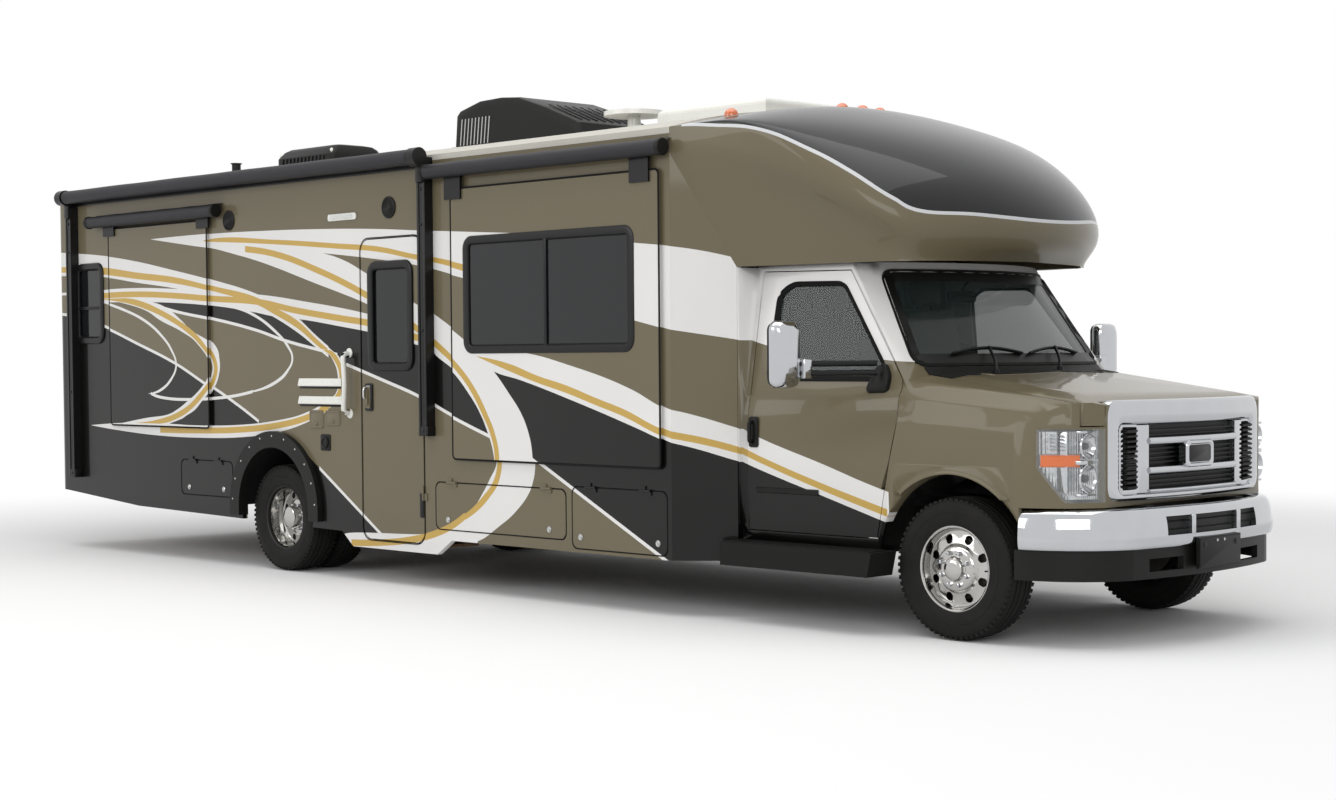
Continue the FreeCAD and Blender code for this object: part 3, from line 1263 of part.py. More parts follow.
def dashboard_shape():
    """Instrument panel across the cab with a steering column and its wheel."""
    width = float(s.cab_half_width - s.cab_wall) - 110
    firewall = float(s.firewall_x)
    panel = prism([(3430, -width, 960), (3700, -width, 900), (firewall, -width, 900),
                   (firewall, -width, 1235), (3600, -width, 1312),
                   (3480, -width, 1290), (3420, -width, 1180)], (0, 2 * width, 0))
    wheel_y, lean = 450, math.radians(62)
    axis = Vector(-math.sin(lean), 0, math.cos(lean))
    hub = Vector(3270, wheel_y, 1265)
    ring = Part.makeTorus(190, 15, hub, axis)
    column = Part.makeCylinder(38, 320, hub, axis * -1)
    boss = Part.makeCylinder(62, 50, hub - axis * 25, axis)
    spokes = [Part.makeCylinder(14, 182, hub, Vector(math.cos(a) * axis.z, math.sin(a),
                                                     -math.cos(a) * axis.x))
              for a in (math.radians(d) for d in (90, 270, 180))]
    return panel.common(inside).fuse([ring, column, boss] + spokes)


node(from_shape("dashboard_made", dashboard_shape()), "dashboard")


def seat_shape(y):
    """Captain's chair: pedestal, cushion, raked back and head restraint."""
    z = float(s.rail_top) + 30
    stand = Part.makeBox(360, 360, 250, Vector(2560, y - 180, z))
    cushion = Part.makeBox(520, 500, 130, Vector(2520, y - 250, z + 250))
    back = prism([(2520, y - 240, z + 380), (2660, y - 240, z + 380), (2590, y - 240, z + 1010),
                  (2470, y - 240, z + 1010)], (0, 480, 0))
    rest = prism([(2462, y - 130, z + 1010), (2560, y - 130, z + 1010), (2545, y - 130, z + 1190),
                  (2455, y - 130, z + 1190)], (0, 260, 0))
    return stand.fuse([cushion, back, rest])


seats = [from_shape("seat_" + side, seat_shape(sign * 480)) for side, sign in SIDES]
node(fused("seats_made", seats), "cab_seats")

# ---------------------------------------------------------------- trim, lamps and roof
def wipers_shape():
    """Blades that follow the foot of the windscreen, each on an arm from its pivot."""
    blades = cab_form(-16).cut(cab_form(-4))
    made = []
    for y, reach in ((-520, 500), (60, 500)):
        made.append(blades.common(Part.makeBox(400, reach, 12, Vector(3400, y, 1418))))
        pivot = Part.makeCylinder(14, 120, Vector(3668, y + 180, 1300))
        arm = Part.makeBox(40, 16, 10, Vector(3634, y + 172, 1410))
        made.append(pivot.fuse(arm).cut(cab_form(0)))
    return made[0].fuse(made[1:])


node(from_shape("wipers_made", wipers_shape()), "wipers")

board = plate("board", "XZ",
              [("polygon", [(2395, s.skirt_front - 8), (3440, s.skirt_front - 8), (3470, s.cab_sill),
                            (2395, s.cab_sill)])], -1195, -s.cab_half_width + 24)
bracket_y, bracket_z = (-s.cab_half_width + 20, -s.rail_y - 80), (s.cab_sill - 30, s.cab_sill)
bracket = block("board_bracket", (2400, 2500), bracket_y, bracket_z)
bracket_front = block("board_bracket_front", (3200, 3300), bracket_y, bracket_z)
node(both("boards_made", fused("board_right", [board, bracket, bracket_front])), "running_boards")


def flare_shape():
    """Half-round arch trim that stands proud of the right wall, with straight legs."""
    x, z = float(s.rear_axle_x), float(s.hub + s.arch_rise)
    inner = float(s.rear_arch) - 14
    outer = float(s.rear_arch + s.flare_width)
    y = -float(s.side)
    ring = Part.makeCylinder(outer, 38, Vector(x, y - 38, z), Vector(0, 1, 0))
    legs = Part.makeBox(2 * outer, 38, z, Vector(x - outer, y - 38, 0))
    lip = Part.makeCylinder(float(s.rear_arch), 78, Vector(x, y - 38, z), Vector(0, 1, 0))
    tube = Part.makeCylinder(inner, 300, Vector(x, y - 100, z), Vector(0, 1, 0))
    slot = Part.makeBox(2 * inner, 300, z, Vector(x - inner, y - 100, 0))
    keep = Part.makeBox(2000, 600, 1000, Vector(x - 1000, -1400, float(s.skirt_rear)))
    return ring.fuse([legs, lip]).cut(tube.fuse(slot)).common(keep)


flare = from_shape("flare_right", flare_shape())
node(both("flares_made", flare), "arch_flares")

pipe_y, pipe_z = -290, 455
pipe_radius = 38
exhaust = [rod("tail_pipe", (-1500, pipe_y, pipe_z), pipe_radius, 1850 - s.seat_gap, "x"),
           rod("muffler", (350, pipe_y, pipe_z - 20), 90, 700, "x"),
           rod("down_pipe", (1050 + s.seat_gap, pipe_y, pipe_z), pipe_radius, 1650, "x")]
hangers = [block("hanger_{}".format(i), (x, x + 20), (pipe_y - 10, pipe_y + 10),
                 (pipe_z + pipe_radius + s.seat_gap, rail_low + 20))
           for i, x in enumerate((-1080, 1320, 2320))]
node(fused("exhaust_made", exhaust + hangers), "exhaust")

rear_bumper = block("bumper_bar", (s.house_rear_x - 79, s.house_rear_x - 40),
                    (-1180, 1180), (s.skirt_tail + 5, s.skirt_tail + 110))
node(less("rear_bumper_made", rear_bumper,
          [block("bumper_hitch_gap", (s.house_rear_x - 80, s.house_rear_x - 30), (-60, 60),
                 (s.skirt_tail, s.skirt_tail + 80))]), "rear_bumper")

tail_lamps = [block("tail_lamp_{}_{}".format(side, i), (s.house_rear_x - 56, s.house_rear_x - 40),
                    (sign * 1060 - 55, sign * 1060 + 55), (z, z + 150))
              for side, sign in SIDES for i, z in enumerate((800, 965, 1130))]
node(fused("tail_lamps_made", tail_lamps), "tail_lamps")

air = plate("air_body", "XZ", [("polygon", [(-900, 2880), (-880, 3130), (-620, 3195), (-250, 3185),
                                            (330, 2985), (380, 2880)])], -350, 350)
node(less("air_made", air, [from_shape("roof_cutter", crown_section(
    1000, s.roof_edge, s.roof_crown).extrude(Vector(9000, 0, 0)))]), "air_conditioner")
doc.getObject("roof_cutter").Placement.Base = Vector(-4700, 0, 0)


def on_roof(label, shape):
    """Seats a roof fitting on the crown by cutting its foot to the roof."""
    crown = crown_section(1000, s.roof_edge, s.roof_crown).extrude(Vector(9000, 0, 0))
    crown.translate(Vector(-4700, 0, 0))
    return from_shape(label, shape.cut(crown))


def cover(x0, x1, y0, y1, high, rise):
    low = Part.makeBox(x1 - x0, y1 - y0, high - 2700, Vector(x0, y0, 2700))
    return low.makeFillet(rise, [e for e in low.Edges if e.BoundBox.ZMin > high - 1])


fittings = [on_roof("vent_rear", cover(-2700, -2050, -560, -120, 2985, 30)),
            on_roof("vent_middle", cover(-1700, -1250, 150, 600, 2985, 30)),
            on_roof("skylight", cover(1150, 2050, -420, 420, 2975, 40)),
            on_roof("pipe", Part.makeCylinder(30, 250, Vector(-3365, -500, 2700))),
            on_roof("antenna_stem", Part.makeCylinder(42, 240, Vector(900, -380, 2720)).fuse(
                Part.makeCylinder(190, 28, Vector(900, -380, 2960))))]
node(fused("fittings_made", fittings), "roof_fittings")

markers = []
for i, (x, y) in enumerate(((2330, -1010), (2420, -170), (2430, 0), (2420, 170), (2330, 1010))):
    bump = Part.makeSphere(42, Vector(x, y, 2880 if abs(y) < 500 else 2795))
    markers.append(from_shape("marker_{}".format(i), bump.cut(cap_solid(0))))
node(fused("markers_made", markers), "marker_lamps")

# ---------------------------------------------------------------- checks and files
doc.recompute()
failed = [item.Name for item in doc.Objects if "Invalid" in item.State or "Error" in item.State]
if failed:
    raise RuntimeError("these did not build: " + ", ".join(failed))
os.makedirs("parts", exist_ok=True)
for item in nodes:
    if item.Shape.isNull() or not item.Shape.isValid():
        raise RuntimeError("bad shape: " + item.Label)
for item in nodes:
    item.Shape.exportStep("parts/{}.step".format(item.Label))
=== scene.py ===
"""Motorhome: paint, glass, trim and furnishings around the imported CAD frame, in metres."""
import json
import math

import bmesh
import bpy
from mathutils import Matrix, Vector
from mathutils.bvhtree import BVHTree


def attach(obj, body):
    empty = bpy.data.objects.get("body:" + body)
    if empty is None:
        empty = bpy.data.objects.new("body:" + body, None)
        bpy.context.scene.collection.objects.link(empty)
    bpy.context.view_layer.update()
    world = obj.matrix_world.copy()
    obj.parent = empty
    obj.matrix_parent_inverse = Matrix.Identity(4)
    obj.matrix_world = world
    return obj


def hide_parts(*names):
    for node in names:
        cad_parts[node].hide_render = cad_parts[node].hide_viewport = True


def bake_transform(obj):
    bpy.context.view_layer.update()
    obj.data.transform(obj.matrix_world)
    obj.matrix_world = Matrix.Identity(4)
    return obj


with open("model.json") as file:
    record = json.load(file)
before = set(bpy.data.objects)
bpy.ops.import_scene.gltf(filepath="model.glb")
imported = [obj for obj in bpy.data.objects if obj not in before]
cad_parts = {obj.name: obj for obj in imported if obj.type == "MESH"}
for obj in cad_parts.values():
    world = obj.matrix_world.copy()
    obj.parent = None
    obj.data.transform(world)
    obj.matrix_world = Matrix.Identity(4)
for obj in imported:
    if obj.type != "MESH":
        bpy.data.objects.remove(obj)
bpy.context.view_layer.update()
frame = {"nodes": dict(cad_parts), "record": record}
nodes = frame["nodes"]
body_of_node = {n: b for b, members in frame["record"]["behaviour"]["bodies"].items()
                for n in members}

SIDES = (("right", -1), ("left", 1))

# ---------------------------------------------------------------- colours and node helper
def linear(code):
    """sRGB hex to the linear colour that Blender's sockets take."""
    parts = [int(code[i:i + 2], 16) / 255 for i in (1, 3, 5)]
    return [c / 12.92 if c <= 0.04045 else ((c + 0.055) / 1.055) ** 2.4 for c in parts] + [1.0]


def add(tree, kind, inputs=None, **settings):
    """Adds a node with its settings; inputs maps a socket to a value or to an output."""
    made = tree.nodes.new(kind)
    for name, value in settings.items():
        setattr(made, name, value)
    for socket, value in (inputs or {}).items():
        if isinstance(value, bpy.types.NodeSocket):
            tree.links.new(value, made.inputs[socket])
        else:
            made.inputs[socket].default_value = value
    return made


def new_material(name):
    """A material with its Principled shader and its Object coordinates."""
    made = bpy.data.materials.new(name)
    made.use_nodes = True
    tree = made.node_tree
    shader = tree.nodes["Principled BSDF"]
    place = add(tree, "ShaderNodeTexCoord").outputs["Object"]
    return made, tree, shader, place


def set_sockets(shader, **values):
    for name, value in values.items():
        shader.inputs[name.replace("_", " ")].default_value = value


def calc(tree, operation, *values, **settings):
    """The output of a maths node."""
    return add(tree, "ShaderNodeMath", dict(enumerate(values)), operation=operation,
               **settings).outputs[0]


def noise(tree, place, scale, **inputs):
    """Noise from 0 to 1 with about that many features a metre."""
    return add(tree, "ShaderNodeTexNoise",
               {"Vector": place, "Scale": scale, **inputs}).outputs["Fac"]


def mixed(tree, share, first, second):
    """A colour between two, by a share."""
    return add(tree, "ShaderNodeMix", {0: share, 6: first, 7: second},
               data_type="RGBA").outputs[2]


def ranged(tree, value, low, high, **inputs):
    """A value from 0 to 1 brought between low and high."""
    return add(tree, "ShaderNodeMapRange",
               {"Value": value, "To Min": low, "To Max": high, **inputs}).outputs["Result"]


def split_axes(tree, place):
    """The X, Y and Z of a place, by name."""
    return add(tree, "ShaderNodeSeparateXYZ", {"Vector": place}).outputs


def curved(tree, value, points):
    """A value read off a drawn curve through points."""
    curve = add(tree, "ShaderNodeFloatCurve", {"Value": value})
    line = curve.mapping.curves[0]
    for i, point in enumerate(points):
        if i in (0, len(points) - 1):
            line.points[0 if i == 0 else -1].location = point
        else:
            line.points.new(*point)
    curve.mapping.update()
    return curve.outputs["Value"]


def surfaced(tree, shader, colour, rough, **sockets):
    """Links a colour and a roughness to a shader and sets its other sockets."""
    tree.links.new(colour, shader.inputs["Base Color"])
    tree.links.new(rough, shader.inputs["Roughness"])
    set_sockets(shader, **sockets)


def bumped(tree, shader, height, depth_mm, socket="Normal"):
    """Raises a surface by depth_mm where height is 1."""
    bump = add(tree, "ShaderNodeBump", {"Height": height, "Distance": depth_mm / 1000})
    tree.links.new(bump.outputs["Normal"], shader.inputs[socket])


def shade(code, share):
    """A colour lightened by a share, or darkened by a negative one."""
    return [min(1.0, c * (1 + share)) for c in linear(code)[:3]] + [1.0]


def grained(name, colour, roughness, size_mm, depth_mm, spread=0.1, **sockets):
    """A surface with an even grain of size_mm, whose tone drifts by spread over a metre."""
    made, tree, shader, place = new_material(name)
    grain = noise(tree, place, 1000 / size_mm, Detail=3.0)
    tone = mixed(tree, noise(tree, place, 2.2), shade(colour, -spread), shade(colour, spread))
    rough = ranged(tree, grain, roughness * 0.8, roughness * 1.2,
                   **{"From Min": 0.3, "From Max": 0.7})
    surfaced(tree, shader, tone, rough, **sockets)
    bumped(tree, shader, grain, depth_mm)
    return made

# ---------------------------------------------------------------- the painted design
TAUPE, BLACK, WHITE, GOLD = "#675f4b", "#080706", "#d9d8d6", "#bb9b50"
CREAM = "#b9b1a0"

# Bands of colour with two edges.  Each row is (place along x, low z, high z), or for those along
# z it is (place along z, rear x, front x).  Later bands lie over earlier ones.
BANDS = [
    ("rear_field", "x", BLACK,
     [(-4.95, -0.2, 1.84), (-4.4, -0.2, 1.80), (-4.055, -0.2, 1.731), (-3.5, -0.2, 1.582),
      (-3.0, -0.2, 1.439), (-2.636, -0.2, 1.304), (-2.25, -0.2, 1.155), (-1.96, -0.2, 1.034),
      (-1.71, -0.2, 0.94)]),
    ("rear_wedge", "x", BLACK,
     [(-3.285, 1.885, 1.885), (-2.75, 1.785, 1.885), (-2.5, 1.75, 1.87), (-2.0, 1.669, 1.84),
      (-1.75, 1.615, 1.80), (-1.5, 1.562, 1.70), (-1.25, 1.524, 1.57), (-1.05, 1.495, 1.50)]),
    ("door_field", "x", BLACK,
     [(-1.42, 1.70, 1.74), (-1.25, 1.58, 1.72), (-1.1, 1.47, 1.70), (-0.92, 1.425, 1.68),
      (-0.55, 1.325, 1.62), (-0.17, 1.222, 1.56), (0.02, 1.165, 1.52), (0.2, 1.093, 1.43),
      (0.35, 1.045, 1.30), (0.47, 1.008, 1.16), (0.62, 0.965, 0.98)]),
    ("arch_field", "x", BLACK, [(-1.5, -0.2, 0.882), (-0.5, -0.2, 0.275)]),
    ("front_field", "x", BLACK,
     [(0.55, 1.045, 1.42), (1.0, 0.827, 1.30), (1.5, 0.585, 1.18), (2.05, 0.32, 1.02),
      (2.5, 0.102, 0.86), (3.0, -0.14, 0.72), (3.6, -0.43, 0.55)]),
    ("upper_white", "x", WHITE,
     [(-3.30, 2.352, 2.354), (-2.5, 2.288, 2.358), (-1.75, 2.225, 2.345), (-1.2, 2.169, 2.328),
      (-0.61, 2.107, 2.30), (-0.17, 2.05, 2.27), (0.33, 1.95, 2.237), (1.0, 1.82, 2.19),
      (1.82, 1.668, 2.105), (2.15, 1.60, 2.065), (2.38, 1.553, 2.005)]),
    ("cab_white", "x", WHITE,
     [(2.38, 1.553, 2.3), (2.56, 1.51, 2.3), (3.0, 1.462, 2.3), (3.4, 1.43, 2.3),
      (3.75, 1.39, 2.3)]),
    ("second_white", "x", WHITE,
     [(-3.30, 2.352, 2.354), (-2.745, 2.282, 2.34), (-2.5, 2.252, 2.32), (-2.25, 2.205, 2.30),
      (-2.0, 2.155, 2.27), (-1.75, 2.096, 2.24), (-1.258, 1.966, 2.18), (-0.96, 1.89, 2.115),
      (-0.677, 1.81, 2.007), (-0.45, 1.73, 1.92), (-0.22, 1.64, 1.82), (0.0, 1.57, 1.735),
      (0.12, 1.52, 1.67), (0.26, 1.43, 1.60)]),
    ("rear_white", "x", WHITE,
     [(-4.95, 2.13, 2.325), (-4.45, 2.12, 2.295), (-4.0, 2.096, 2.258), (-3.5, 2.039, 2.196),
      (-3.0, 1.985, 2.115), (-2.5, 1.915, 2.028), (-2.0, 1.828, 1.925), (-1.75, 1.748, 1.845),
      (-1.5, 1.65, 1.75), (-1.26, 1.534, 1.615), (-1.13, 1.47, 1.545)]),
    ("third_white", "x", WHITE,
     [(-4.055, 1.905, 2.0), (-3.5, 1.895, 2.0), (-3.0, 1.878, 1.98), (-2.5, 1.845, 1.95),
      (-2.0, 1.79, 1.915), (-1.75, 1.755, 1.893), (-1.42, 1.728, 1.853), (-1.0, 1.677, 1.80),
      (-0.677, 1.634, 1.75), (-0.22, 1.555, 1.66), (0.0, 1.505, 1.60)]),
    ("large_turn", "z", WHITE,
     [(1.12, -1.30, -1.17), (1.182, -1.163, -1.03), (1.236, -1.05, -0.985),
      (1.358, -1.03, -0.948), (1.453, -1.08, -0.99), (1.534, -1.20, -1.12),
      (1.615, -1.28, -1.262)]),
    ("large_foot", "x", WHITE,
     [(-4.245, 0.962, 0.964), (-3.745, 0.926, 0.99), (-3.25, 0.904, 0.998),
      (-2.75, 0.90, 0.99), (-2.25, 0.912, 1.0), (-1.75, 0.958, 1.04), (-1.339, 1.047, 1.115),
      (-1.14, 1.125, 1.20)]),
    ("small_turn", "z", WHITE,
     [(0.99, -3.745, -3.12), (1.034, -3.393, -2.92), (1.06, -3.12, -2.85),
      (1.10, -2.98, -2.743), (1.155, -2.853, -2.66), (1.25, -2.67, -2.528),
      (1.358, -2.55, -2.453), (1.453, -2.55, -2.442), (1.574, -2.69, -2.51),
      (1.669, -2.905, -2.76), (1.75, -3.177, -2.905), (1.831, -3.393, -3.07),
      (1.893, -3.717, -3.32), (1.926, -4.055, -3.75)]),
    ("front_white", "x", WHITE,
     [(0.38, 1.49, 1.51), (0.58, 1.385, 1.50), (0.85, 1.325, 1.4925), (1.3, 1.21, 1.41),
      (1.8, 1.07, 1.2775), (2.03, 1.0, 1.185), (2.18, 0.955, 1.14), (2.4, 0.872, 1.055),
      (2.5, 0.84, 1.017), (3.0, 0.70, 0.873), (3.25, 0.63, 0.796), (3.52, 0.555, 0.722)]),
    ("sweep_white", "z", WHITE,
     [(0.215, -0.99, 0.25), (0.3025, -0.97, 0.385), (0.3475, -0.1225, 0.45),
      (0.435, 0.1525, 0.61), (0.5225, 0.345, 0.7525), (0.635, 0.46, 0.8775),
      (0.7225, 0.5275, 0.927), (0.815, 0.59, 0.947), (0.8975, 0.583, 0.945),
      (0.9975, 0.54, 0.92), (1.1225, 0.465, 0.8525), (1.2475, 0.3525, 0.737),
      (1.3775, 0.20, 0.60), (1.51, -0.02, 0.42), (1.60, -0.02, 0.27), (1.7475, -0.02, -0.02)]),
    ("upper_gold", "x", GOLD,
     [(-2.6, 2.309, 2.311), (-2.5, 2.30, 2.323), (-1.75, 2.25, 2.282), (-1.0, 2.188, 2.223),
      (-0.61, 2.155, 2.19), (-0.17, 2.085, 2.1175), (-0.02, 2.065, 2.0975),
      (0.33, 1.9925, 2.035)]),
    ("rear_gold", "x", GOLD,
     [(-4.95, 2.165, 2.20), (-4.0, 2.115, 2.169), (-3.5, 2.066, 2.115), (-3.0, 2.02, 2.066),
      (-2.5, 1.947, 1.985), (-2.0, 1.85, 1.90), (-1.75, 1.769, 1.818), (-1.5, 1.677, 1.731),
      (-1.26, 1.553, 1.595), (-1.14, 1.49, 1.53)]),
    ("front_gold", "x", GOLD,
     [(0.43, 1.4725, 1.4725), (0.75, 1.378, 1.4225), (1.0, 1.31, 1.3525),
      (1.25, 1.2525, 1.2975), (1.5, 1.185, 1.2275), (1.75, 1.1175, 1.16), (2.0, 1.03, 1.07),
      (2.25, 0.965, 1.005), (2.5, 0.88, 0.917), (3.0, 0.729, 0.767), (3.25, 0.66, 0.70),
      (3.42, 0.615, 0.655)]),
]

# Lines of an even width: each row is (place along, centre), with the width in metres.
LINE, GOLD_LINE = 0.021, 0.043
LINES = [
    ("field_line", "x", WHITE, LINE,
     [(-4.95, 1.84), (-4.4, 1.80), (-4.055, 1.731), (-3.5, 1.582), (-3.0, 1.439),
      (-2.636, 1.304), (-2.25, 1.155), (-1.96, 1.03)]),
    ("wedge_line", "x", WHITE, LINE,
     [(-3.12, 1.84), (-2.905, 1.804), (-2.5, 1.75), (-2.0, 1.669), (-1.61, 1.585),
      (-1.258, 1.526), (-1.03, 1.49)]),
    ("tail_line", "x", WHITE, LINE, [(-4.95, 1.985), (-4.40, 1.985)]),
    ("small_arc", "z", WHITE, LINE,
     [(1.212, -3.335), (1.25, -3.177), (1.331, -3.042), (1.425, -2.982), (1.534, -3.042),
      (1.642, -3.177), (1.75, -3.393), (1.845, -3.717), (1.915, -4.07)]),
    ("round_arc", "z", WHITE, LINE,
     [(1.235, -2.05), (1.304, -1.75), (1.38, -1.61), (1.466, -1.547), (1.547, -1.596),
      (1.655, -1.75), (1.769, -2.0), (1.825, -2.23)]),
    ("round_foot", "x", WHITE, LINE,
     [(-3.335, 1.216), (-3.12, 1.182), (-2.905, 1.175), (-2.5, 1.187), (-2.03, 1.238)]),
    ("door_line", "x", WHITE, LINE,
     [(-0.93, 1.424), (-0.55, 1.325), (-0.17, 1.222), (0.2, 1.093), (0.58, 0.975)]),
    ("arch_line", "x", WHITE, LINE, [(-1.25, 0.730), (-0.5, 0.275)]),
    ("skirt_line", "x", WHITE, LINE, [(0.9, 0.875), (2.2, 0.245)]),
    ("second_gold", "x", GOLD, GOLD_LINE,
     [(-2.1, 2.232), (-1.75, 2.185), (-1.258, 2.06), (-0.677, 1.865), (-0.22, 1.67),
      (-0.02, 1.57)]),
    ("third_gold", "x", GOLD, GOLD_LINE,
     [(-4.05, 1.955), (-3.5, 1.953), (-3.0, 1.93), (-2.5, 1.895), (-2.0, 1.865),
      (-1.5, 1.792), (-1.0, 1.73), (-0.677, 1.692), (-0.22, 1.60), (-0.02, 1.57)]),
    ("large_turn_gold", "z", GOLD, GOLD_LINE,
     [(1.13, -1.20), (1.182, -1.09), (1.236, -1.015), (1.358, -0.99), (1.453, -1.04),
      (1.52, -1.15)]),
    ("large_foot_gold", "x", GOLD, GOLD_LINE,
     [(-3.25, 0.947), (-2.75, 0.952), (-2.25, 0.966), (-1.75, 1.005), (-1.339, 1.077),
      (-1.13, 1.155)]),
    ("small_turn_gold", "z", GOLD, GOLD_LINE,
     [(0.993, -3.393), (1.026, -3.12), (1.101, -2.853), (1.223, -2.636), (1.331, -2.515),
      (1.439, -2.50), (1.574, -2.636), (1.669, -2.80), (1.763, -3.04), (1.836, -3.285),
      (1.899, -3.582), (1.93, -3.90)]),
    ("sweep_gold", "z", GOLD, GOLD_LINE,
     [(0.46, 0.2525), (0.61, 0.49), (0.735, 0.5975), (0.86, 0.62), (0.9975, 0.5825),
      (1.11, 0.515), (1.26, 0.4025), (1.3975, 0.2525), (1.4975, 0.10), (1.58, -0.04)]),
    ("sweep_tail", "x", GOLD, GOLD_LINE,
     [(-0.9, 0.2475), (-0.6, 0.265), (-0.2975, 0.2975), (0.0025, 0.36), (0.28, 0.48)]),
]


def stripe_group():
    """The whole painted design as one node group: a place on the wall in, its colour out."""
    tree = bpy.data.node_groups.new("swept_stripes", "ShaderNodeTree")
    tree.interface.new_socket("Place", in_out="INPUT", socket_type="NodeSocketVector")
    tree.interface.new_socket("Color", in_out="OUTPUT", socket_type="NodeSocketColor")
    place = add(tree, "NodeGroupInput").outputs["Place"]
    axis = split_axes(tree, place)
    axes = {"x": (axis["X"], axis["Z"]), "z": (axis["Z"], axis["X"])}
    shown = add(tree, "ShaderNodeRGB").outputs[0]
    shown.default_value = linear(TAUPE)
    middles = [(name, way, colour, [(t, (a + b) / 2, (b - a) / 2) for t, a, b in rows])
               for name, way, colour, rows in BANDS]
    for name, way, colour, width, rows in LINES:
        ends = [rows[max(i - 1, 0)] + rows[min(i + 1, len(rows) - 1)] for i in range(len(rows))]
        middles.append((name, way, colour, [
            (t, m, width / 2 * math.hypot(1, (m1 - m0) / (t1 - t0)))
            for (t, m), (t0, m0, t1, m1) in zip(rows, ends)]))
    for name, way, colour, rows in middles:
        along, across = axes[way]
        first, last = rows[0][0], rows[-1][0]
        low = min(m - h for _, m, h in rows) - 0.01
        tall = max(m + h for _, m, h in rows) + 0.01 - low
        share = add(tree, "ShaderNodeMapRange", {"Value": along, "From Min": first,
                                                 "From Max": last}, clamp=False)
        level = add(tree, "ShaderNodeMapRange", {"Value": across, "From Min": low,
                                                 "From Max": low + tall}, clamp=False)
        middle = curved(tree, share.outputs[0], [
            ((t - first) / (last - first), (m - low) / tall) for t, m, _ in rows])
        half = curved(tree, share.outputs[0], [
            ((t - first) / (last - first), h / tall) for t, _, h in rows])
        inside = calc(tree, "COMPARE", level.outputs[0], middle, half, label=name)
        within = calc(tree, "COMPARE", share.outputs[0], 0.5, 0.5)
        mask = calc(tree, "MULTIPLY", inside, within)
        shown = mixed(tree, mask, shown, linear(colour))
    add(tree, "NodeGroupOutput", {"Color": shown})
    return tree


stripes = stripe_group()

# the house panels are lined in cream inside these places
LINER_REAR_X, LINER_FRONT_X, LINER_DEPTH = -4.735, 2.085, 1.238
# and the front wheel arches of the cab lie inside these
ARCH_REAR_X, ARCH_FRONT_X, ARCH_TOP_Z, ARCH_DEPTH = 3.432, 4.30, 1.02, 0.930


def finish_paint(tree, shader, place, colour):
    """Gives a colour the drift, orange peel and clear coat of sprayed vehicle paint."""
    drift = noise(tree, place, 0.7, Detail=2.0)
    tone = ranged(tree, drift, 0.96, 1.04, **{"From Min": 0.3, "From Max": 0.7})
    tinted = add(tree, "ShaderNodeHueSaturation", {"Color": colour, "Value": tone})
    # panels wave by a fraction of a millimetre over 350 mm, and the peel is 4 mm across
    wave = noise(tree, place, 1000 / 350, Detail=1.0)
    relief = calc(tree, "MULTIPLY_ADD", noise(tree, place, 1000 / 4), 0.012, wave)
    bumped(tree, shader, relief, 1.6, "Coat Normal")
    surfaced(tree, shader, tinted.outputs["Color"], ranged(tree, drift, 0.3, 0.42), IOR=1.5,
             Specular_IOR_Level=0.14, Coat_Weight=0.5, Coat_Roughness=0.03, Coat_IOR=1.4)


def gloss_paint(name, liner):
    """Sprayed two-stage paint: even colour under clear coat, with a faint long waviness.

    The clear coat gives the eye a hard, mirror-like sheen over a soft base.  liner is true for
    the house panels, whose inner faces are lined in cream."""
    made, tree, shader, place = new_material(name)
    design = add(tree, "ShaderNodeGroup", node_tree=stripes)
    tree.links.new(place, design.inputs["Place"])
    colour = design.outputs["Color"]
    axis = split_axes(tree, place)
    depth = calc(tree, "ABSOLUTE", axis["Y"])
    if liner:
        middle = (LINER_REAR_X + LINER_FRONT_X) / 2
        lined = calc(tree, "MULTIPLY", calc(tree, "LESS_THAN", depth, LINER_DEPTH),
                     calc(tree, "COMPARE", axis["X"], middle, LINER_FRONT_X - middle))
        colour = mixed(tree, lined, colour, linear(CREAM))
    else:
        # the stripes stop at the wheel arch's rear edge, and inside the arch all is black
        low = calc(tree, "LESS_THAN", axis["Z"], ARCH_TOP_Z)
        ahead = calc(tree, "GREATER_THAN", axis["X"], ARCH_REAR_X)
        colour = mixed(tree, calc(tree, "MULTIPLY", ahead, low), colour, linear(TAUPE))
        inside = calc(tree, "MULTIPLY", calc(tree, "LESS_THAN", depth, ARCH_DEPTH), low)
        behind = calc(tree, "LESS_THAN", axis["X"], ARCH_FRONT_X)
        colour = mixed(tree, calc(tree, "MULTIPLY", inside, behind), colour, linear(BLACK))
    finish_paint(tree, shader, place, colour)
    return made


house_paint = gloss_paint("two_stage_house_paint", True)
cab_paint = gloss_paint("two_stage_cab_paint", False)


# lower edge of the cap's dark panel: (x, z)
CAP_PANEL_EDGE = [(2.1, 2.748), (2.185, 2.748), (2.4, 2.73), (2.7, 2.688), (3.0, 2.56),
                  (3.2, 2.44), (3.4, 2.29), (3.5, 2.222), (3.66, 2.205), (3.8, 2.168)]


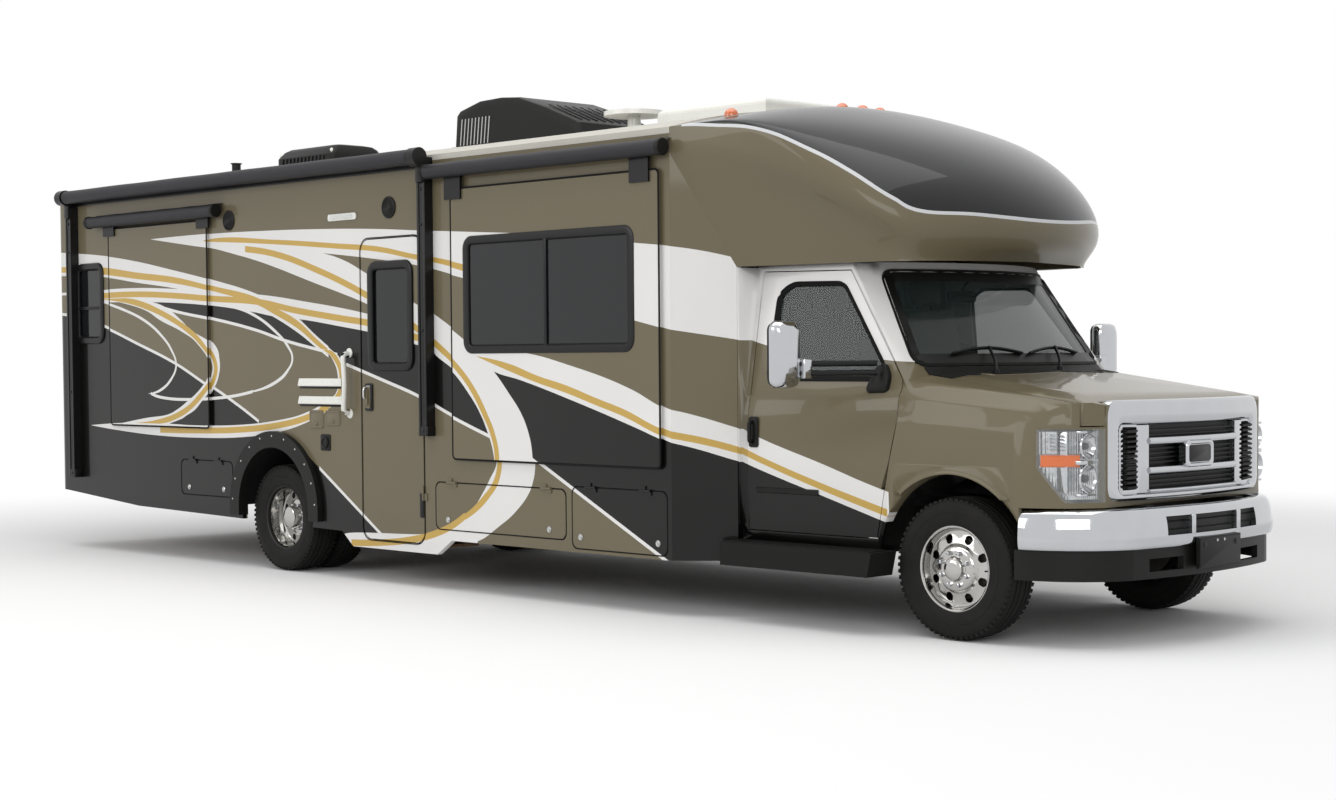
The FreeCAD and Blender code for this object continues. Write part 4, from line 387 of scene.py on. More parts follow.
def cap_gel_coat():
    """Moulded fibreglass cap in gel coat: deep even gloss, a dark top panel and a thin silver
    line below it."""
    made, tree, shader, place = new_material("gel_coated_cap")
    axis = split_axes(tree, place)
    share = add(tree, "ShaderNodeMapRange", {"Value": axis["X"], "From Min": 2.1,
                                             "From Max": 3.8}, clamp=False).outputs[0]
    edge = curved(tree, share, [((x - 2.1) / 1.7, z - 2.0) for x, z in CAP_PANEL_EDGE])
    over = calc(tree, "SUBTRACT", calc(tree, "SUBTRACT", axis["Z"], 2.0), edge)
    started = calc(tree, "GREATER_THAN", axis["X"], CAP_PANEL_EDGE[1][0])
    panel = calc(tree, "MULTIPLY", calc(tree, "GREATER_THAN", over, 0.0), started)
    line = calc(tree, "MULTIPLY", calc(tree, "COMPARE", over, -0.009, 0.009), started)
    colour = mixed(tree, panel, linear(TAUPE), linear("#1b1b1c"))
    finish_paint(tree, shader, place, mixed(tree, line, colour, linear("#c3c4c6")))
    return made


cap_paint = cap_gel_coat()

# Injection-moulded ABS and polypropylene trim: a fine leather-like grain takes the shine off it.
moulded_black = grained("moulded_black_abs", "#131312", 0.42, 3, 0.25, Specular_IOR_Level=0.2)
ribbed_black = grained("textured_black_tpo", "#171716", 0.62, 2.5, 0.5, Specular_IOR_Level=0.15)
# Powder-coated aluminium extrusions: satin black with the faint pebble of baked powder.
powder_black = grained("powder_coated_aluminium", "#0f0f10", 0.33, 4, 0.12,
                       Specular_IOR_Level=0.22, Coat_Weight=0.12, Coat_Roughness=0.2)
# Gloss ABS and cell-cast acrylic for the roof covers, chalked a little by the sun.
roof_white = grained("gloss_white_abs", "#dcdcd6", 0.3, 12, 0.15, Coat_Weight=0.2)
# TPO roofing sheet: matte, off-white, slightly dusty.
roof_sheet = grained("tpo_roof_sheet", "#b9b6ad", 0.75, 8, 0.3, spread=0.14)
# Moulded polypropylene of the dashboard: flat, dark grey and matte.
interior_trim = grained("moulded_grey_polypropylene", "#3a3936", 0.6, 3, 0.4)
# Rotomoulded polyethylene tanks: waxy and a little uneven, with a low sheen.
tank_black = grained("rotomoulded_polyethylene", "#161617", 0.55, 9, 0.6,
                     Specular_IOR_Level=0.2)
# Chassis steel in black dip wax, cast iron with a sandy skin, aluminised exhaust gone dull.
frame_steel = grained("waxed_chassis_steel", "#191817", 0.5, 6, 0.4, spread=0.25, Metallic=0.3)
cast_iron = grained("sand_cast_iron", "#4a4642", 0.65, 5, 0.8, spread=0.3, Metallic=0.7)
exhaust_steel = grained("aluminised_exhaust_steel", "#8d877d", 0.42, 10, 0.2, spread=0.25,
                        Metallic=1.0)
# EPDM rubber of the seals, wiper blades and valve stems: soft black that hardly shines.
rubber_seal = grained("epdm_rubber_seal", "#0c0c0c", 0.68, 3, 0.3, Specular_IOR_Level=0.15)


def chrome_plate(name, colour, roughness, wave_mm):
    """Bright plating over a moulded or pressed base: a clean mirror that wavers a little."""
    made, tree, shader, place = new_material(name)
    haze = noise(tree, place, 9.0, Detail=4.0)
    rough = ranged(tree, haze, roughness * 0.6, roughness * 1.6,
                   **{"From Min": 0.35, "From Max": 0.75})
    tone = mixed(tree, haze, shade(colour, -0.06), shade(colour, 0.04))
    surfaced(tree, shader, tone, rough, Metallic=1.0)
    bumped(tree, shader, noise(tree, place, 1000 / wave_mm, Detail=1.0), 0.5)
    return made


chrome = chrome_plate("bright_chrome_plate", "#bfc1c4", 0.07, 90)
stainless = chrome_plate("polished_stainless_wheel_cover", "#b9b8b5", 0.12, 60)
satin_alloy = chrome_plate("anodised_aluminium", "#b9b9b8", 0.28, 40)


def tyre_rubber():
    """Cured tyre rubber: dusty dark grey with an uneven matte skin."""
    made, tree, shader, place = new_material("cured_tyre_rubber")
    dust, grain = noise(tree, place, 11.0, Detail=5.0), noise(tree, place, 1000 / 3)
    surfaced(tree, shader, mixed(tree, dust, linear("#121211"), linear("#21201f")),
             ranged(tree, grain, 0.5, 0.78), Specular_IOR_Level=0.15)
    bumped(tree, shader, grain, 0.3)
    return made


rubber_tyre = tyre_rubber()


def glazing(name, colour, roughness, alpha, spread):
    """Float or acrylic glass: a hard gloss over a tint, with a tone that drifts slowly."""
    made, tree, shader, place = new_material(name)
    ripple = noise(tree, place, 1000 / 400, Detail=1.0)
    smear = noise(tree, place, 5.0, Detail=5.0)
    surfaced(tree, shader, mixed(tree, ripple, shade(colour, -0.1), shade(colour, 0.1)),
             ranged(tree, smear, roughness, roughness + spread), Alpha=alpha, IOR=1.49)
    return made


# Cast acrylic house windows are nearly black; the cab's tempered glass is lightly tinted.
tinted_glass = glazing("tinted_cast_acrylic", "#141618", 0.05, 0.93, 0.05)
cab_glass = glazing("tempered_cab_glass", "#2c3634", 0.02, 0.42, 0.03)
clear_lens = glazing("clear_polycarbonate_lens", "#e8ecee", 0.03, 0.16, 0.03)
# Coloured acrylic lamp lenses: deep colour under a hard gloss.
red_lens = grained("red_acrylic_lens", "#7d0f10", 0.12, 5, 0.4, Coat_Weight=0.8)
amber_lens = grained("amber_acrylic_lens", "#d2672a", 0.14, 5, 0.4, Coat_Weight=0.8)


def seat_leather():
    """Grey leather: pebbled 6 mm grain and a low sheen, with scuffed patches."""
    made, tree, shader, place = new_material("pebbled_seat_leather")
    cells = add(tree, "ShaderNodeTexVoronoi", {"Vector": place, "Scale": 1000 / 6})
    scuff = noise(tree, place, 7.0, Detail=5.0)
    surfaced(tree, shader, mixed(tree, scuff, linear("#3c3a37"), linear("#5c5853")),
             ranged(tree, scuff, 0.4, 0.62))
    bumped(tree, shader, cells.outputs["Distance"], 0.8)
    return made


leather = seat_leather()


def plywood_floor():
    """Vinyl-faced plywood planks laid lengthwise: brown boards 120 mm wide with long grain."""
    made, tree, shader, place = new_material("laminated_plywood_floor")
    stretched = add(tree, "ShaderNodeMapping", {"Vector": place, "Scale": (0.12, 1.0, 1.0)})
    grain = noise(tree, stretched.outputs["Vector"], 1000 / 25, Detail=6.0)
    boards = add(tree, "ShaderNodeTexBrick", {"Vector": place, "Color1": linear("#7a5c3e"),
                                              "Color2": linear("#8c6b48"),
                                              "Mortar": linear("#3b2c1f"), "Scale": 1.0,
                                              "Mortar Size": 0.002, "Brick Width": 1.2,
                                              "Row Height": 0.12})
    surfaced(tree, shader, mixed(tree, grain, boards.outputs["Color"], linear("#4f3a27")),
             ranged(tree, grain, 0.4, 0.65))
    bumped(tree, shader, grain, 0.4)
    return made


wood_floor = plywood_floor()

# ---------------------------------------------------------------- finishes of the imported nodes
NODE_FINISH = (
    (house_paint, "wall_right wall_left wall_rear entry_door slide_front slide_rear "
     "lid_right_front lid_right_middle lid_right_rear lid_left_middle lid_left_rear"),
    (roof_sheet, "house_roof"), (cap_paint, "overcab_cap"), (wood_floor, "house_floor"),
    (cab_paint, "cab_body hood cab_door_right cab_door_left"),
    (tinted_glass, "house_windows entry_window slide_front_window"),
    (cab_glass, "door_glass_right door_glass_left windscreen"),
    (powder_black, "slide_front_topper slide_rear_topper patio_awning"),
    (clear_lens, "headlamps"), (red_lens, "tail_lamps"), (amber_lens, "marker_lamps"),
    (chrome, "grille front_bumper mirror_right mirror_left"),
    (moulded_black, "grille_slats front_valance wipers arch_flares rear_bumper "
     "air_conditioner"), (roof_white, "roof_fittings"), (ribbed_black, "running_boards"),
    (interior_trim, "dashboard"), (leather, "cab_seats"), (exhaust_steel, "exhaust"),
    (cast_iron, "front_axle rear_axle knuckle_right knuckle_left engine_block"),
    (frame_steel, "chassis_frame"), (tank_black, "lockers_and_tanks"),
    (stainless, "front_rim_right front_rim_left rear_rim_right rear_rim_left"),
    (rubber_tyre, "front_tyre_right front_tyre_left rear_tyres_right rear_tyres_left"))
for finish, node_names in NODE_FINISH:
    for node_name in node_names.split():
        for material_slot in nodes[node_name].material_slots:
            material_slot.material = finish

# ---------------------------------------------------------------- mesh helpers
def linked(name, data):
    """An object of that name in the scene."""
    made = bpy.data.objects.new(name, data)
    bpy.context.scene.collection.objects.link(made)
    return made


def smoothed(mesh, finish, sharp):
    """Smooth shading with creases past an angle in degrees, in one finish."""
    mesh.shade_smooth()
    mesh.set_sharp_from_angle(angle=math.radians(sharp))
    mesh.materials.clear()
    mesh.materials.append(finish)


def piece(name, bm, finish, body, sharp=32, closed=True):
    bmesh.ops.remove_doubles(bm, verts=bm.verts, dist=1e-6)
    if closed:
        bmesh.ops.recalc_face_normals(bm, faces=bm.faces)
    mesh = bpy.data.meshes.new(name)
    bm.to_mesh(mesh)
    bm.free()
    smoothed(mesh, finish, sharp)
    made = linked(name, mesh)
    if body:
        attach(made, body)
    return made


def grid_faces(bm, rows, wrap_rows=False, wrap_columns=False):
    """Quads between rows of vertices."""
    count, width = len(rows), len(rows[0])
    for i in range(count - (0 if wrap_rows else 1)):
        for j in range(width - (0 if wrap_columns else 1)):
            quad = (rows[i][j], rows[i][(j + 1) % width],
                    rows[(i + 1) % count][(j + 1) % width], rows[(i + 1) % count][j])
            if len(set(quad)) == 4:
                bm.faces.new(quad)


def angles(count):
    """Even steps round a circle."""
    return [2 * math.pi * k / count for k in range(count)]


def capped(bm, rows):
    """Closes a run of rows at its two ends."""
    bm.faces.new(rows[0])
    bm.faces.new(rows[-1])


def skinned(bm, rows, **wraps):
    """Skins rows of points and returns them as rows of vertices."""
    made = [[bm.verts.new(p) for p in row] for row in rows]
    grid_faces(bm, made, **wraps)
    return made


def stacked(bm, rings):
    """A closed solid through rings of points, one beyond another."""
    capped(bm, skinned(bm, rings, wrap_columns=True))


def domed(bm, rings):
    """Rings of points closed at the last one only, for a form set on a surface."""
    bm.faces.new(skinned(bm, rings, wrap_columns=True)[-1])


def barred(bm, lines):
    """A bar with one line of points for each corner of its section, closed at both ends."""
    capped(bm, list(zip(*skinned(bm, lines, wrap_rows=True))))


def ringed(section, place, count):
    """Rings of (distance along X, radius) about an X line through place."""
    x, y, z = place
    return [[(x + out, y + radius * math.cos(a), z + radius * math.sin(a))
             for a in angles(count)] for out, radius in section]


def facing(bm, way):
    """Turns an open skin so that most of its area looks along way."""
    bmesh.ops.recalc_face_normals(bm, faces=bm.faces)
    if sum(f.normal.dot(Vector(way)) * f.calc_area() for f in bm.faces) < 0:
        bmesh.ops.reverse_faces(bm, faces=bm.faces)


def turned(bm, section, centre, side, steps=72, closed=True):
    """Turns a section of (distance outwards, radius) round the line through centre along Y."""
    rows = []
    for out, radius in section:
        rows.append([bm.verts.new(centre + Vector((radius * math.cos(a), side * out,
                                                   radius * math.sin(a))))
                     for a in angles(steps)])
    grid_faces(bm, rows, wrap_rows=closed, wrap_columns=True)
    return rows


def smooth_rows(rows, share):
    """Catmull-Rom value at a share, 0 to 1, of a short table of numbers."""
    last = len(rows) - 1
    at = min(max(share, 0.0), 1.0) * last
    i = min(int(at), last - 1)
    t = at - i
    p0, p1, p2, p3 = (rows[min(max(i + k, 0), last)] for k in (-1, 0, 1, 2))
    return [0.5 * (2 * b + (c - a) * t + (2 * a - 5 * b + 4 * c - d) * t * t
                   + (3 * b - a - 3 * c + d) * t ** 3) for a, b, c, d in zip(p0, p1, p2, p3)]


def at_value(table, value):
    """Row of a table, smoothly between its rows, where the first column reaches value."""
    firsts = [row[0] for row in table]
    if value <= firsts[0]:
        return list(table[0])
    if value >= firsts[-1]:
        return list(table[-1])
    i = max(k for k, first in enumerate(firsts) if first <= value)
    local = (value - firsts[i]) / (firsts[i + 1] - firsts[i])
    return smooth_rows(table, (i + local) / (len(table) - 1))


def rounded_outline(x0, x1, z0, z1, radius, steps=6):
    """Corner points of a rounded rectangle, anticlockwise."""
    points = []
    for cx, cz, start in ((x1 - radius, z0 + radius, -90), (x1 - radius, z1 - radius, 0),
                          (x0 + radius, z1 - radius, 90), (x0 + radius, z0 + radius, 180)):
        for i in range(steps + 1):
            a = math.radians(start + 90 * i / steps)
            points.append((cx + radius * math.cos(a), cz + radius * math.sin(a)))
    return points


def framed(bm, x0, x1, z0, z1, radius, section, side):
    """Sweeps a section of (outward offset, height off the wall plane) round a rounded
    rectangle on the wall at that side."""
    skinned(bm, [[(x, side * (HALF + height), z) for x, z in rounded_outline(
        x0 - offset, x1 + offset, z0 - offset, z1 + offset, max(radius + offset, 0.002))]
        for offset, height in section], wrap_rows=True, wrap_columns=True)


def plated(bm, outline, low, high, place, round_mm=2.0, steps=2):
    """A slab between two depths with its outline's edges rounded; place turns (u, v, depth)
    into a point."""
    edge = round_mm / 1000
    centre = Vector((sum(u for u, _ in outline) / len(outline),
                     sum(v for _, v in outline) / len(outline)))
    rows = []

    def inset(amount, depth):
        row = []
        for i, (u, v) in enumerate(outline):
            before, after = outline[i - 1], outline[(i + 1) % len(outline)]
            way = Vector((after[0] - before[0], after[1] - before[1])).normalized()
            inward = Vector((-way.y, way.x))
            if inward.dot(centre - Vector((u, v))) < 0:
                inward.negate()
            row.append(bm.verts.new(place(u + inward.x * amount, v + inward.y * amount, depth)))
        return row

    for k in range(steps + 1):
        a = math.pi / 2 * k / steps
        rows.append(inset(edge * (1 - math.sin(a)), low + edge * (1 - math.cos(a))))
    for k in range(steps + 1):
        a = math.pi / 2 * k / steps
        rows.append(inset(edge * (1 - math.cos(a)), high - edge * (1 - math.sin(a))))
    grid_faces(bm, rows, wrap_columns=True)
    capped(bm, rows)


def on_wall(side):
    """Places (x, z, height off the wall) on the house wall of that side."""
    return lambda u, v, depth: (u, side * (HALF + depth), v)


def boxed(bm, low, high, round_mm=3.0, segments=2):
    """A box with rounded edges."""
    made = bmesh.ops.create_cube(bm, size=1.0)
    for v in made["verts"]:
        v.co = Vector(low) + Vector((v.co.x + 0.5, v.co.y + 0.5, v.co.z + 0.5)) * (
            Vector(high) - Vector(low))
    edges = {e for v in made["verts"] for e in v.link_edges}
    bmesh.ops.bevel(bm, geom=list(edges), offset=round_mm / 1000, segments=segments,
                    profile=0.5, affect="EDGES")


def rodded(bm, points, radius, sides=14, closed_ends=True):
    """A round bar along a line of points, mitred at its bends."""
    points = [Vector(p) for p in points]
    rows, up = [], None
    for i, p in enumerate(points):
        ahead = (points[min(i + 1, len(points) - 1)] - points[max(i - 1, 0)]).normalized()
        if up is None:
            up = ahead.orthogonal().normalized()
        up = (up - ahead * up.dot(ahead)).normalized()
        over = ahead.cross(up)
        rows.append([bm.verts.new(p + (up * math.cos(a) + over * math.sin(a)) * radius)
                     for a in angles(sides)])
    grid_faces(bm, rows, wrap_columns=True)
    if closed_ends:
        capped(bm, rows)


def rounded_path(corners, radius, steps=5):
    """A line of corners with each bend replaced by a short curve."""
    corners = [Vector(c) for c in corners]
    path = [corners[0]]
    for before, corner, after in zip(corners, corners[1:], corners[2:]):
        reach = min(radius, (before - corner).length / 2.1, (after - corner).length / 2.1)
        start = corner + (before - corner).normalized() * reach
        end = corner + (after - corner).normalized() * reach
        for k in range(steps + 1):
            t = k / steps
            path.append(start * (1 - t) ** 2 + corner * 2 * t * (1 - t) + end * t * t)
    return path + [corners[-1]]


HALF = 1.270            # outer face of the house walls

# ---------------------------------------------------------------- the over-cab cap
# plan of the cap by height: z, nose reach, where the side meets the nose curve
CAP_LEVELS = [(1.962, 3.600, 3.200, 0.900), (2.070, 3.765, 3.380, 0.985),
              (2.240, 3.735, 3.330, 1.040), (2.450, 3.560, 3.120, 1.120),
              (2.680, 3.180, 2.800, 1.190), (2.920, 2.560, 2.300, 1.230)]
# by share round from the house wall to the nose: height of the ridge, the inner edge over the
# cab (x, half width, z) and the hollow between them
CAP_RIDGE = [(0.0, 2.590, 2.385, 1.035, 1.955, 0.0), (0.25, 2.540, 2.700, 0.960, 1.955, 0.040),
             (0.375, 2.430, 2.950, 0.925, 1.955, 0.040), (0.5, 2.200, 3.200, 0.895, 1.955, 0.03),
             (0.6, 2.065, 3.420, 0.800, 1.955, 0.0), (0.75, 2.030, 3.540, 0.500, 1.958, 0.0),
             (1.0, 2.030, 3.600, 0.0, 1.962, 0.0)]
CAP_REAR, CROWN, CROWN_EDGE = 2.100, 2.900, 2.735


def crown_at(y):
    rise = CROWN - CROWN_EDGE
    radius = (HALF ** 2 + rise ** 2) / (2 * rise)
    return CROWN - radius + math.sqrt(radius ** 2 - y ** 2)


def cap_outline(z, share):
    """Point on the cap's plan at a height, from the house wall, 0, to the nose, 1."""
    _, nose, side_x, side_y = at_value(CAP_LEVELS, z)
    if share <= 0.5:
        t = share / 0.5
        return CAP_REAR + (side_x - CAP_REAR) * t, HALF + (side_y - HALF) * t
    run = nose - side_x
    radius = (run ** 2 + side_y ** 2) / (2 * run)
    whole = math.asin(min(1.0, side_y / radius))
    if run > radius:
        whole = math.pi - whole
    a = whole * (1 - (share - 0.5) / 0.5)
    return nose - radius + radius * math.cos(a), radius * math.sin(a)


def cap_column(share):
    """Points from over the cab, out under the ridge, up the side and to the roof's middle."""
    _, ridge, ex, ey, ez, hollow = at_value(CAP_RIDGE, share)
    edge = Vector((ex, ey, ez))
    rx, ry = cap_outline(ridge, share)
    lip = Vector((rx, ry, ridge))
    points = []
    for k in range(10):
        t = k / 10
        pull = hollow * math.sin(math.pi * t)
        points.append(edge.lerp(lip, t) + Vector((0, -pull, pull)))
    for k in range(25):
        z = ridge + (2.920 - ridge) * k / 24
        x, y = cap_outline(z, share)
        points.append(Vector((x, y, min(z, crown_at(y)))))
    top = points[-1]
    for k in range(1, 11):
        t = 1 - k / 10
        y = top.y * t
        points.append(Vector((CAP_REAR + (top.x - CAP_REAR) * t, y, crown_at(y))))
    return points


def overcab_shell():
    """Smooth moulded cap: one skin, its creases eased, then given its laid-up thickness."""
    half = 44
    columns = [cap_column(i / half) for i in range(half + 1)]
    flip = Matrix.Diagonal((1, -1, 1))
    grid = columns + [[flip @ p for p in column] for column in reversed(columns[:-1])]
    count, tall = len(grid), len(grid[0])
    for _ in range(14):
        fresh = [list(column) for column in grid]
        for i in range(1, count - 1):
            for j in range(1, tall - 1):
                around = (grid[i - 1][j] + grid[i + 1][j] + grid[i][j - 1] + grid[i][j + 1]) / 4
                fresh[i][j] = grid[i][j].lerp(around, 0.5)
        grid = fresh
    bm = bmesh.new()
    rows = [[bm.verts.new(p) for p in column] for column in grid]
    grid_faces(bm, rows)
    bmesh.ops.remove_doubles(bm, verts=bm.verts, dist=1e-5)
    bmesh.ops.recalc_face_normals(bm, faces=bm.faces)
    out = sum((f.normal.z * f.calc_area() for f in bm.faces
               if f.calc_center_median().z > 2.6), 0.0)
    if out < 0:
        bmesh.ops.reverse_faces(bm, faces=bm.faces)
    bmesh.ops.solidify(bm, geom=bm.faces[:], thickness=0.018)
    shell = piece("overcab_shell", bm, cap_paint, "root", sharp=50)
    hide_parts("overcab_cap")


overcab_shell()

# ---------------------------------------------------------------- wheels and tyres
HUB_Z, FRONT_X, REAR_X = 0.368, 3.835, -1.753
# middles of the tyres on one side
FRONT_TYRES, REAR_TYRES = (0.881,), (1.1165, 0.8615)


# half the section of a tyre, from its middle outwards: grooves, shoulder, wall and bead
TYRE_SECTION = [(0.000, 0.3675), (0.016, 0.3673), (0.018, 0.359), (0.026, 0.359),
                (0.028, 0.3670), (0.048, 0.3660), (0.050, 0.358), (0.058, 0.3575),
                (0.060, 0.3648), (0.080, 0.3605), (0.092, 0.3540), (0.100, 0.3440),
                (0.1045, 0.3300), (0.1068, 0.3080), (0.1070, 0.2900), (0.1055, 0.2880),
                (0.1055, 0.2860), (0.1070, 0.2840), (0.1062, 0.2640), (0.1035, 0.2440),
                (0.0990, 0.2290), (0.0945, 0.2220), (0.0900, 0.2160), (0.0820, 0.2060)]


def tyre(bm, x, y, side):
    section = [(-out, r) for out, r in reversed(TYRE_SECTION)] + TYRE_SECTION[1:]
    turned(bm, section, Vector((x, y, HUB_Z)), side, steps=96)


def new_tree(name, sockets):
    """A Geometry Nodes tree with these (input, kind) pairs, and the values that it is given."""
    tree = bpy.data.node_groups.new(name, "GeometryNodeTree")
    face = tree.interface
    face.new_socket("Geometry", in_out="INPUT", socket_type="NodeSocketGeometry")
    for label, kind in sockets:
        face.new_socket(label, in_out="INPUT", socket_type="NodeSocket" + kind)
    face.new_socket("Geometry", in_out="OUTPUT", socket_type="NodeSocketGeometry")
    return tree, add(tree, "NodeGroupInput").outputs


def scattered(tree, points, size, rotation, finish):
    """Sets a block of that size on every point, in its finish, as the tree's result."""
    block = add(tree, "GeometryNodeMeshCube", {"Size": size})
    placed = add(tree, "GeometryNodeInstanceOnPoints", {
        "Points": points, "Instance": block.outputs["Mesh"], "Rotation": rotation})
    real = add(tree, "GeometryNodeRealizeInstances", {0: placed.outputs[0]})
    done = add(tree, "GeometryNodeSetMaterial", {"Geometry": real.outputs[0],
                                                 "Material": finish})
    add(tree, "NodeGroupOutput", {"Geometry": done.outputs[0]})
    return tree


def repeated_blocks(name):
    """Blocks set round a circle about Y.  Inputs: how many, the circle's radius, the block's
    size along, across and out, its place across the tread and its slant."""
    tree, given = new_tree(name, (("Count", "Int"), ("Radius", "Float"),
                                  ("Block size", "Vector"), ("Centre", "Vector"),
                                  ("Slant", "Float"), ("Finish", "Material")))
    ring = add(tree, "GeometryNodeMeshCircle", {"Vertices": given["Count"],
                                                "Radius": given["Radius"]})
    stood = add(tree, "GeometryNodeTransform", {"Geometry": ring.outputs["Mesh"],
                                                "Translation": given["Centre"],
                                                "Rotation": (math.pi / 2, 0, 0)})
    here = add(tree, "GeometryNodeInputPosition").outputs[0]
    outward = add(tree, "ShaderNodeVectorMath", {0: here, 1: given["Centre"]},
                  operation="SUBTRACT")
    facing_out = add(tree, "FunctionNodeAlignRotationToVector", {"Vector": outward.outputs[0]},
                     axis="Z", pivot_axis="Y")
    lean = add(tree, "ShaderNodeCombineXYZ", {"Z": given["Slant"]})
    turn = add(tree, "FunctionNodeEulerToRotation", {0: lean.outputs[0]})
    both = add(tree, "FunctionNodeRotateRotation", {0: facing_out.outputs[0],
                                                    1: turn.outputs[0]},
               rotation_space="LOCAL")
    return scattered(tree, stood.outputs[0], given["Block size"], both.outputs[0],
                     given["Finish"])


def from_tree(name, tree, values, body):
    """Runs a Geometry Nodes tree on an empty mesh and keeps its plain result."""
    holder = linked(name, bpy.data.meshes.new(name + "_seed"))
    modifier = holder.modifiers.new(name, "NODES")
    modifier.node_group = tree
    for item in tree.interface.items_tree:
        if item.in_out == "INPUT" and item.name in values:
            modifier[item.identifier] = values[item.name]
    bpy.context.view_layer.update()
    view = bpy.context.evaluated_depsgraph_get()
    mesh = bpy.data.meshes.new_from_object(holder.evaluated_get(view), depsgraph=view)
    holder.modifiers.remove(modifier)
    holder.data = mesh
    mesh.name = name
    mesh.shade_flat()
    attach(holder, body)
    return holder


lug_tree = repeated_blocks("shoulder_lugs")
for side_name, side in SIDES:
    for label, x, places, body, node_name in (
            ("front", FRONT_X, FRONT_TYRES, "front_wheel_", "front_tyre_"),
            ("rear", REAR_X, REAR_TYRES, "rear_wheels_", "rear_tyres_")):
        bm = bmesh.new()
        for y in places:
            tyre(bm, x, side * y, side)
        made = piece(label + "_tyre_cover_" + side_name, bm, rubber_tyre, body + side_name,
                     sharp=28)
        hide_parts(node_name + side_name)
        for k, y in enumerate(places):
            for edge in (-1, 1):
                from_tree("{}_lugs_{}_{}_{}".format(label, side_name, k, "in" if edge < 0
                                                    else "out"), lug_tree,
                          {"Count": 66, "Radius": 0.3535, "Block size": (0.0195, 0.026, 0.013),
                           "Centre": (x, side * y + edge * 0.0875, HUB_Z),
                           "Slant": math.radians(12 * edge * side), "Finish": rubber_tyre},
                          body + side_name)

# front cover: a shallow bowl; rear cover: a deep dish with a standing hub (out, radius)
FRONT_COVER = [(-0.004, 0.2225), (0.004, 0.2215), (0.006, 0.2170), (0.002, 0.2100),
               (-0.016, 0.2050), (-0.034, 0.1990), (-0.043, 0.1940), (-0.044, 0.1880),
               (-0.030, 0.1300), (-0.018, 0.1200), (-0.006, 0.1130), (-0.002, 0.1060),
               (-0.002, 0.0660), (0.004, 0.0600), (0.018, 0.0560), (0.024, 0.0480),
               (0.027, 0.0300), (0.028, 0.0)]
REAR_COVER = [(-0.004, 0.2225), (0.004, 0.2215), (0.006, 0.2170), (0.002, 0.2110),
              (-0.030, 0.2030), (-0.080, 0.1960), (-0.108, 0.1890), (-0.114, 0.1830),
              (-0.108, 0.1310), (-0.102, 0.1240), (-0.096, 0.1180), (-0.094, 0.0900),
              (-0.094, 0.0840), (-0.040, 0.0760), (-0.026, 0.0700), (-0.020, 0.0560),
              (-0.018, 0.0300), (-0.017, 0.0)]


def pierced(bm, section, centre, side, hole_low, hole_high, holes=8, per_hole=12):
    """Turns a section and leaves round hand holes between two of its radii."""
    steps = holes * per_hole
    bands = []
    for out, radius in section:
        if radius == 0:
            tip = bm.verts.new(centre + Vector((0, side * out, 0)))
            bands.append([tip] * steps)
        else:
            bands.append([bm.verts.new(centre + Vector((
                radius * math.cos(a), side * out, radius * math.sin(a))))
                for a in angles(steps)])
    for (o0, r0), (o1, r1), near, far in zip(section, section[1:], bands, bands[1:]):
        if abs(r0 - hole_high) < 1e-6 and abs(r1 - hole_low) < 1e-6:
            mid_r, mid_o = (r0 + r1) / 2, (o0 + o1) / 2
            size = abs(r0 - r1) * 0.42
            slope = (o0 - o1) / (r0 - r1)
            for h in range(holes):
                base = h * per_hole
                middle = 2 * math.pi * (h + 0.5) / holes
                rim = [near[(base + k) % steps] for k in range(per_hole + 1)]
                rim += [far[(base + per_hole - k) % steps] for k in range(per_hole + 1)]
                ring, deep = [], []
                for v in rim:
                    d = v.co - centre
                    angle = math.atan2(d.z, d.x)
                    u = math.remainder(angle - middle, 2 * math.pi) * mid_r
                    w = math.hypot(d.x, d.z) - mid_r
                    far_off = math.hypot(u, w) or 1.0
                    u, w = u * size / far_off, w * size / far_off
                    a = middle + u / mid_r
                    r = mid_r + w
                    spot = Vector((r * math.cos(a), side * (mid_o + slope * w),
                                   r * math.sin(a)))
                    ring.append(bm.verts.new(centre + spot))
                    deep.append(bm.verts.new(centre + spot - Vector((0, side * 0.014, 0))))
                for k in range(len(rim)):
                    n = (k + 1) % len(rim)
                    if rim[k] is not rim[n]:
                        bm.faces.new((rim[k], rim[n], ring[n], ring[k]))
                    bm.faces.new((ring[k], ring[n], deep[n], deep[k]))
        else:
            for i in range(steps):
                n = (i + 1) % steps
                if far[i] is far[n]:
                    bm.faces.new((near[i], near[n], far[i]))
                else:
                    bm.faces.new((near[i], near[n], far[n], far[i]))


